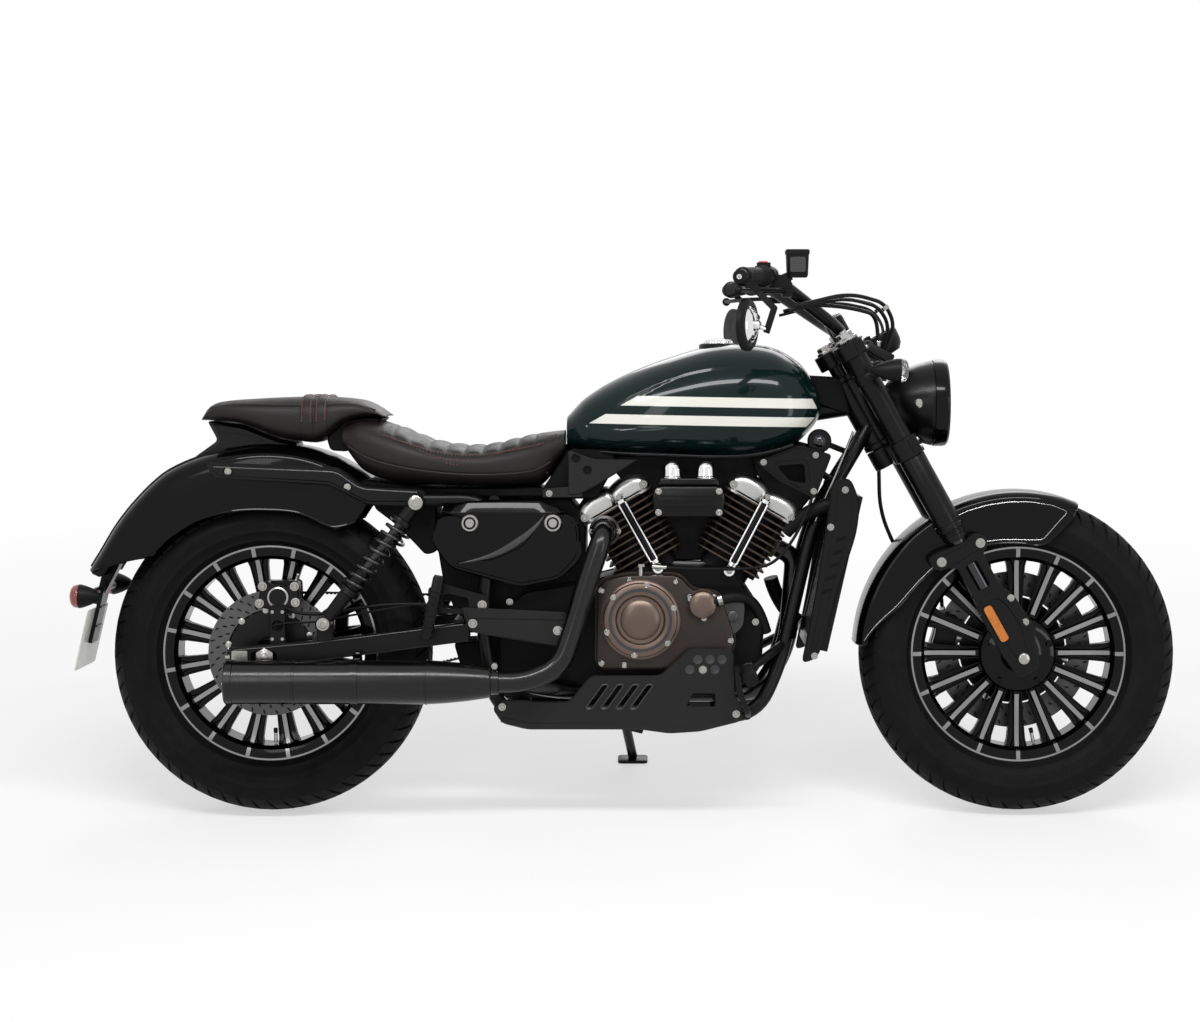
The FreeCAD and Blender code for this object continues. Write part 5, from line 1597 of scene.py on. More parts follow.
# ------------------------------------------------------------------------------------------------ engine
@dataclass(frozen=True)
class Cylinder:
    """One finned cylinder of the vee, drawn about the crank with its own way up and ahead."""

    crank: Vector
    lean: float

    @property
    def turn(self) -> Matrix:
        """The turn from (ahead, left, up the bore) to the machine."""
        up = point(math.sin(self.lean), 0, math.cos(self.lean))
        ahead = point(math.cos(self.lean), 0, -math.sin(self.lean))
        return Matrix((ahead, LEFT, up)).transposed()

    def at(self, ahead: float, side: float, along: float) -> Vector:
        """Returns a place by its own directions."""
        return self.crank + self.turn @ point(ahead, side, along)

    def slab(self, shape: Shape, size: Sequence[float], along: float, corner: float, finish: int) -> None:
        """Adds a slab with rounded corners, square to the bore."""
        length, width, tall = size
        half_x, half_y = length / 2, width / 2
        outline = rounded(((-half_x, -half_y), (half_x, -half_y), (half_x, half_y), (-half_x, half_y)), corner)
        rings = []
        for inset, up in ((1.0, 0), (0, 1.0), (0, tall - 1.0), (1.0, tall)):
            rings.append([self.at(x * (1 - inset / half_x), y * (1 - inset / half_y), along + up)
                          for x, y in outline])
        shape.skin(rings, finish)

    def fins(self, shape: Shape) -> None:
        """Adds the barrel and its fins, the outermost ones shorter, as cast."""
        self.slab(shape, (108, 128, 160), 132, 30, 0)
        for index in range(10):
            trim = 4.0 if index in (0, 9) else 0.0
            self.slab(shape, (150 - trim, 172 - trim, 3.8), 158 + 14 * index, 26, 4)
        for ahead in (-56, 56):
            for side in SIDES:
                shape.rod(self.at(ahead, side * 62, 150), self.at(ahead, side * 62, 288), 8, 0, 12)

    def cover(self, shape: Shape, shop: Workshop) -> None:
        """Adds the head's cover: two smooth rounded lobes on a parting flange, and its bolts."""
        ends = ((80.5, 0.5), (79.6, 0.36), (77.4, 0.24), (73.6, 0.14), (68.2, 0.07), (61, 0.02), (52, 0))
        for back, front, top, rear_fall, front_fall in ((-78, 5, 334.6, 15, 8), (-5, 78, 331, 8, 15)):
            middle = (back + front) / 2
            arch = rounded(((back, 289), (back, top - rear_fall), (back + 24, top - 1), (front - 24, top),
                            (front, top - front_fall), (front, 289)), 17, 5)
            rings = [[self.at(middle + (x - middle) * (1 - inset * 0.6), side * sign, 289 + (z - 289)
                              * (1 - inset)) for x, z in arch] for sign, row in ((-1, ends), (1, ends[::-1]))
                     for side, inset in row]
            shape.skin(rings, 1)
        self.slab(shape, (160, 166, 6), 284, 24, 1)
        self.slab(shape, (156, 163, 3), 290, 26, 0)
        bosses = [self.at(ahead, -70, along) for ahead, along in ((-68, 299), (68, 299))]
        for boss in bosses:
            shape.rod(boss, boss - LEFT * 11.5, 8.5, 1, 24, 1.2)
        shop.bolts(shape, [boss - LEFT * 11 for boss in bosses], -LEFT, 5.0, 2, Finishes.BOLT)
        caps = [self.at(ahead, side, 330) for ahead in (-36, 40) for side in (-40, 40)]
        shop.bolts(shape, caps, self.turn @ UP, 5.6, 2, Finishes.BOLT)

    def plug(self, shape: Shape) -> None:
        """Adds the spark plug's cap and lead on the left, out from between the fins."""
        start = self.at(-20, 66, 262)
        shape.rod(start, start + LEFT * 26 + UP * 8, 9, 3, 16, 1.5)
        shape.tube([start + LEFT * 24 + UP * 7, start + LEFT * 44 + UP * 30, self.at(-10, 66, 330),
                    point(150, 40, 700)], 3.6, 3, 10)


@dataclass(frozen=True)
class Engine:
    """The engine: its two cylinders, its covers and what sits on its case."""

    right_face: float = -131.0
    covers: tuple[Spot, ...] = ((-96, 300), (160, 300), (182, 356), (150, 450), (94, 455), (70, 486),
                                (-40, 486), (-94, 470))
    pushrods: tuple[tuple[Spot, Spot], ...] = (((24, 504), (-52, 640)), ((172, 498.4), (246, 640)))
    clutch_cable: tuple[Place, ...] = ((352, -76, 700), (340, -98, 650), (322, -112, 604), (300, -120, 560),
                                       (262, -126, 510), (226, -130, 500), (160, -134, 497), (60, -136, 500),
                                       (14, -136, 504))

    def build(self, shop: Workshop) -> None:
        """Makes the engine's pieces."""
        self.cylinders(shop)
        self.right_covers(shop)
        self.left_covers(shop)
        self.intake(shop)
        self.details(shop)

    def cylinders(self, shop: Workshop) -> None:
        """Makes both cylinders, their heads and the pushrod covers."""
        size = shop.size
        for name, lean in (("front", size.vee_half_angle), ("rear", -size.vee_half_angle)):
            cylinder = Cylinder(size.crank, lean)
            barrel = Shape()
            cylinder.fins(barrel)
            cylinder.plug(barrel)
            shop.finished(f"{name}_cylinder_finned", barrel, Body.CHASSIS, "satin_black", Finishes.MATT_BLACK,
                          Finishes.SILVER, Finishes.BOLT, Finishes.RUBBER, Finishes.FIN_EDGE,
                          stands_for="cylinders" if name == "front" else "")
            cover = Shape()
            cylinder.cover(cover, shop)
            shop.finished(f"{name}_head_cover_cast", cover, Body.CHASSIS, "satin_silver", Finishes.MATT_BLACK,
                          Finishes.COVER, Finishes.BOLT,
                          stands_for="head_covers" if name == "front" else "", crease=30)
        rods = Shape()
        for start, end in self.pushrods:
            low, high = (point(x, -99, z) for x, z in (start, end))
            way = (high - low).normalized()
            long = (high - low).length
            across = way.cross(LEFT).normalized()
            rods.rod(low, high, 7.0, 1, 24)
            for side in SIDES:
                rail = across * side * 7.2 - LEFT * 3
                rods.tube([low + rail + way * 8, high + rail - way * 6], 2.7, 0, 12)
            for along, wide in ((long - 10, 11.0), (8, 10.6)):
                rods.lathe([(wide - 3, 0), (wide, 1.6), (wide, 8.4), (wide - 3, 10)], low + way * (along - 5),
                           way, 0, 32)
            rods.lathe([(6.4, 6), (10.6, 6), (11.4, 8.6), (10.6, 11), (6.4, 11)], low - way * 6, -LEFT, 0, 32,
                       looped=True)
            shop.bolts(rods, [low - way * 6 - LEFT * 8, high - LEFT * 8], -LEFT, 3.8, 2, Finishes.BOLT)
        shop.finished("pushrod_covers_chromed", rods, Body.CHASSIS, "chrome", Finishes.CHROME,
                      Finishes.GLOSS_BLACK, Finishes.BOLT, stands_for="pushrod_covers")

    def right_covers(self, shop: Workshop) -> None:
        """Makes the clutch side: the case cover, its round dome, the water pump and their bolts."""
        shape = Shape()
        outline, near = rounded(self.covers, 22), self.right_face
        shape.pressed(outline, ((-95, 0), (near + 5, 0), (near + 1.5, -1.5), (near, -5)), 5)
        shape.pressed(outline, ((-95, 5), (-103, 5), (-104.5, 3.5), (-104.5, 0)), 5)
        dome = point(-8, near + 4, 398)
        shape.lathe([(80, 0), (80, 9), (77, 12), (74, 13), (72, 20), (66, 22.5), (58, 22.6), (50, 20), (47, 15),
                     (46, 12.5), (40, 12), (38, 14), (24, 17.5), (0, 18.5)], dome, -LEFT, 0, 80)
        shape.lathe([(57, 22.8), (63, 22.8), (63, 23.4), (57, 23.4)], dome, -LEFT, 3, 80, looped=True)
        shop.bolts(shape, [about(dome, angle, 69, -20.5) for angle in (20, 80, 140, 200, 260, 320)], -LEFT, 4.6,
                   2, Finishes.BOLT)
        edges = ((-84, 312), (-84, 455), (-30, 475), (62, 473), (90, 444), (146, 438), (170, 356), (150, 311),
                 (92, 309), (-40, 309))
        for x, z in edges:
            shape.lathe([(9.5, 0), (9.5, 24), (8, 26)], point(x, -104, z), -LEFT, 5, 20)
        shop.bolts(shape, [point(x, -130, z) for x, z in edges], -LEFT, 5.0, 2, Finishes.BOLT)
        pump = point(116, near + 2, 428)
        shape.lathe([(31, 0), (31, 7), (28, 10), (26, 16), (20, 20), (8, 21), (0, 21)], pump, -LEFT, 0, 48)
        shop.bolts(shape, [about(pump, angle, 27, -10) for angle in (35, 155, 275)], -LEFT, 3.8, 2,
                   Finishes.BOLT)
        shape.tube([pump + point(16, -8, 4), pump + point(40, -6, 12), pump + point(84, 4, 22),
                    pump + point(112, 34, -6), pump + point(128, 50, -60)], 11, 4, 20)
        shape.lathe([(12.6, 0), (12.6, 9), (12, 9), (12, 0)], pump + point(30, -6.6, 8), point(1, 0.02, 0.3),
                    2, 24, looped=True)
        plate = rounded(((150, 372), (176, 366), (196, 384), (200, 424), (190, 446), (158, 446), (150, 410)), 9)
        shape.pressed(plate, ((-118, 0), (-124, 0)), 3)
        shape.lathe([(11, 0), (11, 6), (8, 8)], point(176, -123, 404), -LEFT, 3, 32)
        shop.finished("clutch_cover_cast", shape, Body.CHASSIS, "bronze_grey", Finishes.BRONZE,
                      Finishes.MATT_BLACK, Finishes.BOLT, Finishes.GREY, Finishes.RUBBER, Finishes.DARK_BRONZE,
                      stands_for="clutch_cover", edge=0.6, crease=34)

    def left_covers(self, shop: Workshop) -> None:
        """Makes the alternator side: a round cover with cooling ribs, and the belt pulley's guard."""
        shape = Shape()
        shape.pressed(rounded(self.covers, 22), ((95, 0), (119, 0), (123.5, -1.5), (125, -5)))
        dome = point(60, 124, 376)
        shape.lathe([(84, 0), (84, 13), (80, 18), (70, 21), (62, 21.5), (58, 18), (54, 17.5), (20, 21),
                     (0, 21.8)], dome, LEFT, 0, 80)
        rib = Shape()
        rib.box((34, 3.0, 3.2), point(38, 19.8, 0))
        shop.ringed(shape, rib, 12, dome, 0, Finishes.BRONZE)
        shop.bolts(shape, [about(dome, angle, 76, 19) for angle in range(15, 375, 60)], LEFT, 5, 2,
                   Finishes.BOLT)
        guard = rounded(((-300, 338), (-262, 328), (-170, 336), (-104, 346), (-104, 430), (-200, 436),
                         (-290, 424)), 18)
        shape.pressed(guard, ((97, 0), (110, 0), (113, -2), (113.5, -6)), 1)
        shop.bolts(shape, [point(x, 113.5, z) for x, z in ((-284, 350), (-270, 414), (-122, 358), (-122, 418))],
                   LEFT, 5, 2, Finishes.BOLT)
        shop.finished("alternator_cover_cast", shape, Body.CHASSIS, "bronze_grey", Finishes.BRONZE,
                      Finishes.SATIN_BLACK, Finishes.BOLT, stands_for="alternator_cover", edge=0.6, crease=34)

    def intake(self, shop: Workshop) -> None:
        """Makes the intake box between the cylinders, with its ribs and two domed nuts."""
        shape = Shape()
        body = rounded(((20, 603), (156, 603), (160, 640), (150, 664), (26, 664), (16, 640)), 10)
        shape.pressed(body, ((-82, 0), (-146, 0), (-150, -1.4), (-152, -5)))
        lip = rounded(((28, 664), (148, 664), (146, 680), (30, 680)), 5)
        shape.pressed(lip, ((-92, 0), (-137, 0), (-141, -1.4), (-142.3, -4)))
        for z in (618, 627, 636, 645):
            shape.box((112, 3, 3.2), point(88, -152.2, z))
        for x in (55, 122):
            at = point(x, -120, 677)
            shape.lathe([(21, 0), (21, 4), (18.6, 6), (18, 18), (16.6, 26), (13, 32), (7, 36), (0, 37)], at, UP,
                        3, 48)
            shape.lathe([(22.5, -6), (22.5, 0), (20, 1)], at, UP, 0, 40)
        shop.bolts(shape, [point(x, -151.8, z) for x in (28, 148) for z in (612, 654)], -LEFT, 4.4, 2,
                   Finishes.BOLT)
        shop.finished("intake_box_moulded", shape, Body.CHASSIS, "satin_black", Finishes.SATIN_BLACK,
                      Finishes.MATT_BLACK, Finishes.BOLT, Finishes.CHROME, stands_for="intake_box", edge=0.5)

    def details(self, shop: Workshop) -> None:
        """Adds what sits on the case between its covers: cooling ribs, sump, drain plug and hoses."""
        shape = Shape()
        for index in range(7):
            shape.box((2.6, 4, 74), point(-88 - 9 * index, -97.2, 420), None, 0)
        for side in SIDES:
            for index in range(6):
                shape.box((110, 4, 2.6), point(40, side * 97.2, 290 - index * 8), None, 0)
        shape.lathe([(13, 0), (13, 8), (10, 9)], point(60, -30, 246), -UP, 1, 6)
        shape.tube([Vector(spot) for spot in self.clutch_cable], 3.2, 2, 10)
        shape.rod(point(-8, -124, 470), point(-8, -124, 506), 5, 1, 14, 1)
        shape.box((12, 18, 5), point(-6, -130, 506), None, 1)
        shape.rod(point(14, -136, 504), point(44, -136, 502), 4.4, 1, 14, 1)
        shop.finished("engine_case_details", shape, Body.CHASSIS, "satin_black", Finishes.MATT_BLACK,
                      Finishes.BOLT, Finishes.RUBBER)


@dataclass(frozen=True)
class Muffler:
    """The muffler on the right, ahead to behind."""

    start: Place = (-300, -196, 281)
    bands: tuple[Spot, ...] = ((126, 3), (384, 2))
    profile: tuple[Spot, ...] = ((24, 0), (29, 2), (31, 7), (37, 48), (41, 88), (42.4, 112), (43, 126),
                                 (43, 384), (44.6, 385), (44.6, 389), (43, 390), (43, 506), (44.2, 507),
                                 (44.2, 520), (41, 523), (20, 524), (18.5, 522), (18, 450))

    def build(self, shop: Workshop) -> None:
        """Makes the muffler, with its cone, bands, strap and end cap."""
        can = Shape()
        start = Vector(self.start)
        can.lathe(self.profile, start, -FORWARD, 0, 72)
        for place, wide in self.bands:
            can.lathe([(43, place), (44.4, place + 0.6), (44.4, place + wide), (43, place + wide + 0.6)], start,
                      -FORWARD, 0, 72, looped=True)
        strap = point(-560, -196, 281)
        can.lathe([(43.4, 0), (44.8, 0.4), (44.8, 15.6), (43.4, 16)], strap, -FORWARD, 0, 72, looped=True)
        can.box((18, 10, 44), point(-568, -148, 312), Euler((0.4, 0, 0)).to_matrix(), 0)
        shop.bolts(can, [point(-568, -152.5, 326)], -LEFT, 6, 1, Finishes.BOLT)
        angles = [math.tau * index / 6 for index in range(6)]
        tips = [start + point(-523.4, 31 * math.cos(angle), 31 * math.sin(angle)) for angle in angles]
        shop.bolts(can, tips, -FORWARD, 2.6, 1, Finishes.BOLT, 1.8)
        shop.finished("muffler_turned", can, Body.CHASSIS, "satin_black", Finishes.EXHAUST, Finishes.BOLT,
                      stands_for="muffler", crease=32)


# ------------------------------------------------------------------------------------------------ front end
@dataclass(frozen=True)
class Fork:
    """The fork: its covered legs, its clamps and its lower castings, drawn as (along, ahead)."""

    casting: tuple[Spot, ...] = ((-32, -26), (-32, 20), (10, 34), (47, 50), (120, 44), (151, 30), (222, 30),
                                 (229, 45), (247, 53), (267, 37), (261, 4), (268, -51), (264, -72), (238, -70),
                                 (222, -27), (150, -29), (100, -33), (20, -33))
    window: tuple[Spot, ...] = ((160, -12), (160, 12), (216, 12), (216, -12))
    raised: tuple[Spot, ...] = ((-20, -16), (-20, 12), (20, 24), (52, 36), (112, 32), (146, 20), (146, -20),
                                (100, -24), (20, -24))
    sunk: tuple[Spot, ...] = ((0, -8), (6, 12), (56, 25), (106, 22), (132, 12), (132, -12), (96, -15), (24, -14))
    top_edge: tuple[Spot, ...] = ((232, -62), (258, -64), (254, 6), (260, 34), (246, 46), (234, 38), (230, -24))


    def build(self, shop: Workshop) -> None:
        """Makes the fork's pieces."""
        self.legs(shop)
        self.clamps(shop)
        self.castings(shop)

    def legs(self, shop: Workshop) -> None:
        """Makes the covered fork tubes with their collars, and the bright stanchions."""
        size = shop.size
        shape = Shape()
        bright = Shape()
        for side in SIDES:
            foot = size.on_fork(0, size.fork_half_track * side)
            shape.lathe([(17.4, 268), (22, 269), (23, 272), (23, 281), (24.6, 282), (24.6, 287), (23.4, 288),
                         (23.4, 291), (27, 293), (27, 300), (25.6, 302), (25.6, 306), (27, 308), (27, 456),
                         (26, 458), (23, 458.4), (23, 724)], foot, size.up_fork, 0, 40)
            bright.lathe([(17, 60), (17, 269)], foot, size.up_fork, 0, 36)
            cap = size.on_fork(722, size.fork_half_track * side)
            bright.lathe([(23, 0), (23, 5), (20.5, 7), (20.5, 9)], cap, size.up_fork, 1, 36)
            bright.lathe([(17, 8), (17, 17), (15, 19)], cap, size.up_fork, 1, 6)
            bright.lathe([(7.5, 18), (7.5, 22), (6.5, 23)], cap, size.up_fork, 1, 20)
        shop.finished("fork_tubes_covered", shape, Body.STEERING, "satin_black", Finishes.SATIN_BLACK,
                      stands_for="fork_tubes", crease=30)
        shop.finished("fork_stanchions_bright", bright, Body.STEERING, "chrome", Finishes.DARK_CHROME,
                      Finishes.SILVER, stands_for="fork_stanchions", crease=30)

    def clamps(self, shop: Workshop) -> None:
        """Makes the two triple clamps, their pinch bolts and the risers."""
        size, turn = shop.size, shop.size.fork_turn
        shape = Shape()
        shape.rod(size.on_fork(478, 0, -40), size.on_fork(703, 0, -40), 15, 0, 32)
        for along, tall in ((478, 40), (703, 32)):
            for side, ahead, radius in ((-1, 0, 31), (1, 0, 31), (0, -40, 30)):
                low = size.on_fork(along - tall / 2, side * size.fork_half_track, ahead)
                shape.lathe([(radius - 1.5, 0), (radius, 1.5), (radius, tall - 1.5), (radius - 1.5, tall)], low,
                            size.up_fork, 0, 40)
            outline = rounded(((-34, -106), (10, -106), (10, 106), (-34, 106)), 8)
            shape.skin([[size.on_fork(along + up, y * by, x * by) for x, y in outline] for up, by in
                        ((-tall / 2, 0.97), (2 - tall / 2, 1), (tall / 2 - 2, 1), (tall / 2, 0.97))])
            for side in SIDES:
                lug = size.on_fork(along, side * 128, 16)
                shape.box((18, 20, tall * 0.8), lug, turn, 0)
                shop.bolts(shape, [lug + size.out_fork * 9 + size.up_fork * up for up in (-8, 8)],
                           size.out_fork, 4.4, 1, Finishes.BOLT)
        shape.lathe([(21, 0), (21, 4), (17, 6), (17, 13), (14, 15)], size.on_fork(719, 0, -40), size.up_fork, 1,
                    6)
        for side in SIDES:
            riser = size.on_fork(703, side * 48, 2)
            shape.lathe([(21, 14), (21, 18), (17, 20), (17, 36), (18, 38), (18, 70), (16, 72)], riser,
                        size.up_fork, 0, 28)
            for ahead in (-11, 11):
                shop.bolts(shape, [size.on_fork(775, side * 48, 2 + ahead)], size.up_fork, 4.6, 1,
                           Finishes.BOLT)
        shop.finished("triple_clamps_forged", shape, Body.STEERING, "satin_black", Finishes.SATIN_BLACK,
                      Finishes.BOLT, stands_for="triple_clamps", edge=0.8)

    def castings(self, shop: Workshop) -> None:
        """Makes the fork's lower castings: waisted, windowed, with a raised edge, lugs and bolts."""
        size = shop.size
        outline, window = rounded(self.casting, 11), rounded(self.window, 5)

        def place(ahead: float, side: float, along: float) -> Vector:
            """Returns a place by the fork's own directions."""
            return size.on_fork(along, side, ahead)

        def turned(corners: Iterable[Spot]) -> list[Spot]:
            """Returns (along, ahead) corners as (ahead, along) ones."""
            return [(ahead, along) for along, ahead in corners]

        shape = Shape()
        for side in SIDES:
            shape.panel(turned(outline), (side * 82, side * 126), 0, (turned(window),), 2.0, place)
            raised, sunk = turned(rounded(self.raised, 9)), turned(rounded(self.sunk, 8))
            shape.panel(raised, (side * 124, side * 128), 0, (sunk,), 1.4, place)
            edge = turned(rounded(self.top_edge, 6))
            shape.panel(edge, (side * 124, side * 127.8), 0, (), 1.6, place)
            heads = [size.on_fork(along, side * 127, ahead) for along, ahead in ((247, -50), (243, 36))]
            shop.bolts(shape, heads, LEFT * side, 6.4, 1, Finishes.BOLT, 5)
            heads = [size.on_fork(along, side * 125.5, ahead) for along, ahead in ((118, 36), (62, 38))]
            shop.bolts(shape, heads, LEFT * side, 4.8, 1, Finishes.BOLT)
            for along, ahead in ((255, -58), (247, 39)):
                shape.rod(size.on_fork(along, side * 78, ahead), size.on_fork(along, side * 84, ahead), 8, 0,
                          20, 1)
            for index in range(3):
                shape.rod(size.on_fork(154 - index * 0.1, side * 100, -26), size.on_fork(154, side * 112, -30),
                          3, 0, 8)
        shop.finished("fork_castings", shape, Body.STEERING, "satin_black", Finishes.SATIN_BLACK, Finishes.BOLT,
                      stands_for="fork_sliders", crease=32)
        axle = Shape()
        axle.lathe([(8, -134), (10, -133), (10, -128), (8.6, -127), (8.6, 127), (10, 128), (10, 133), (8, 134)],
                   size.front_axle, LEFT, 0, 28)
        for side in SIDES:
            axle.lathe([(12.5, 126), (12.5, 130.6), (10.8, 133), (6.2, 133.4), (5.4, 130)], size.front_axle,
                       LEFT * side, 0, 36)
        shop.finished("front_axle_turned", axle, Body.STEERING, "steel", Finishes.BOLT, stands_for="front_axle")
        lens = Shape()
        for side in SIDES:
            for by, sides, finish in ((0.0, (127.5, 131), 1), (-1.6, (130.6, 134), 0)):
                capsule = grown(rounded(((-10.5, -41), (10.5, -41), (10.5, 41), (-10.5, 41)), 10, 6), by)
                lens.panel([(x - 15, z + 88) for x, z in capsule], [side * y for y in sides], finish, (), 0.8,
                           place)
        shop.finished("fork_reflectors", lens, Body.STEERING, "amber", Finishes.AMBER, Finishes.PLASTIC,
                      stands_for="reflectors")


@dataclass(frozen=True)
class Lamps:
    """The headlamp, by (along the legs, ahead of them), and the indicators, by (along the legs, out)."""

    head: Spot = (526.0, 97.0)
    indicator: Spot = (640.0, 173.0)
    stalk: float = 130.0

    def build(self, shop: Workshop) -> None:
        """Makes the headlamp with its ring, lens and inner lamp, and the front indicators."""
        size = shop.size
        centre = size.on_fork(self.head[0], 0, self.head[1])
        shape = Shape()
        shape.lathe([(0, -104), (14, -104), (32, -98), (48, -86), (60, -72), (72, -50), (80, -28), (85, -8),
                     (86.2, -4), (86.2, -2), (85.2, -1.4), (85.2, 0)], centre, FORWARD, 0, 72)
        shape.lathe([(86, 0), (88, 1.2), (88, 20), (86.4, 26), (82, 30), (79, 29), (78, 24), (80, 2)], centre,
                    FORWARD, 1, 96, looped=True)
        shape.box((50, 60, 22), size.on_fork(478, 0, 35.3), size.fork_turn, 0)
        for side in SIDES:
            shape.lathe([(9, 0), (9, 5), (6, 7)], centre + point(-34, side * 74, 0), LEFT * side, 2, 20)
        shop.finished("headlamp_shell", shape, Body.STEERING, "satin_black", Finishes.SATIN_BLACK,
                      Finishes.GLOSS_BLACK, Finishes.BOLT, stands_for="headlamp", crease=28)
        lens = Shape()
        lens.lathe([(78, 24), (74, 27), (50, 29.4), (20, 30.6), (0, 30.8), (0, 28.4), (20, 28.2), (50, 27),
                    (72, 24), (77, 22)], centre, FORWARD, 0, 72)
        lens.lathe([(77, 20), (60, 6), (40, -6), (30, -10), (0, -12), (0, -14), (32, -12), (62, 4), (79, 19)],
                   centre, FORWARD, 1, 64)
        for up in (-26, 26):
            lens.lathe([(24, 0), (26, 10), (25, 12), (20, 8), (8, 3), (0, 2)], centre + UP * up + FORWARD * 4,
                       FORWARD, 1, 36)
            lens.ball(centre + UP * up + FORWARD * 8, 9, 2, FORWARD, 0.5)
        lens.box((4, 130, 3), centre + FORWARD * 14, None, 1)
        shop.finished("headlamp_lens_domed", lens, Body.STEERING, "lens", Finishes.GLASS, Finishes.CHROME,
                      Finishes.LENS_CLEAR, stands_for="headlamp_lens", crease=50)
        blinkers = Shape()
        for side in SIDES:
            along, out = self.indicator
            lamp = size.on_fork(along, side * out, 12) + point(38, 0, 8)
            blinkers.lathe([(0, -46), (5, -45), (10, -38), (15, -26), (19.5, -12), (22.6, 2), (23.6, 12),
                            (23.6, 13)], lamp, FORWARD, 0, 40)
            blinkers.lathe([(23, 13), (23.4, 15), (22, 22), (17, 26.4), (8, 28.4), (0, 28.6)], lamp, FORWARD, 1,
                           40)
            blinkers.lathe([(22, 12), (20, 12.6), (8, 8), (0, 6), (0, 5), (22, 11)], lamp, FORWARD, 3, 32)
            blinkers.ball(lamp + FORWARD * 10, 6, 4, FORWARD, 0.6)
            stalk = size.on_fork(along, side * self.stalk)
            blinkers.rod(stalk, lamp - LEFT * side * 16 - FORWARD * 14, 7, 0, 20, 1)
            for ring in (0, 4, 8):
                blinkers.lathe([(7, 0), (9, 1), (7, 2)], stalk + LEFT * side * (4 + ring), LEFT * side, 0, 20)
            collar = size.on_fork(630, side * size.fork_half_track)
            blinkers.lathe([(23.6, 0), (26, 0), (26, 20), (23.6, 20)], collar, size.up_fork, 2, 36, looped=True)
            blinkers.box((16, 16, 18), size.on_fork(along, side * (self.stalk + 4), 0), size.fork_turn, 2)
        shop.finished("front_indicators", blinkers, Body.STEERING, "black_plastic", Finishes.PLASTIC,
                      Finishes.LENS_CLEAR, Finishes.SATIN_BLACK, Finishes.CHROME, Finishes.AMBER,
                      stands_for="front_signals")


@dataclass(frozen=True)
class Instrument:
    """The round meter and the box of tell-tales."""

    marks: int = 36

    def build(self, shop: Workshop) -> None:
        """Makes the round meter with its dial, its bracket and the small box of tell-tales behind it."""
        size, tilt = shop.size, shop.size.fork_turn
        shape = Shape()
        place = size.on_fork(664, 0, 64)
        shape.lathe([(12, -10), (30, -8), (38, 2), (41, 12), (42, 30), (41, 35), (37.5, 36.4), (36.5, 33)],
                    place, size.up_fork, 0, 56)
        shape.lathe([(36.6, 33), (36.6, 34), (0, 34.6)], place, size.up_fork, 1, 48)
        mark = Shape()
        mark.box((5, 0.4, 1.0), point(31, 34.4, 0))
        ring = Shape()
        shop.ringed(ring, mark, self.marks, Vector(), 0, Finishes.PLATE)
        shape.add(ring, Matrix.Translation(place) @ (tilt @ Matrix.Rotation(math.pi / 2, 3, "X")).to_4x4(), 2)
        shape.box((40, 54, 18), size.on_fork(699, 0, 30.3), tilt, 0)
        turn = Matrix.Rotation(math.radians(30), 3, "Y")
        box = rounded(((-33, -60), (33, -60), (33, 60), (-33, 60)), 12)
        middle = point(472, 0, 930)
        shape.stacked(box, ((-11, 0.94), (-8, 1), (7, 1), (10, 0.97), (11, 0.92)), lambda spot: middle + turn
                      @ spot)
        shape.skin([[middle + turn @ point(x * 0.78, y * 0.84, z) for x, y in box] for z in (10.4, 11.3)], 1)
        shop.finished("instrument_cluster", shape, Body.STEERING, "black_plastic", Finishes.PLASTIC,
                      Finishes.DIAL, Finishes.PLATE, stands_for="instrument", edge=0.5)


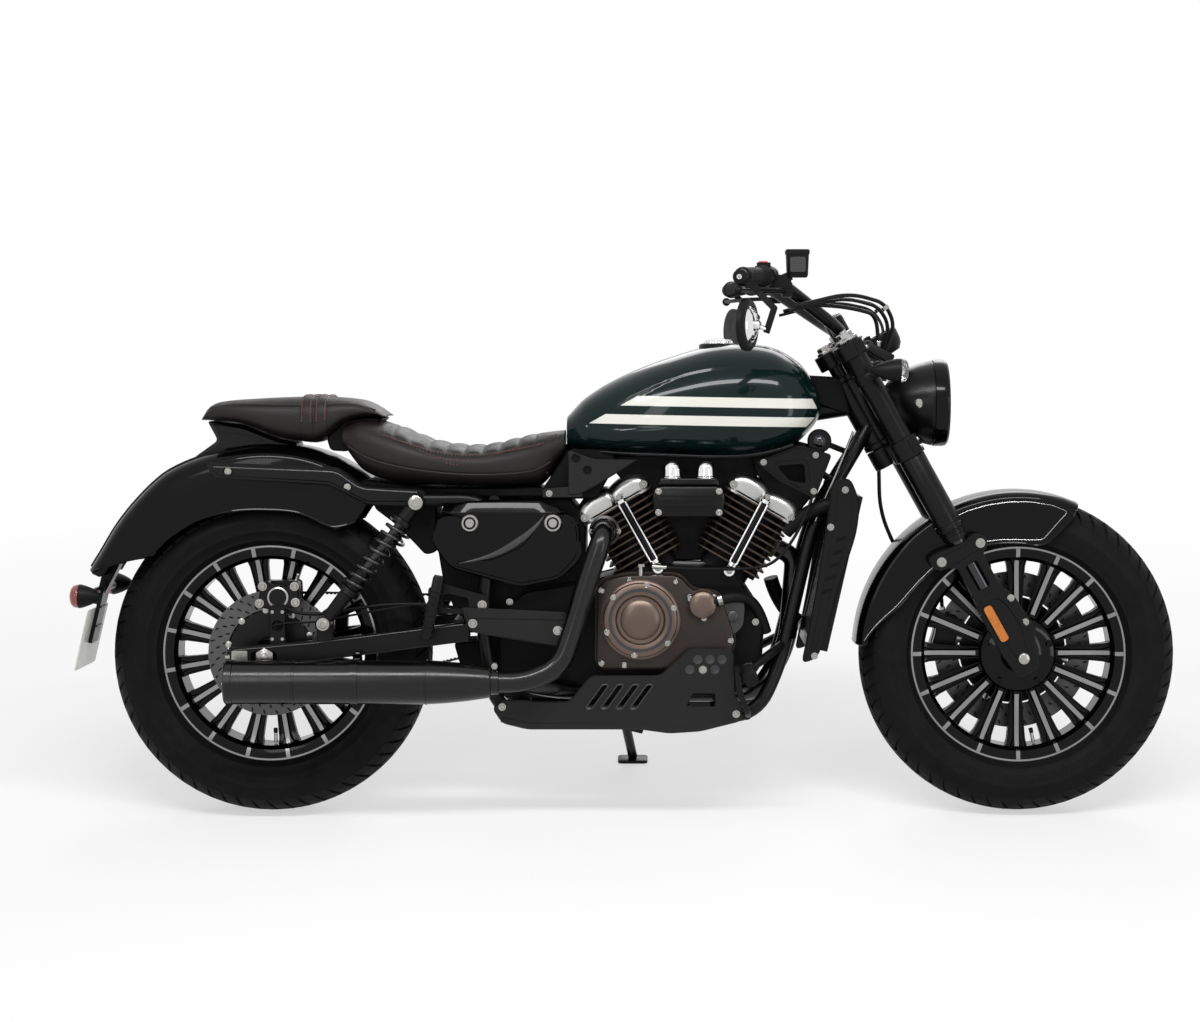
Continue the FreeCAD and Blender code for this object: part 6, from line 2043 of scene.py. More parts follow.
@dataclass(frozen=True)
class Cockpit:
    """The bar, by three places on its left half, and what it carries."""

    tip: Place = (187, 415, 1070)
    turn: Place = (248, 235, 1079)
    foot: Place = (397, 90, 970)
    lever: tuple[Place, ...] = ((222, 300, 1046), (205, 340, 1046), (182, 400, 1044), (177, 432, 1044))
    mirror_knee: Place = (245, 430, 1010)
    mirror_foot: Place = (231, 430, 966)
    mirror_back: Place = (189, 430, 979)
    bar_cable: tuple[Place, ...] = (
        (294, 226, 1019), (407, 150, 1047), (482, 90, 1028), (504, 60, 985), (488, 50, 934.5))
    inner_cable: tuple[Place, ...] = (
        (300, -196, 1024), (400, -140, 1020), (466, -62, 1006), (472, -52, 946.2))
    brake_hose: tuple[Place, ...] = (
        (484, 88, 694), (486, 91, 600), (530, 91, 500), (612, 84, 440), (614, 74, 398))


    def build(self, shop: Workshop) -> None:
        """Makes the bar's pieces."""
        self.handlebar(shop)
        self.mirrors(shop)
        self.control_lines(shop)

    def handlebar(self, shop: Workshop) -> None:
        """Makes the bar, its grips, the switch housings, the levers and the brake's reservoir."""
        shape = Shape()
        bends = [Vector(spot) for spot in (self.tip, self.turn, self.foot)]
        route = [sided(spot, -1) for spot in bends] + bends[::-1]
        shape.tube(route, 12.7, 0, 28, bend=62)
        shop.finished("handlebar_bent", shape, Body.STEERING, "satin_black", Finishes.SATIN_BLACK,
                      stands_for="handlebar")
        rubber, plastic = Shape(), Shape()
        for side in SIDES:
            way = (self.on_bar(side, 100) - self.on_bar(side, 0)).normalized()
            ribs = [(14, -3), (17.5, -2), (18.5, 0), (18.5, 3)]
            for index in range(17):
                ribs += [(16.2, 5 + index * 6), (17.1, 6 + index * 6), (17.1, 9.4 + index * 6),
                         (16.2, 10.4 + index * 6)]
            rubber.lathe(ribs + [(16.4, 109), (19.5, 111), (19.5, 117), (17, 118)], self.on_bar(side, 0), way,
                         0, 36)
            self.housing(plastic, shop, side, way)
        shop.finished("grips_ribbed", rubber, Body.STEERING, "rubber", Finishes.RUBBER, stands_for="grips")
        shop.finished("bar_controls_detailed", plastic, Body.STEERING, "black_plastic", Finishes.PLASTIC,
                      Finishes.BOLT, Finishes.RED_PLASTIC, Finishes.GREY_PLASTIC, Finishes.DIAL,
                      stands_for="bar_controls", edge=0.5)

    def mirrors(self, shop: Workshop) -> None:
        """Makes the bar-end mirrors: a rubber-edged round shell, a chrome dome on its back and a folded strap."""
        shape = Shape()
        for side in SIDES:
            tip = self.on_bar(side, -20)
            way = (self.on_bar(side, 0) - tip).normalized()
            shape.lathe([(6, -2), (13, -1), (14.5, 1), (14.5, 15), (13, 17.5)], tip, way, 0, 32)
            shop.bolts(shape, [tip], -way, 5, 1, Finishes.BOLT)
            knee, drop, back = (sided(Vector(spot), side) for spot in
                                (self.mirror_knee, self.mirror_foot, self.mirror_back))
            start = self.on_bar(side, -12)
            for lateral in (-4.2, 4.2):
                places = [start + point(3, side * (2 + lateral), 0), knee + LEFT * lateral,
                          drop + LEFT * lateral]
                for first, second in zip(places, places[1:]):
                    middle, run = (first + second) / 2, second - first
                    turn = basis(run, LEFT)
                    shape.box((2.6, 12, run.length + 5), middle, turn, 0)
            facing = (FORWARD * 0.93 + LEFT * side * 0.36).normalized()
            shape.rod(drop + UP * 4, back + facing * 24, 4.4, 1, 20, 0.6)
            shape.lathe([(49, 0), (50, 1.4), (50, 9), (46, 13), (40, 14.4), (36, 14.4), (36, 4)], back, facing,
                        0, 64)
            shape.lathe([(36.4, 10), (36.4, 13), (33, 15), (32, 14.4), (30, 17), (26, 19), (25, 18.4), (22, 21),
                         (14, 23.4), (0, 24)], back, facing, 1, 56)
            shape.lathe([(47.5, 1), (47.5, 0.2), (0, 0)], back + facing, facing, 2, 56)
            shape.lathe([(7, 22), (9, 23), (9, 30), (6, 32)], back, facing, 1, 24)
        shop.finished("mirrors_bar_end", shape, Body.STEERING, "black_plastic", Finishes.PLASTIC,
                      Finishes.CHROME, Finishes.MIRROR, stands_for="mirrors", crease=34)

    def control_lines(self, shop: Workshop) -> None:
        """Makes the cables and the front brake's hose, with their bands and end fittings."""
        shape = Shape()
        for side in SIDES:
            loop = [sided(Vector(spot), side) for spot in self.bar_cable]
            shape.tube(loop, 4, 0, 14, bend=70)
            shape.tube([spot + point(-9, 4, -9) for spot in loop], 3.2, 0, 12, bend=70)
            shape.lathe([(7.5, 0), (7.5, 8), (7.5, 8.2)], loop[2] + point(-2, 0, -6), FORWARD + UP * -1.4, 1,
                        16)
        inner, hose = ([Vector(spot) for spot in line] for line in (self.inner_cable, self.brake_hose))
        shape.tube(inner, 4, 0, 14, bend=50)
        
        shape.tube(hose, 4, 0, 14, bend=60)
        for place, way in ((hose[0], UP), (hose[-1], UP), (inner[-1], -UP)):
            shape.lathe([(5.4, -7), (6, -6), (6, 6), (5, 8)], place, way, 1, 6)
        shop.finished("control_cables", shape, Body.STEERING, "rubber", Finishes.HOSE, Finishes.BOLT,
                      stands_for="bar_cables")

    def on_bar(self, side: int, run: float) -> Vector:
        """Returns a place on the bar's outer run, measured inward from its end."""
        tip, turn = Vector(self.tip), Vector(self.turn)
        return sided(tip + (turn - tip).normalized() * run, side)

    def housing(self, shape: Shape, shop: Workshop, side: int, way: Vector) -> None:
        """Adds one side's switch housing, perch, lever and, on the right, the brake's reservoir.

        Args:
            shape: The shape that takes them.
            shop: Where the bolts come from.
            side: 1 for the left, -1 for the right.
            way: The bar's way, inward from its end.
        """
        shape.lathe([(18, 118.5), (21, 120), (22.4, 124), (22.4, 134.6), (21.9, 135), (21.9, 135.8),
                     (22.4, 136.2), (22.4, 150), (20, 155)], self.on_bar(side, 0), way, 0, 40)
        perch = self.on_bar(side, 170)
        shape.lathe([(16.5, 156), (18, 157), (18, 181), (16.5, 182)], self.on_bar(side, 0), way, 0, 32)
        hinge = perch + point(40, side * -4, -32)
        shape.box((44, 22, 26), perch + point(22, 0, -12), None, 0)
        shape.box((20, 26, 28), hinge - point(4, 0, -4), None, 0)
        shop.bolts(shape, [hinge + point(-2, 0, 17)], UP, 5, 1, Finishes.BOLT)
        blade = [hinge] + [sided(Vector(spot), side) for spot in self.lever]
        rings, line = [], smooth_line(blade)
        angles = [math.tau * step / 14 for step in range(14)]
        for index, spot in enumerate(line):
            turn = basis(line[min(index + 1, len(line) - 1)] - line[max(index - 1, 0)], UP)
            rings.append([spot + turn @ point(math.cos(angle) * 4.2, math.sin(angle) * 7.0, 0)
                          for angle in angles])
        shape.skin(rings, 0)
        shape.ball(blade[-1], 9, 0)
        top = self.on_bar(side, 137) + UP * 20
        shape.box((26, 28, 10), top, None, 0)
        shape.box((17, 14, 5), top + point(-1, 0, 5), None, 2 if side < 0 else 3)
        shape.lathe([(6, 0), (6, 5), (5, 6)], self.on_bar(side, 128) + point(-21, 0, 4), -FORWARD, 3, 20)
        shape.box((7, 16, 9), self.on_bar(side, 144) + point(-21, 0, -4), None, 3)
        if side > 0:
            return
        centre = perch + point(56, 2, 23)
        cup = rounded(((-22, -24), (22, -24), (22, 24), (-22, 24)), 8)
        shape.stacked(cup, ((-27, 0.84), (-23, 0.92), (18, 1), (18.2, 1.06), (25, 1.06), (27, 0.98)),
                      lambda spot: centre + spot)
        sight = rounded(((-15, -17), (15, -17), (15, 12), (-15, 12)), 4)
        shape.skin([[centre + point(x, y, z) for x, z in sight] for y in (-22, -25.4)], 4)
        shop.bolts(shape, [centre + point(x, y, 26) for x, y in ((-16, -16), (16, 16))], UP, 3.4, 1,
                   Finishes.BOLT, 1.4)
        shape.rod(perch + point(30, 2, -6), perch + point(44, 2, 0), 9, 0, 20)


@dataclass(frozen=True)
class FrontBrake:
    """The front brake's caliper: its place about the axle, and how far it leans, in degrees."""

    angle: float = 168.0
    reach: float = 144.0
    side: float = 64.0
    lean: float = 12.0

    def build(self, shop: Workshop) -> None:
        """Makes the front caliper, with its piston caps, its bolts and the arm that holds it."""
        size = shop.size
        shape = Shape()
        turn = Matrix.Rotation(math.radians(self.lean), 3, "Y")
        centre = about(size.front_axle, self.angle, self.reach, self.side)
        outline = rounded(((-25, -46), (20, -46), (25, -20), (25, 20), (20, 46), (-25, 46), (-20, 0)), 8)
        for near, far, by in ((-31, -10, -1), (-2.5, 31, 0)):
            shape.panel(grown(outline, by), (near, far), 0, (), 2.0, lambda x, y, z: centre + turn
                        @ point(x, y, z))
        for z in (-38, 38):
            shape.box((30, 60, 14), centre + turn @ point(-6, 0, z), turn, 0)
        for z in (-19, 19):
            shape.lathe([(17, 30), (17, 32), (14, 33), (13, 31.6), (0, 31.6)], centre + turn @ point(0, 0, z),
                        LEFT, 1, 32)
        shop.bolts(shape, [centre + turn @ point(-14, 30, z) for z in (-38, 38)], LEFT, 5.4, 2, Finishes.BOLT)
        arm = size.front_axle + point(-74, 74.8, 30)
        shape.panel(rounded(((-58, -20), (58, -14), (58, 14), (-58, 20)), 8), (-6.8, 6.8), 0, (), 1.5,
                    lambda x, y, z: arm + point(x, y, z))
        shop.finished("front_caliper_cast", shape, Body.STEERING, "satin_black", Finishes.SATIN_BLACK,
                      Finishes.GREY, Finishes.BOLT, stands_for="front_caliper")


# ------------------------------------------------------------------------------------------------ middle
def mirrored_panels(shape: Shape, outline: Sequence[Spot], sides: Spot, finish: int = 0, corner: float = 8.0,
                    holes: Sequence[Sequence[Spot]] = (), edge: float = 2.0) -> None:
    """Adds a panel on both sides of the machine, with its corners rounded."""
    for side in SIDES:
        shape.panel(rounded(outline, corner), [side * y for y in sides], finish, holes, edge)


def mirrored_bolts(shop: Workshop, shape: Shape, places: Sequence[Spot], y: float, radius: float,
                   finish: int) -> None:
    """Adds bolts at (x, z) places on both sides, their heads facing out."""
    for side in SIDES:
        shop.bolts(shape, [point(x, side * y, z) for x, z in places], LEFT * side, radius, finish,
                   Finishes.BOLT)


@dataclass(frozen=True)
class Frame:
    """The frame: half its cradle's width, its rails' height, and each inner box's outline and half width."""

    half: float = 112.0
    height: float = 205.0
    horn_notches: int = 14
    boxes: tuple[tuple[tuple[Spot, ...], float], ...] = (
        (((52, 510), (126, 510), (150, 590), (236, 690), (236, 722), (-62, 722), (-62, 690), (28, 590)), 50),
        (((-150, 690), (320, 690), (340, 742), (300, 752), (-150, 744)), 44),
        (((212, 742), (320, 748), (366, 716), (338, 640), (300, 596), (262, 636), (222, 690)), 66),
        (((-402, 634), (-150, 636), (-118, 596), (-118, 470), (-240, 448), (-292, 396), (-292, 262),
          (-316, 262), (-322, 372), (-380, 406), (-405, 470), (-420, 560)), 74),
        (((322, 884), (394, 880), (408, 838), (418, 802), (356, 822), (338, 850)), 32),
        (((-545, 642), (-418, 638), (-418, 528), (-441, 522), (-463, 546), (-504, 586), (-544, 616)), 70),
        (((-385, 345), (-300, 350), (-300, 262), (-345, 262), (-372, 300)), 60),
        (((-640, 758), (-604, 792), (-560, 800), (-524, 798), (-560, 768), (-596, 730), (-632, 732)), 72),
        (((-566, 676), (-430, 658), (-205, 658), (-196, 640), (-440, 640), (-580, 656)), 92),
        (((-212, 636), (-96, 636), (-60, 700), (-60, 735), (-150, 735), (-200, 664)), 88))

    def build(self, shop: Workshop) -> None:
        """Makes the frame's pieces."""
        self.tubes(shop)
        self.inner_covers(shop)
        self.head_plates(shop)

    def tubes(self, shop: Workshop) -> None:
        """Makes the frame: head, spine, double cradle, cross tubes, mounts and gussets."""
        size, half, height = shop.size, self.half, self.height
        shape = Shape()
        stem = size.on_fork(500, 0, -40)
        shape.lathe([(24, 0), (30, 1), (30, 10), (27, 13), (27, 149), (30, 152), (30, 161), (24, 162)], stem,
                    size.up_fork, 0, 40)
        shape.tube([size.on_fork(600, 0, -40), point(-150, 0, 735), point(-300, 0, 628)], 22, 0, 28, bend=110)
        for side in SIDES:
            route = [stem + point(-24, 16, 40)] + [Vector(spot) for spot in (
                (340, 62, 590), (270, 84, 300), (222, half, height), (-295, half, height), (-325, half, 385),
                (-300, half, 636), (-440, half, 636))]
            shape.tube([sided(spot, side) for spot in route], 14, 0, 24, bend=70)
            shape.rod(sided(point(-325, 112, 385), side), sided(point(-325, 139.7, 385), side), 13, 0, 24, 1)
            shape.rod(sided(point(-325, 112, 425), side), sided(point(-325, 132, 425), side), 9, 0, 20, 1)
            shape.rod(sided(point(384, 44, 668), side), sided(point(350, 92, 690), side), 7, 0, 16)
            gusset = rounded(((-318, 560), (-290, 636), (-380, 636), (-372, 620), (-322, 606)), 8)
            shape.panel(gusset, (side * 108, side * 114), 0)
        for x, z in ((-300, 632), (150, height), (-250, height)):
            shape.rod(point(x, -half, z), point(x, half, z), 12, 0, 24)
        for x in (150, -250):
            shape.box((36, 90, 34.7), point(x, 0, 222.35))
        shape.box((20, 223.4, 28), point(-135, 0, 704))
        for x in (100, -200):
            shape.rod(point(x, -half, height), point(x, -138.7, height), 7, 0, 16)
        strip = rounded(((-204, 639), (-204, 657), (-152, 661), (-126, 657), (-122, 640)), 5)
        mirrored_panels(shape, strip, (111.5, 117.5), 1, 4, (), 1.6)
        mirrored_bolts(shop, shape, ((-190, 648),), 117.4, 4.4, 2)
        shop.finished("frame_welded", shape, Body.CHASSIS, "satin_black", Finishes.SATIN_BLACK,
                      Finishes.SATIN_GREY, Finishes.BOLT, stands_for="frame")

    def inner_covers(self, shop: Workshop) -> None:
        """Makes the black boxes inside the frame: airbox, tank tunnel, neck cover and battery box."""
        shape = Shape()
        for outline, half in self.boxes:
            shape.panel(rounded(outline, 9), (-half, half), 0, (), 3.0)
        for x in (-350, -290, -230):
            shape.box((3, 152, 150), point(x, 0, 540))
        shop.finished("inner_covers_moulded", shape, Body.CHASSIS, "black_plastic", Finishes.MATT_BLACK)

    def head_plates(self, shop: Workshop) -> None:
        """Makes the windowed plates under the tank's nose, the horn, and the thin rods ahead of them."""
        shape = Shape()
        outline = ((220, 711), (310.5, 745), (374.8, 725), (340.6, 635.5), (270, 671))
        window = rounded(((266, 702), (318, 706), (322, 668), (290, 674)), 5)
        mirrored_panels(shape, outline, (98.3, 104.3), 0, 8, (window,), 1.2)
        lip = rounded(((230, 711), (311, 740), (368, 722), (336, 644), (273, 676)), 6)
        for side in SIDES:
            shape.panel(lip, (side * 103.6, side * 105.6), 0, (grown(window, 9),), 0.8)
        mirrored_bolts(shop, shape, ((238, 710), (342, 724), (338, 652)), 105.4, 4.2, 1)
        horn = point(350.5, 0, 752)
        shape.lathe([(8, 70), (18, 73), (24, 79), (24, 88), (21, 91), (15.5, 91.4)], horn, -LEFT, 0, 40)
        notch = Shape()
        notch.rod(point(21.5, 84, 0), point(21.5, 92.2, 0), 2.8, 0, 10, 0.6)
        ring = Shape()
        shop.ringed(ring, notch, self.horn_notches, Vector(), 0, Finishes.SATIN_BLACK)
        shape.add(ring, Matrix.Translation(horn) @ Matrix.Rotation(math.pi, 4, "X"), 0)
        shape.lathe([(15.6, 88), (14.6, 91), (13.8, 91.4), (12.6, 91), (11.8, 93.4), (8, 95.6), (7, 95),
                     (4, 96.4), (0, 96.8)], horn, -LEFT, 2, 48)
        shape.rod(horn - LEFT * 74, point(420, -29, 724), 6, 0, 16)
        for x in (0, 9):
            shape.tube([point(430 - x, -52, 770), point(402 - x, -66, 700), point(372 - x, -70, 640),
                        point(352 - x, -72, 590)], 2.6, 1 if x else 3, 10)
        shop.finished("head_plates_pressed", shape, Body.CHASSIS, "satin_black", Finishes.SATIN_BLACK,
                      Finishes.BOLT, Finishes.DARK_CHROME, Finishes.RUBBER, stands_for="head_plates", crease=32)


@dataclass(frozen=True)
class Radiator:
    """The radiator and its side covers."""

    fins: int = 35
    tubes: int = 22
    slots: int = 5
    first_slot: tuple[Spot, ...] = ((382, 560), (402, 566), (400, 558), (380, 552))

    def build(self, shop: Workshop) -> None:
        """Makes the core, then the covers."""
        self.core(shop)
        self.covers(shop)

    def core(self, shop: Workshop) -> None:
        """Makes the radiator: a core of fins and tubes in a tank frame, its cap and its hoses."""
        shape = Shape()
        centre, turn = point(378, 0, 492), Matrix.Rotation(math.radians(13), 3, "Y")

        def at(x: float, y: float, z: float) -> Vector:
            """Returns a place by the leaned core's own directions."""
            return centre + turn @ point(x, y, z)

        shape.box((30, 214, 272), centre, turn, 3)
        for z in (-147, 147):
            shape.box((44, 240, 22), at(0, 0, z), turn, 0)
        for y in (-114, 114):
            shape.box((44, 20, 316), at(0, y, 0), turn, 0)
        fin = Shape()
        fin.box((38, 1.0, 270), Vector())
        fins = Shape()
        shop.rowed(fins, fin, self.fins, point(0, -102, 0), point(0, 6, 0), 0, Finishes.GREY)
        tube = Shape()
        tube.box((36, 208, 2.4), Vector())
        shop.rowed(fins, tube, self.tubes, point(0, 0, -126), point(0, 0, 12), 0, Finishes.GREY)
        shape.add(fins, Matrix.Translation(centre) @ turn.to_4x4(), 1)
        shape.lathe([(18, 0), (18, 5), (16, 8), (16, 12), (10, 14)], at(0, 70, 157), turn @ UP, 2, 32)
        for side, z in ((-1, 130), (1, -130)):
            shape.tube([at(-20, side * 90, z), at(-50, side * 88, z), at(-90, side * 74, z * 0.7),
                        at(-110, side * 66, z * 0.4)], 15, 4, 24)
            shape.lathe([(17, 0), (17, 9), (16.8, 9.2)], at(-28, side * 90, z), turn @ -FORWARD, 2, 28)
        shop.finished("radiator_cored", shape, Body.CHASSIS, "satin_black", Finishes.SATIN_BLACK, Finishes.GREY,
                      Finishes.BOLT, Finishes.MATT_BLACK, Finishes.RUBBER, stands_for="radiator")

    def covers(self, shop: Workshop) -> None:
        """Makes the covers beside it, with a raised field and five slots each."""
        covers = Shape()
        outline = ((372.7, 672), (409, 682), (429, 632), (423, 572), (383, 451), (356, 350), (342, 320),
                   (312, 310), (336, 431), (363, 592))
        mirrored_panels(covers, outline, (125.3, 134.4), 0, 30, (), 3.0)
        rib = ((384, 660), (401, 664), (415, 628), (409, 578), (370, 452), (346, 356), (334, 332), (330, 340),
               (350, 434), (377, 590))
        for side in SIDES:
            covers.panel(rounded(rib, 20), (side * 133, side * 135.3), 0, (), 1.2)
            for index in range(self.slots):
                slot = [(x - index * 7, z - index * 26) for x, z in self.first_slot]
                covers.panel(rounded(slot, 2), (side * 134.6, side * 136.2), 1, (), 0.4)
        mirrored_bolts(shop, covers, ((370, 582), (399, 656), (338, 326)), 135.6, 4.6, 2)
        shop.finished("radiator_covers_moulded", covers, Body.CHASSIS, "satin_black", Finishes.SATIN_BLACK,
                      Finishes.MATT_BLACK, Finishes.BOLT, stands_for="radiator_covers", crease=32)


@dataclass(frozen=True)
class Crankcase:
    """The crankcase: its outline, half its width, and its bosses."""

    outline: tuple[Spot, ...] = ((-286, 240), (170, 240), (232, 300), (238, 400), (176, 496), (6, 500),
                                 (-110, 470), (-240, 452), (-296, 400))
    half: float = 95.0
    bosses: tuple[Spot, ...] = ((-270, 262), (-270, 430), (-100, 452), (20, 486), (160, 482), (222, 390),
                                (216, 304), (150, 252))
    sump_fins: int = 4

    def build(self, shop: Workshop) -> None:
        """Makes the crankcase, with its bosses, its sump fins and the drive pulley."""
        shape = Shape()
        outline = rounded(self.outline, 16)
        shape.panel(outline, (-self.half, self.half), 0, (), 4.0)
        for y in (-86, 86):
            shape.panel(grown(outline, 2.5), (y - 3, y + 3), 0, (), 1.0)
        for x, z in self.bosses:
            for side in SIDES:
                shape.rod(point(x, side * 82, z), point(x, side * 97, z), 8.5, 0, 16, 1)
        mirrored_bolts(shop, shape, ((-270, 262), (-270, 430), (-100, 452), (222, 390), (216, 304)), 97, 4.6, 1)
        fin = Shape()
        fin.box((260, 176, 3), Vector())
        shop.rowed(shape, fin, self.sump_fins, point(-40, 0, 224), point(0, 0, 5), 0, Finishes.MATT_BLACK)
        shape.lathe([(34, 96), (45, 97), (45, 93), (30, 93)], point(-262, -18, 378), LEFT, 1, 48)
        shop.finished("engine_case_cast", shape, Body.CHASSIS, "satin_black", Finishes.MATT_BLACK,
                      Finishes.BOLT, stands_for="engine_case", crease=34)


@dataclass(frozen=True)
class Header:
    """The exhaust's two pipes, each along its middle line."""

    front: tuple[Place, ...] = ((268.2, 0, 533.5), (304, 0, 512.8), (290, 0, 330), (232, -40, 250),
                                (188, -68, 246), (-120, -68, 246), (-205, -150, 268), (-240, -188, 281))
    rear: tuple[Place, ...] = ((-80, -86.3, 572), (-80, -170, 572), (-112, -173, 480), (-135, -174, 400),
                               (-165, -183, 310), (-235, -196, 281), (-300, -196, 281))

    def build(self, shop: Workshop) -> None:
        """Makes both pipes, with their flanges and the collar ahead of the muffler."""
        header = Shape()
        front, rear = ([Vector(spot) for spot in pipe] for pipe in (self.front, self.rear))
        header.tube(front, 19, 0, 24, bend=52)
        header.lathe([(30, 0), (30, 7), (24, 9), (22, 16)], front[0] - point(12, 0, -6), front[1] - front[0], 0,
                     6)
        header.tube(rear, 21, 0, 32, bend=58)
        header.lathe([(31, 0), (31, 6), (26, 8), (23, 14)], rear[0] - LEFT * 10, -LEFT, 0, 32)
        shop.bolts(header, [point(x, -102, 572) for x in (-106, -54)], -LEFT, 4.6, 1, Finishes.BOLT)
        header.lathe([(22, -5), (24.6, -4), (24.6, 14), (22, 15)], rear[-1], FORWARD, 0, 40)
        header.box((10, 9, 20), rear[-1] + point(6, 0, 30), None, 0)
        shop.bolts(header, [rear[-1] + point(6, -5, 32)], -LEFT, 4, 1, Finishes.BOLT)
        shop.finished("exhaust_header_bent", header, Body.CHASSIS, "satin_black", Finishes.EXHAUST,
                      Finishes.BOLT, stands_for="exhaust_header")


@dataclass(frozen=True)
class SideCovers:
    """The gloss covers under the seat and the grey covers of the frame, on both sides."""

    outline: tuple[Spot, ...] = ((-427, 556), (-408, 606), (-160, 610), (-129, 592), (-125, 517), (-169, 477),
                                 (-248, 461), (-387, 501))
    sweep: tuple[Spot, ...] = ((-196, 610), (-148, 598), (-134, 580), (-134, 524), (-172, 484), (-246, 470),
                               (-374, 504), (-372, 514), (-300, 518), (-240, 546))
    step_edge: tuple[Spot, ...] = ((-198, 606), (-214, 576), (-250, 542), (-306, 517), (-368, 510))
    bolts: tuple[Spot, ...] = ((-347, 590), (-182, 590))
    rail: tuple[Spot, ...] = (
        (112, -1), (134, -1), (137.6, -0.75), (138.2, -0.5), (137.9, -0.26), (137.5, -0.2), (130.4, 0.7),
        (129.8, 0.76), (126.5, 0.9), (119, 1), (112, 1))

    def build(self, shop: Workshop) -> None:
        """Makes both pairs."""
        self.gloss_covers(shop)
        self.frame_covers(shop)

    def gloss_covers(self, shop: Workshop) -> None:
        """Makes the gloss side covers, with their upper rail, their swept step with a grey ribbon along its edge
        as a painted highlight, and two big bolts each.
        """
        shape = Shape()
        mirrored_panels(shape, self.outline, (126.3, 134.6), 0, 16, (), 3.0)
        mirrored_panels(shape, self.sweep, (133.6, 137.4), 0, 14, (), 1.6)
        for side in SIDES:
            rows = []
            for step in range(25):
                x = -404 + 246 * step / 24
                middle, half = 614 + 2 * math.sin(math.pi * step / 24), 19 * min(step, 24 - step, 5) / 5 + 1
                rows.append([point(x, side * y, middle + half * up) for y, up in self.rail])
            shape.skin(rows, 0)
            # A grey ribbon along the swept step's edge paints the highlight that the edge catches.
            step_highlight = smooth_line([point(x, side * 137.2, z) for x, z in self.step_edge])
            rows = []
            for index, spot in enumerate(step_highlight):
                wide = 14 * math.sin(math.pi * index / (len(step_highlight) - 1)) + 2
                rows.append([spot + point(-across * 0.55, side * rise, across * 0.55) for across, rise in
                             ((wide, 0.2), (wide * 0.5, 1.0), (0.0, 0.9), (0.0, -1.5), (wide, -1.5))])
            shape.skin(rows, 1)
        for x, z in self.bolts:
            for side in SIDES:
                at = point(x, side * 133, z)
                shape.lathe([(19, 0), (19, 5), (17, 6.4)], at, LEFT * side, 0, 32)
                shape.lathe([(17, 5), (17, 8), (15.5, 9.4), (12.5, 9.4), (11.5, 5)], at, LEFT * side, 2, 40)
                shape.lathe([(9, 5), (9, 9), (8, 10), (4.6, 10), (4.4, 7)], at, LEFT * side, 2, 24)
        shop.finished("side_covers_moulded", shape, Body.CHASSIS, "black_paint", Finishes.GLOSS_BLACK,
                      Finishes.GREY, Finishes.BOLT, stands_for="side_covers", crease=32)

    def frame_covers(self, shop: Workshop) -> None:
        """Makes the grey covers over the frame: one behind the tank, one over the pivot."""
        covers = Shape()
        frame_cover = ((-153, 735), (-100, 716), (-10, 716), (-110, 655), (-130, 645), (-152, 645))
        
        bosses = ((-137, 718), (-114, 694))
        holes = [disc_outline(x, z, 7.5) for x, z in bosses]
        mirrored_panels(covers, frame_cover, (112, 119.4), 0, 9, holes, 2.4)
        for side in SIDES:
            for x, z in bosses:
                covers.lathe([(7.4, 0), (7.4, 3), (7, 3.4)], point(x, side * 112.2, z), LEFT * side, 1, 20)
        band = ((-152, 646), (-131, 646), (-112, 656), (-112, 668), (-152, 664))
        mirrored_panels(covers, band, (117, 120.4), 0, 5, (), 1.2)
        pivot_cover = ((-366, 424), (-152, 414), (-158, 342), (-346, 375))
        mirrored_panels(covers, pivot_cover, (140, 150), 0, 10, (), 3.0)
        upper = ((-356, 420), (-160, 411), (-160, 398), (-350, 402))
        mirrored_panels(covers, upper, (149, 152), 0, 5, (), 1.4)
        mirrored_bolts(shop, covers, ((-340, 392), (-172, 378)), 150.4, 6.0, 2)
        shop.finished("frame_covers_moulded", covers, Body.CHASSIS, "satin_black", Finishes.SATIN_GREY,
                      Finishes.MATT_BLACK, Finishes.BOLT, stands_for="frame_covers", crease=32)


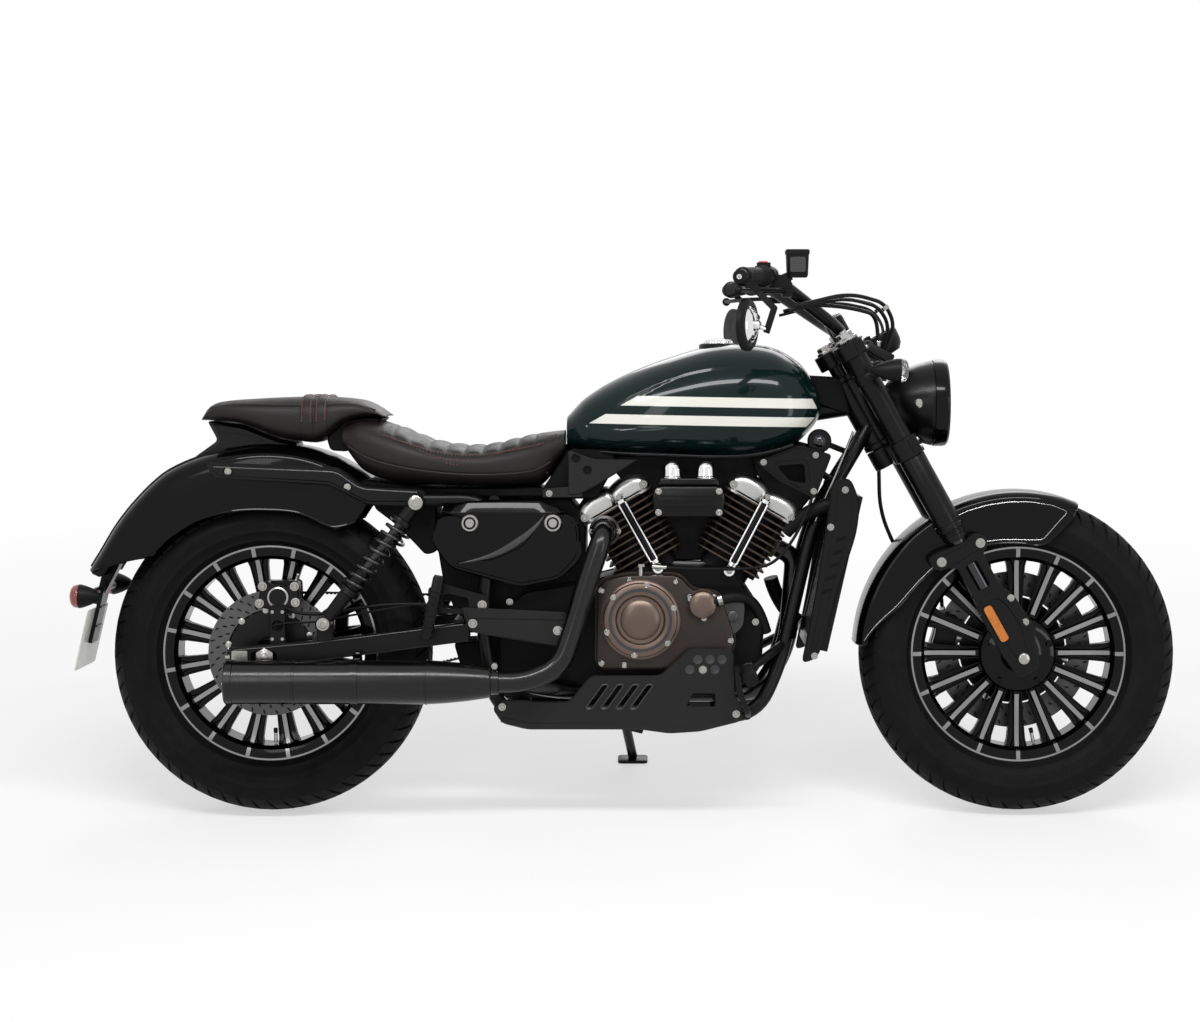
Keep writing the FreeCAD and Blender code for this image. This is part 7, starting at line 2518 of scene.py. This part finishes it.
@dataclass(frozen=True)
class BellyGuard:
    """The guard under the engine, on the right, and the lean of its slots."""

    outline: tuple[Spot, ...] = ((-302, 223), (-282, 193), (-232, 181), (-10, 181), (50, 173), (111, 177),
                                 (191, 197), (196, 225), (178, 250), (178, 330), (168, 341), (88, 341),
                                 (30, 288), (-108, 288), (-150, 236), (-285, 241))
    slot_lean: float = 36.0
    slots: tuple[float, ...] = (-94, -64, -34, -6)

    def build(self, shop: Workshop) -> None:
        """Makes the guard under the engine, with its slots, its creased lip and its dimples."""
        slope = math.tan(math.radians(self.slot_lean))
        corners = ((-5, -23), (5, -23), (5, 23), (-5, 23))
        slots = [rounded([(centre + x + z * slope, 246 + z) for x, z in corners], 4) for centre in self.slots]
        slots.append(rounded(((84, 226), (140, 226), (140, 252), (96, 252)), 5))
        shape = Shape()
        shape.panel(rounded(self.outline, 10), (-145.6, -139), 0, slots, 2.4)
        for slot in slots[:4]:
            rim = [point(x, -145.4, z) for x, z in grown(slot, 1.6)]
            shape.tube(rim + [rim[0]], 1.5, 2, 8, bend=0.1)
        lip = ((-286, 196), (-232, 185), (-10, 185), (50, 177), (111, 181), (188, 200), (186, 206), (110, 190),
               (50, 187), (-10, 194), (-232, 194), (-280, 206))
        shape.panel(rounded(lip, 3), (-145.4, -147), 0, (), 0.8)
        for x, z in ((106, 320), (130, 320), (154, 320), (90, 300), (116, 300), (140, 300)):
            shape.lathe([(9.6, 0), (9.2, 1.2), (8, 1.3), (6, 0.4), (0, 0.1)], point(x, -145.5, z), -LEFT, 2, 28)
        shop.bolts(shape, [point(x, -146.2, z) for x, z in ((-282, 226), (116, 300), (182, 212))], -LEFT,
                   5, 1, Finishes.BOLT)
        shop.finished("belly_guard_pressed", shape, Body.CHASSIS, "satin_black", Finishes.SATIN_GREY,
                      Finishes.BOLT, Finishes.GREY, stands_for="belly_guard", crease=30)


@dataclass(frozen=True)
class Rests:
    """The foot rests: the (x, z) of the rider's pegs, and the ribs on each."""

    peg: Spot = (206.0, 300.0)
    peg_ribs: int = 12
    folded_ribs: int = 8
    foot_lever: tuple[Place, ...] = ((204, 112, 206), (206, 152, 212), (186, 176, 262), (182, 200, 310))

    def build(self, shop: Workshop) -> None:
        """Makes the rider's, then the passenger's."""
        self.rider(shop)
        self.passenger(shop)

    def rider(self, shop: Workshop) -> None:
        """Makes the rider's pegs, with their ribbed rubbers and foot levers."""
        shape = Shape()
        x, z = self.peg
        for side in SIDES:
            root, knee = point(286, side * 78, 350), point(x, side * 156, z)
            shape.rod(root, knee, 9, 0, 20)
            shape.lathe([(14, 0), (15, 2), (15, 14), (12, 16)], point(x, side * 144, z), LEFT * side,
                        0, 24)
            grooves = [(12, 150)]
            for index in range(self.peg_ribs):
                grooves += [(12.4, 160 + index * 12), (14, 161 + index * 12), (14, 169 + index * 12),
                            (12.4, 170 + index * 12)]
            shape.lathe(grooves + [(14, 308), (14, 317), (11, 320)], point(x, 0, z), LEFT * side, 1, 28)
            heel = [sided(Vector(spot), side) for spot in self.foot_lever]
            shape.tube(heel, 6, 0, 16, bend=26)
            shape.lathe([(5, 186), (6.6, 188), (6.6, 234), (5, 236)], point(182, 0, 308), LEFT * side, 1, 20)
            shape.lathe([(9, 0), (9, 10), (7, 12)], heel[0], LEFT * side, 0, 20)
        shop.finished("rider_rests", shape, Body.CHASSIS, "rubber", Finishes.SATIN_BLACK, Finishes.RUBBER,
                      stands_for="rider_pegs")

    def passenger(self, shop: Workshop) -> None:
        """Makes the passenger's pegs, folded up, on their hangers."""
        shape = Shape()
        hanger = ((-342, 408), (-308, 408), (-308, 444), (-400, 470), (-430, 462), (-428, 412))
        window = rounded(((-400, 420), (-350, 420), (-350, 440), (-400, 452)), 6)
        mirrored_panels(shape, hanger, (132.5, 139.5), 0, 8, (window,), 1.4)
        mirrored_bolts(shop, shape, ((-322, 428),), 139.8, 6, 2)
        turn = Matrix.Rotation(math.radians(12), 3, "Y")
        for side in SIDES:
            shape.rod(sided(point(-412, 134, 452), side), sided(point(-412, 172, 452), side), 8, 0, 20)
            middle = sided(point(-418, 175, 425), side)
            pad = rounded(((-11, -10), (11, -10), (11, 10), (-11, 10)), 6)
            shape.stacked(pad, ((-65, 0.8), (-60, 1), (60, 1), (65, 0.8)), lambda spot: middle + turn @ spot)
            rib = Shape()
            rib.box((23.4, 21.4, 4), Vector())
            ribs = Shape()
            shop.rowed(ribs, rib, self.folded_ribs, point(0, 0, -52), point(0, 0, 12), 0, Finishes.RUBBER)
            shape.add(ribs, Matrix.Translation(middle) @ turn.to_4x4(), 1)
        shop.finished("passenger_rests", shape, Body.CHASSIS, "rubber", Finishes.SATIN_BLACK, Finishes.RUBBER,
                      Finishes.BOLT, stands_for="passenger_pegs")


# ------------------------------------------------------------------------------------------------ rear end


@dataclass(frozen=True)
class Swingarm:
    """The swingarm: the two faces of its left arm, its pivot and its shock's eye, with the rear axle."""

    faces: Spot = (110.0, 132.0)
    pivot: Spot = (-325.0, 385.0)
    eye: Spot = (-635.0, 392.0)

    def build(self, shop: Workshop) -> None:
        """Makes the swingarm: boxed arms with a grey rolled top edge that paints the edge's highlight, cross
        members, adjusters and the axle.
        """
        axle, near, far = shop.size.rear_axle, *self.faces
        (x, z), (eye_x, eye_z) = self.pivot, self.eye
        shape = Shape()
        outline = rounded(((-347, 355), (axle.x + 10, axle.z - 20), (axle.x - 70, axle.z - 16),
                           (axle.x - 70, axle.z + 18), (axle.x + 90, axle.z + 32), (-347, 393)), 7)
        slot = rounded(((axle.x - 26, axle.z - 10), (axle.x + 22, axle.z - 10), (axle.x + 22, axle.z + 10),
                        (axle.x - 26, axle.z + 10)), 9)
        for side in SIDES:
            shape.panel(outline, (side * near, side * far), 0, (slot,), 2.5)
            foot = rounded(((-651, 352), (-619, 352), (-617, 404), (-653, 404)), 10)
            shape.panel(foot, (side * near, side * far), 0, (), 2.0)
            shape.rod(point(eye_x, side * far, eye_z), point(eye_x, side * 168, eye_z), 7.7, 0, 20, 1)
            shop.bolts(shape, [point(eye_x, side * 167, eye_z)], LEFT * side, 8.5, 1, Finishes.BOLT, 6)
            block = rounded(((axle.x - 66, axle.z - 13), (axle.x - 34, axle.z - 13), (axle.x - 34, axle.z + 13),
                             (axle.x - 66, axle.z + 13)), 3)
            shape.panel(block, (side * 130, side * 135), 1, (), 1.0)
            shape.lathe([(6, 0), (6, 9), (5, 10)], point(axle.x - 70, side * 121, axle.z), -FORWARD, 1, 6)
            # A grey tube along each arm's top edge paints the highlight that the edge catches.
            seam = [point(along, side * 132.2, up) for along, up in
                    ((-360, 388), (axle.x + 92, axle.z + 27), (axle.x - 60, axle.z + 14))]
            shape.tube(seam, 1.8, 2, 8, bend=20)
        shape.box((20, 242, 40), point(-369, 0, 377), None, 0)
        shape.box((60, 140, 30), point(-350, 0, 381), None, 0)
        shape.rod(point(x, -70, z), point(x, 70, z), 20, 0, 32, 1)
        shape.rod(point(x, -139, z), point(x, 139, z), 8, 1, 20, 1)
        shop.finished("swingarm_boxed", shape, Body.CHASSIS, "satin_black", Finishes.SATIN_BLACK, Finishes.BOLT,
                      Finishes.GREY, stands_for="swingarm", crease=32)
        pin = Shape()
        pin.lathe([(8, -145), (10, -144), (10, 144), (8, 145)], axle, LEFT, 0, 28)
        for side in SIDES:
            pin.lathe([(19, 133), (19, 137), (15, 138), (15, 144), (13, 145), (8, 145), (7, 142)], axle,
                      LEFT * side, 0, 6)
        shop.finished("rear_axle_turned", pin, Body.CHASSIS, "steel", Finishes.BOLT, stands_for="rear_axle")


@dataclass(frozen=True)
class Shocks:
    """Both shocks, each set out between its two eyes on the left."""

    top: Place = (-452, 152, 632)
    foot: Place = (-635, 152, 392)
    turns: float = 8.5
    reach: float = 19.4
    wire: float = 3.6
    closing: float = 0.024

    def build(self, shop: Workshop) -> None:
        """Makes both shocks: eyes, shrouds, damper and a wound spring with ground ends."""
        body, wire = Shape(), Shape()
        for side in SIDES:
            top, foot = sided(Vector(self.top), side), sided(Vector(self.foot), side)
            way = (foot - top).normalized()
            for eye in (top, foot):
                body.lathe([(9, -14), (16, -13), (16, 13), (9, 14), (8.3, 12), (8.3, -12)], eye, LEFT, 0, 32,
                           looped=True)
            body.lathe([(9, 12), (14, 16), (15, 40), (21, 42), (22.4, 46), (22.4, 52), (9, 54)], top, way, 0,
                       36)
            body.rod(top + way * 50, foot - way * 60, 8, 1, 24)
            body.lathe([(9, 12), (13, 16), (14, 60), (14, 74), (22, 76), (22.6, 80), (22.6, 88), (15, 90),
                        (14, 130)], foot, -way, 0, 36)
            for index in range(3):
                body.lathe([(22.7, 76.5 + index * 4), (23.2, 77.5 + index * 4), (22.7, 78.5 + index * 4)], foot,
                           -way, 0, 30)
            line = self.coil(top, foot)
            rings, facing = [], basis(line[1] - line[0])
            for index, spot in enumerate(line):
                facing = carried(facing, line[min(index + 1, len(line) - 1)] - line[max(index - 1, 0)])
                rings.append(circle(spot, facing, self.wire, 10))
            wire.skin(rings, 0)
        shop.finished("shocks_turned", body, Body.CHASSIS, "satin_black", Finishes.SATIN_BLACK, Finishes.GREY,
                      stands_for="shocks", crease=30)
        shop.finished("shock_springs_wound", wire, Body.CHASSIS, "satin_black", Finishes.SPRING,
                      stands_for="shock_springs")

    def coil(self, top: Vector, foot: Vector) -> list[Vector]:
        """Returns the middle line of the spring's wire, its turns closer together at both ends."""
        way, start, end = (foot - top).normalized(), 53.0, (foot - top).length - 89.0
        turn, line = basis(way), []
        steps = int(self.turns * 20)
        for step in range(steps + 1):
            share = step / steps
            along = share - self.closing * math.sin(math.tau * share)
            angle = math.tau * self.turns * share
            line.append(top + way * (start + (end - start) * along)
                        + turn @ point(math.cos(angle), math.sin(angle), 0) * self.reach)
        return line


@dataclass(frozen=True)
class Struts:
    """The fender's struts, each with a raised field and two sunk bolts, and the cowl under the pad."""

    outline: tuple[Spot, ...] = ((-874, 710), (-610, 700), (-560, 664), (-440.3, 658), (-432, 640),
                                 (-440.3, 620), (-550, 624), (-630, 664), (-862, 678))
    raised: tuple[Spot, ...] = ((-862, 702), (-613, 692), (-566, 658), (-446, 651), (-450, 632), (-553, 632),
                                (-628, 671), (-852, 684))
    bolts: tuple[Spot, ...] = ((-830, 692), (-592, 661))
    shock: Spot = (-452.0, 632.0)

    def build(self, shop: Workshop) -> None:
        """Makes the fender's side struts with their recessed bolts, and the cowl under the pad."""
        shape = Shape()
        outline, raised = rounded(self.outline, 10), rounded(self.raised, 8)
        holes = [disc_outline(x, z, 8, 20) for x, z in self.bolts]
        shock_x, shock_z = self.shock
        for side in SIDES:
            shape.panel(outline, (side * 100.4, side * 121), 0, (), 3.0)
            shape.panel(raised, (side * 119, side * 124.3), 0, holes, 2.0)
            for x, z in self.bolts:
                shop.bolts(shape, [point(x, side * 120.6, z)], LEFT * side, 4.6, 1, Finishes.BOLT, 3.4)
            # A grey ridge along the raised field's top edge paints the highlight that the edge catches.
            highlight_ridge = [point(x, side * 123.4, z) for x, z in ((-858, 701), (-614, 691), (-566, 657), (-452, 650))]
            shape.tube(highlight_ridge, 1.6, 2, 8, bend=16)
            shape.rod(point(shock_x, side * 124, shock_z), point(shock_x, side * 168, shock_z), 7.7, 0, 20, 1)
            washer = point(shock_x, side * 167, shock_z)
            shape.lathe([(14, -1), (14, 2), (12, 3)], washer, LEFT * side, 1, 28)
            shape.lathe([(9.5, 2), (9.5, 7), (8, 8), (5, 8), (4.5, 6)], washer, LEFT * side, 1, 6)
        shop.finished("fender_struts_pressed", shape, Body.CHASSIS, "satin_black", Finishes.SATIN_BLACK,
                      Finishes.BOLT, Finishes.GREY, stands_for="fender_struts", crease=32)
        cowl = Shape()
        side_view = ((-946, 692), (-862, 752), (-884, 792), (-811, 784), (-740, 756), (-702, 748), (-702, 732),
                     (-820, 722), (-930, 690))
        cowl.panel(rounded(side_view, 9), (-54.6, 54.6), 0, (), 8.0)
        brow = ((-904, 716), (-858, 748), (-866, 770), (-812, 768), (-760, 750), (-820, 736))
        for side in SIDES:
            cowl.panel(rounded(brow, 8), (side * 50, side * 55), 0, (), 2.5)
        shop.finished("tail_cowl_moulded", cowl, Body.CHASSIS, "satin_black", Finishes.SATIN_BLACK,
                      stands_for="tail_cowl", crease=36)


@dataclass(frozen=True)
class RearBrake:
    """The rear brake's caliper, on the right, drawn from the axle."""

    outline: tuple[Spot, ...] = ((-21, 98), (-12, 146), (2, 148), (8, 140), (40, 140), (50, 150), (62, 146),
                                 (64, 104), (44, 92), (0, 92))
    hose: tuple[Place, ...] = ((36, -98, 96), (70, -108, 78), (150, -116, 88), (260, -112, 112), (380, -104, 96))
    sensor_cable: tuple[Place, ...] = ((12, -112, 60), (40, -118, 70), (90, -120, 62), (170, -118, 84),
                                       (300, -110, 104))

    def build(self, shop: Workshop) -> None:
        """Makes the rear caliper on its carrier, with its piston ring, bleed screw, hose and sensor's cable."""
        axle = shop.size.rear_axle
        shape = Shape()
        outline = rounded(self.outline, 8)

        def at(x: float, y: float, z: float) -> Vector:
            """Returns a place measured from the axle."""
            return point(axle.x + x, y, axle.z + z)

        shape.panel(outline, (-95, -56), 0, (), 3.0, at)
        shape.panel(outline, (-40, -30), 0, (), 2.0, at)
        shape.box((60, 30, 12), at(20, -48, 141), None, 0)
        shape.panel(rounded(((5, 22), (39, 22), (40, 100), (4, 100)), 10), (-109, -97), 0,
                    (disc_outline(22, 60, 9, 24),), 2.5, at)
        for x, z in ((12, 34), (32, 34), (12, 88), (32, 88)):
            shop.bolts(shape, [at(x, -108, z)], -LEFT, 3.6, 1, Finishes.BOLT)
        ring = at(21, -94, 116)
        shape.lathe([(21, -1), (21, 3), (17.6, 4.4), (16.4, 2)], ring, -LEFT, 1, 40)
        shape.lathe([(16.6, 0), (16.6, 2.4), (0, 3)], ring, -LEFT, 0, 36)
        shop.bolts(shape, [at(x, -95, z) for x, z in ((-10, 138), (54, 138), (-16, 104), (56, 106))], -LEFT, 6,
                   1, Finishes.BOLT)
        bleed = at(56, -88, 148)
        shape.lathe([(4, 0), (4, 4), (2.6, 5), (2.6, 12), (3.4, 14), (2, 17)], bleed, point(0.3, -0.2, 0.9), 1,
                    12)
        for places, radius, segments in ((self.hose, 3.4, 12), (self.sensor_cable, 2.2, 10)):
            shape.tube([at(*spot) for spot in places], radius, 2, segments)
        shop.finished("rear_caliper_cast", shape, Body.CHASSIS, "satin_black", Finishes.SATIN_BLACK,
                      Finishes.BOLT, Finishes.HOSE, stands_for="rear_caliper", crease=32)


@dataclass(frozen=True)
class Tail:
    """The number plate and the rear indicators, on their arm behind the wheel."""

    plate: Place = (-1127.5, 0, 352)
    slope: float = 13.0

    def build(self, shop: Workshop) -> None:
        """Makes the plate's holder, the blank plate, the tail lamp's bar and the rear indicators."""
        shape = Shape()
        turn = Matrix.Rotation(math.radians(self.slope), 3, "Y")
        centre = Vector(self.plate)
        arm = rounded(((-1114, 432), (-1097, 440), (-1066, 500), (-1098, 500)), 5)
        shape.panel(arm, (-20, 20), 0, (), 2.0)
        head = about(shop.size.rear_axle, 150, 379.4)
        shape.box((30, 60, 40), head, Matrix.Rotation(math.radians(-150), 3, "Y"), 0)
        shape.lathe([(6.5, -137.7), (8, -136), (8, 136), (6.5, 137.7)], point(-1108, 0, 447), LEFT, 0, 24)
        stalk = centre + turn @ point(5.3, 0, 55)
        shape.box((8, 60, 130), stalk, turn, 0)
        for z in (-30, 10, 45):
            shape.box((4, 50, 3), stalk + turn @ point(4.6, 0, z), turn, 0)
        shape.box((12, 40, 8), centre + turn @ point(-2, 0, 72), turn, 0)
        shape.box((3, 30, 4), centre + turn @ point(-9, 0, 71), turn, 1)
        shop.finished("plate_holder", shape, Body.CHASSIS, "satin_black", Finishes.SATIN_BLACK,
                      Finishes.LENS_CLEAR, stands_for="plate_bracket", edge=0.8)
        plate = Shape()
        corners = rounded(((-95, -62.5), (95, -62.5), (95, 62.5), (-95, 62.5)), 8)
        plate.skin([[centre + turn @ point(x, y * by, z * by) for y, z in corners]
                    for x, by in ((1, 1), (-0.6, 1), (-1, 0.995))], 0)
        rim = [centre + turn @ point(-1.2, y, z) for y, z in grown(corners, -4)]
        plate.tube(rim + [rim[0]], 0.8, 0, 6, bend=0.1)
        shop.bolts(plate, [centre + turn @ point(-1, y, 44) for y in (-62, 62)], turn @ -FORWARD, 3.4, 1,
                   Finishes.BOLT, 1.8)
        shop.finished("number_plate_blank", plate, Body.CHASSIS, "plate", Finishes.PLATE, Finishes.BOLT,
                      stands_for="number_plate")
        lamps = Shape()
        for side in SIDES:
            at = point(-1106, side * 162, 447)
            lamps.lathe([(0, -30), (6, -29), (11, -23), (17, -12), (21.5, 0), (23.6, 8), (23.6, 11)], at,
                        -FORWARD, 0, 40)
            lamps.lathe([(23, 11), (23.4, 13), (22, 21), (17, 26), (8, 29), (0, 29.6)], at, -FORWARD, 1, 40)
            lamps.lathe([(22, 10), (20, 10.6), (8, 6), (0, 4), (0, 3), (22, 9)], at, -FORWARD, 2, 32)
            lamps.ball(at - FORWARD * 8, 6, 3, -FORWARD, 0.6)
            for ring in (0, 5, 10):
                lamps.lathe([(8, 0), (10, 1), (8, 2)], point(-1108, side * (118 + ring), 447), LEFT * side, 0,
                            20)
        shop.finished("rear_indicators", lamps, Body.CHASSIS, "black_plastic", Finishes.PLASTIC,
                      Finishes.RED_LENS, Finishes.CHROME, Finishes.AMBER, stands_for="rear_signals")


@dataclass(frozen=True)
class BeltDrive:
    """The toothed belt: its drive pulley, the reach of both pulleys and its two edges."""

    drive: Place = (-262, 0, 378)
    reaches: Spot = (108.0, 45.0)
    sides: Spot = (78.5, 91.5)
    pitch: float = 8.0

    def build(self, shop: Workshop) -> None:
        """Makes the toothed belt on the left, round the rear pulley and the drive pulley."""
        axle = shop.size.rear_axle
        drive, rear_reach, drive_reach = Vector(self.drive), *self.reaches
        span = drive - axle
        slope = math.atan2(span.z, span.x)
        wrap = math.acos((rear_reach - drive_reach) / span.length)

        def line(thick: float) -> list[Vector]:
            """Returns the belt's loop, so far outside both pulleys."""
            spots = []
            for centre, reach, start, end, steps in (
                    (axle, rear_reach + thick, slope + wrap, slope - wrap + math.tau, 40),
                    (drive, drive_reach + thick, slope - wrap, slope + wrap, 16)):
                spots += [about(centre, math.degrees(start + (end - start) * step / steps), reach)
                          for step in range(steps + 1)]
            return spots

        shape = Shape()
        near, far = self.sides
        rings = [[spot + LEFT * near, spot + LEFT * far, out + LEFT * far, out + LEFT * near]
                 for spot, out in zip(line(2.6), line(5.8))]
        shape.skin(rings, looped=True)
        tooth = Shape()
        tooth.box((3.6, 13, 2.0), Vector())
        middle = [spot + LEFT * (near + far) / 2 for spot in line(1.9)]
        shop.trailed(shape, tooth, middle, self.pitch, UP, 0, Finishes.RUBBER, closed=True)
        shop.finished("drive_belt_toothed", shape, Body.CHASSIS, "rubber", Finishes.RUBBER,
                      stands_for="drive_belt", crease=40)


@dataclass(frozen=True)
class SideStand:
    """The side stand, out to its foot on the ground."""

    foot: Spot = (-28.0, 330.0)

    def build(self, shop: Workshop) -> None:
        """Makes the side stand: knuckle, leg, foot and tang."""
        shape = Shape()
        joint = next(item for item in frame["joints"] if item["name"] == "side_stand_fold")
        back = stance.matrix.inverted()
        pivot = back @ Vector(joint["pos_m"])
        axis = (back.to_3x3() @ Vector(joint["axis"])).normalized()
        up, ground = (back.to_3x3() @ UP).normalized(), back @ Vector()
        x, y = self.foot
        foot = point(x, y, ground.z + (y - ground.y) * math.tan(stance.lean))
        leg_end = foot + up * 10
        run = (leg_end - pivot).normalized()
        shape.rod(pivot + run * 10, leg_end, 10, 0, 28)
        shape.lathe([(12, 0), (15, 3), (15, 20), (11, 28)], pivot + run * 8, run, 0, 28)
        shape.lathe([(14, -11), (17, -10), (17, 10), (14, 11)], pivot, axis, 0, 32)
        shape.lathe([(8, 10.8), (8, 14), (6.5, 15)], pivot, axis, 1, 6)
        turn, sole = basis(up, FORWARD), rounded(((-32, -22), (32, -22), (32, 22), (-32, 22)), 9)
        shape.stacked(sole, ((0, 0.97), (1, 1), (6, 1), (7, 0.95)), lambda spot: foot + turn @ spot)
        tang = pivot + run * 150
        shape.rod(tang, tang + point(34, 14, -10), 5, 0, 16, 1)
        shop.finished("side_stand_forged", shape, Body.STAND, "satin_black", Finishes.SATIN_BLACK,
                      Finishes.BOLT, stands_for="side_stand", crease=34)


# ------------------------------------------------------------------------------------------------ studio
@dataclass(frozen=True)
class Lamp:
    """A soft lamp: its place and where it points, in metres, its two sides and its power."""

    name: str
    place: tuple[float, float, float]
    size: Spot
    watts: float
    aim: tuple[float, float, float] = (0.0, 0.0, 0.5)


@dataclass(frozen=True)
class Studio:
    """The plain pale floor, the soft light and the camera. The eye is in the machine's millimetres."""

    eye: Vector = field(default_factory=lambda: point(30.9, -5400.0, 894.2))
    lens: float = 79.5
    shift: Spot = (-0.05, -0.1175)
    floor_reach: float = 30.0
    floor_grey: float = 0.95
    fade: Spot = (0.55, 1.0)
    sky: float = 0.42
    lamps: tuple[Lamp, ...] = (
        Lamp("overhead", (0.0, -1.8, 2.8), (3.0, 0.34), 69.0),
        Lamp("side_key", (-1.4, -3.6, 2.3), (0.5, 1.6), 12.0),
        Lamp("side_fill", (2.6, -2.6, 1.2), (0.4, 1.8), 12.0, (0.1, 0.0, 0.5)),
        Lamp("far_fill", (0.6, 3.4, 2.2), (2.6, 1.6), 42.0))

    def camera(self) -> None:
        """Sets the camera level with the upright machine, looking across it to the left."""
        data = bpy.data.cameras.new("camera")
        data.lens = self.lens
        data.sensor_width = 36.0
        data.shift_x, data.shift_y = self.shift
        data.clip_end = 100.0
        camera = bpy.data.objects.new("camera", data)
        bpy.context.scene.collection.objects.link(camera)
        turn = stance.matrix.to_3x3().normalized()
        across, ahead, above = turn @ FORWARD, turn @ LEFT, turn @ UP
        facing = Matrix((across, above, -ahead)).transposed().to_4x4()
        camera.matrix_world = Matrix.Translation(stance.matrix @ self.eye) @ facing
        bpy.context.scene.camera = camera

    def floor(self) -> None:
        """Lays a pale floor that fades into the white round the machine."""
        reach = self.floor_reach
        mesh = bpy.data.meshes.new("studio_floor")
        mesh.from_pydata([(-reach, -reach, 0), (reach, -reach, 0), (reach, reach, 0), (-reach, reach, 0)], [],
                         [(0, 1, 2, 3)])
        floor = bpy.data.objects.new("studio_floor", mesh)
        bpy.context.scene.collection.objects.link(floor)
        palette = Palette("pale_floor")
        palette.set(Roughness=0.9, Specular_IOR_Level=0.1, Base_Color=(self.floor_grey,) * 3 + (1.0,))
        white = palette.node("ShaderNodeEmission")
        x, y, _ = palette.parts(palette.coords)
        squares = [palette.maths("MULTIPLY", part, part) for part in (x, y)]
        far = palette.maths("SQRT", palette.maths("ADD", *squares))
        fade = palette.maths("MULTIPLY", palette.ranged(far, *self.fade, 1.1, 3.2), self.seen(palette))
        mix = palette.node("ShaderNodeMixShader")
        palette.join(fade, mix.inputs["Fac"])
        palette.join(palette.shader.outputs[0], mix.inputs[1])
        palette.join(white.outputs[0], mix.inputs[2])
        palette.join(mix.outputs[0], palette.tree.nodes["Material Output"].inputs["Surface"])
        mesh.materials.append(palette.material)

    def seen(self, nodes: Nodes) -> bpy.types.NodeSocket:
        """Returns 1 for what the camera sees, straight, in a reflection or through glass, and 0 for light."""
        path = nodes.node("ShaderNodeLightPath")
        return nodes.maths("MAXIMUM", path.outputs["Is Camera Ray"],
                           nodes.maths("MAXIMUM", path.outputs["Is Glossy Ray"],
                                       path.outputs["Is Transmission Ray"]))

    def light(self) -> None:
        """Hangs the lamps."""
        for lamp in self.lamps:
            data = bpy.data.lights.new(lamp.name, "AREA")
            data.shape = "RECTANGLE"
            data.size, data.size_y = lamp.size
            data.energy = lamp.watts
            hung = bpy.data.objects.new(lamp.name, data)
            bpy.context.scene.collection.objects.link(hung)
            place, aim = Vector(lamp.place), Vector(lamp.aim)
            turn = (place - aim).to_track_quat("Z", "Y").to_matrix().to_4x4()
            hung.matrix_world = Matrix.Translation(place) @ turn

    def surround(self) -> None:
        """Sets a pale world that shows white behind the machine."""
        world = bpy.data.worlds.new("pale_studio")
        world.use_nodes = True
        nodes = Nodes(world.node_tree)
        ground = nodes.tree.nodes["Background"]
        ground.inputs["Color"].default_value = (1.0, 1.0, 1.0, 1.0)
        nodes.join(nodes.ranged(self.seen(nodes), self.sky, 1.0, 0.0, 1.0), ground.inputs["Strength"])
        bpy.context.scene.world = world
        bpy.context.scene.view_settings.view_transform = "Standard"

    def build(self) -> None:
        """Sets the studio up."""
        self.camera()
        self.floor()
        self.light()
        self.surround()


# ------------------------------------------------------------------------------------------------ machine
def write_sizes() -> None:
    """Brings the scene's placements up to date."""
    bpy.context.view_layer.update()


class Assembly(Protocol):
    """Anything that builds its own pieces in the shop."""

    def build(self, shop: Workshop) -> None:
        """Makes its pieces."""


def main() -> None:
    """Builds every assembly in order."""
    logging.basicConfig(level=logging.INFO, format="%(message)s")
    Studio().build()
    shop = Workshop(Chassis(), Repeats())
    assemblies: tuple[Assembly, ...] = (
        Wheels(), Fenders(), FuelTank(), RiderSeat(), PassengerPad(), Engine(), Muffler(), Fork(), Lamps(),
        Instrument(), Cockpit(), FrontBrake(), Frame(), Radiator(), Crankcase(), Header(), SideCovers(),
        BellyGuard(), Rests(), Swingarm(), Shocks(), Struts(), RearBrake(), Tail(), BeltDrive(), SideStand())
    for assembly in assemblies:
        assembly.build(shop)
    write_sizes()
    log.info("%d pieces made", shop.made)


stance = Stance.read(frame["joints"], Chassis().rear_axle)

if __name__ == "__main__":
    main()
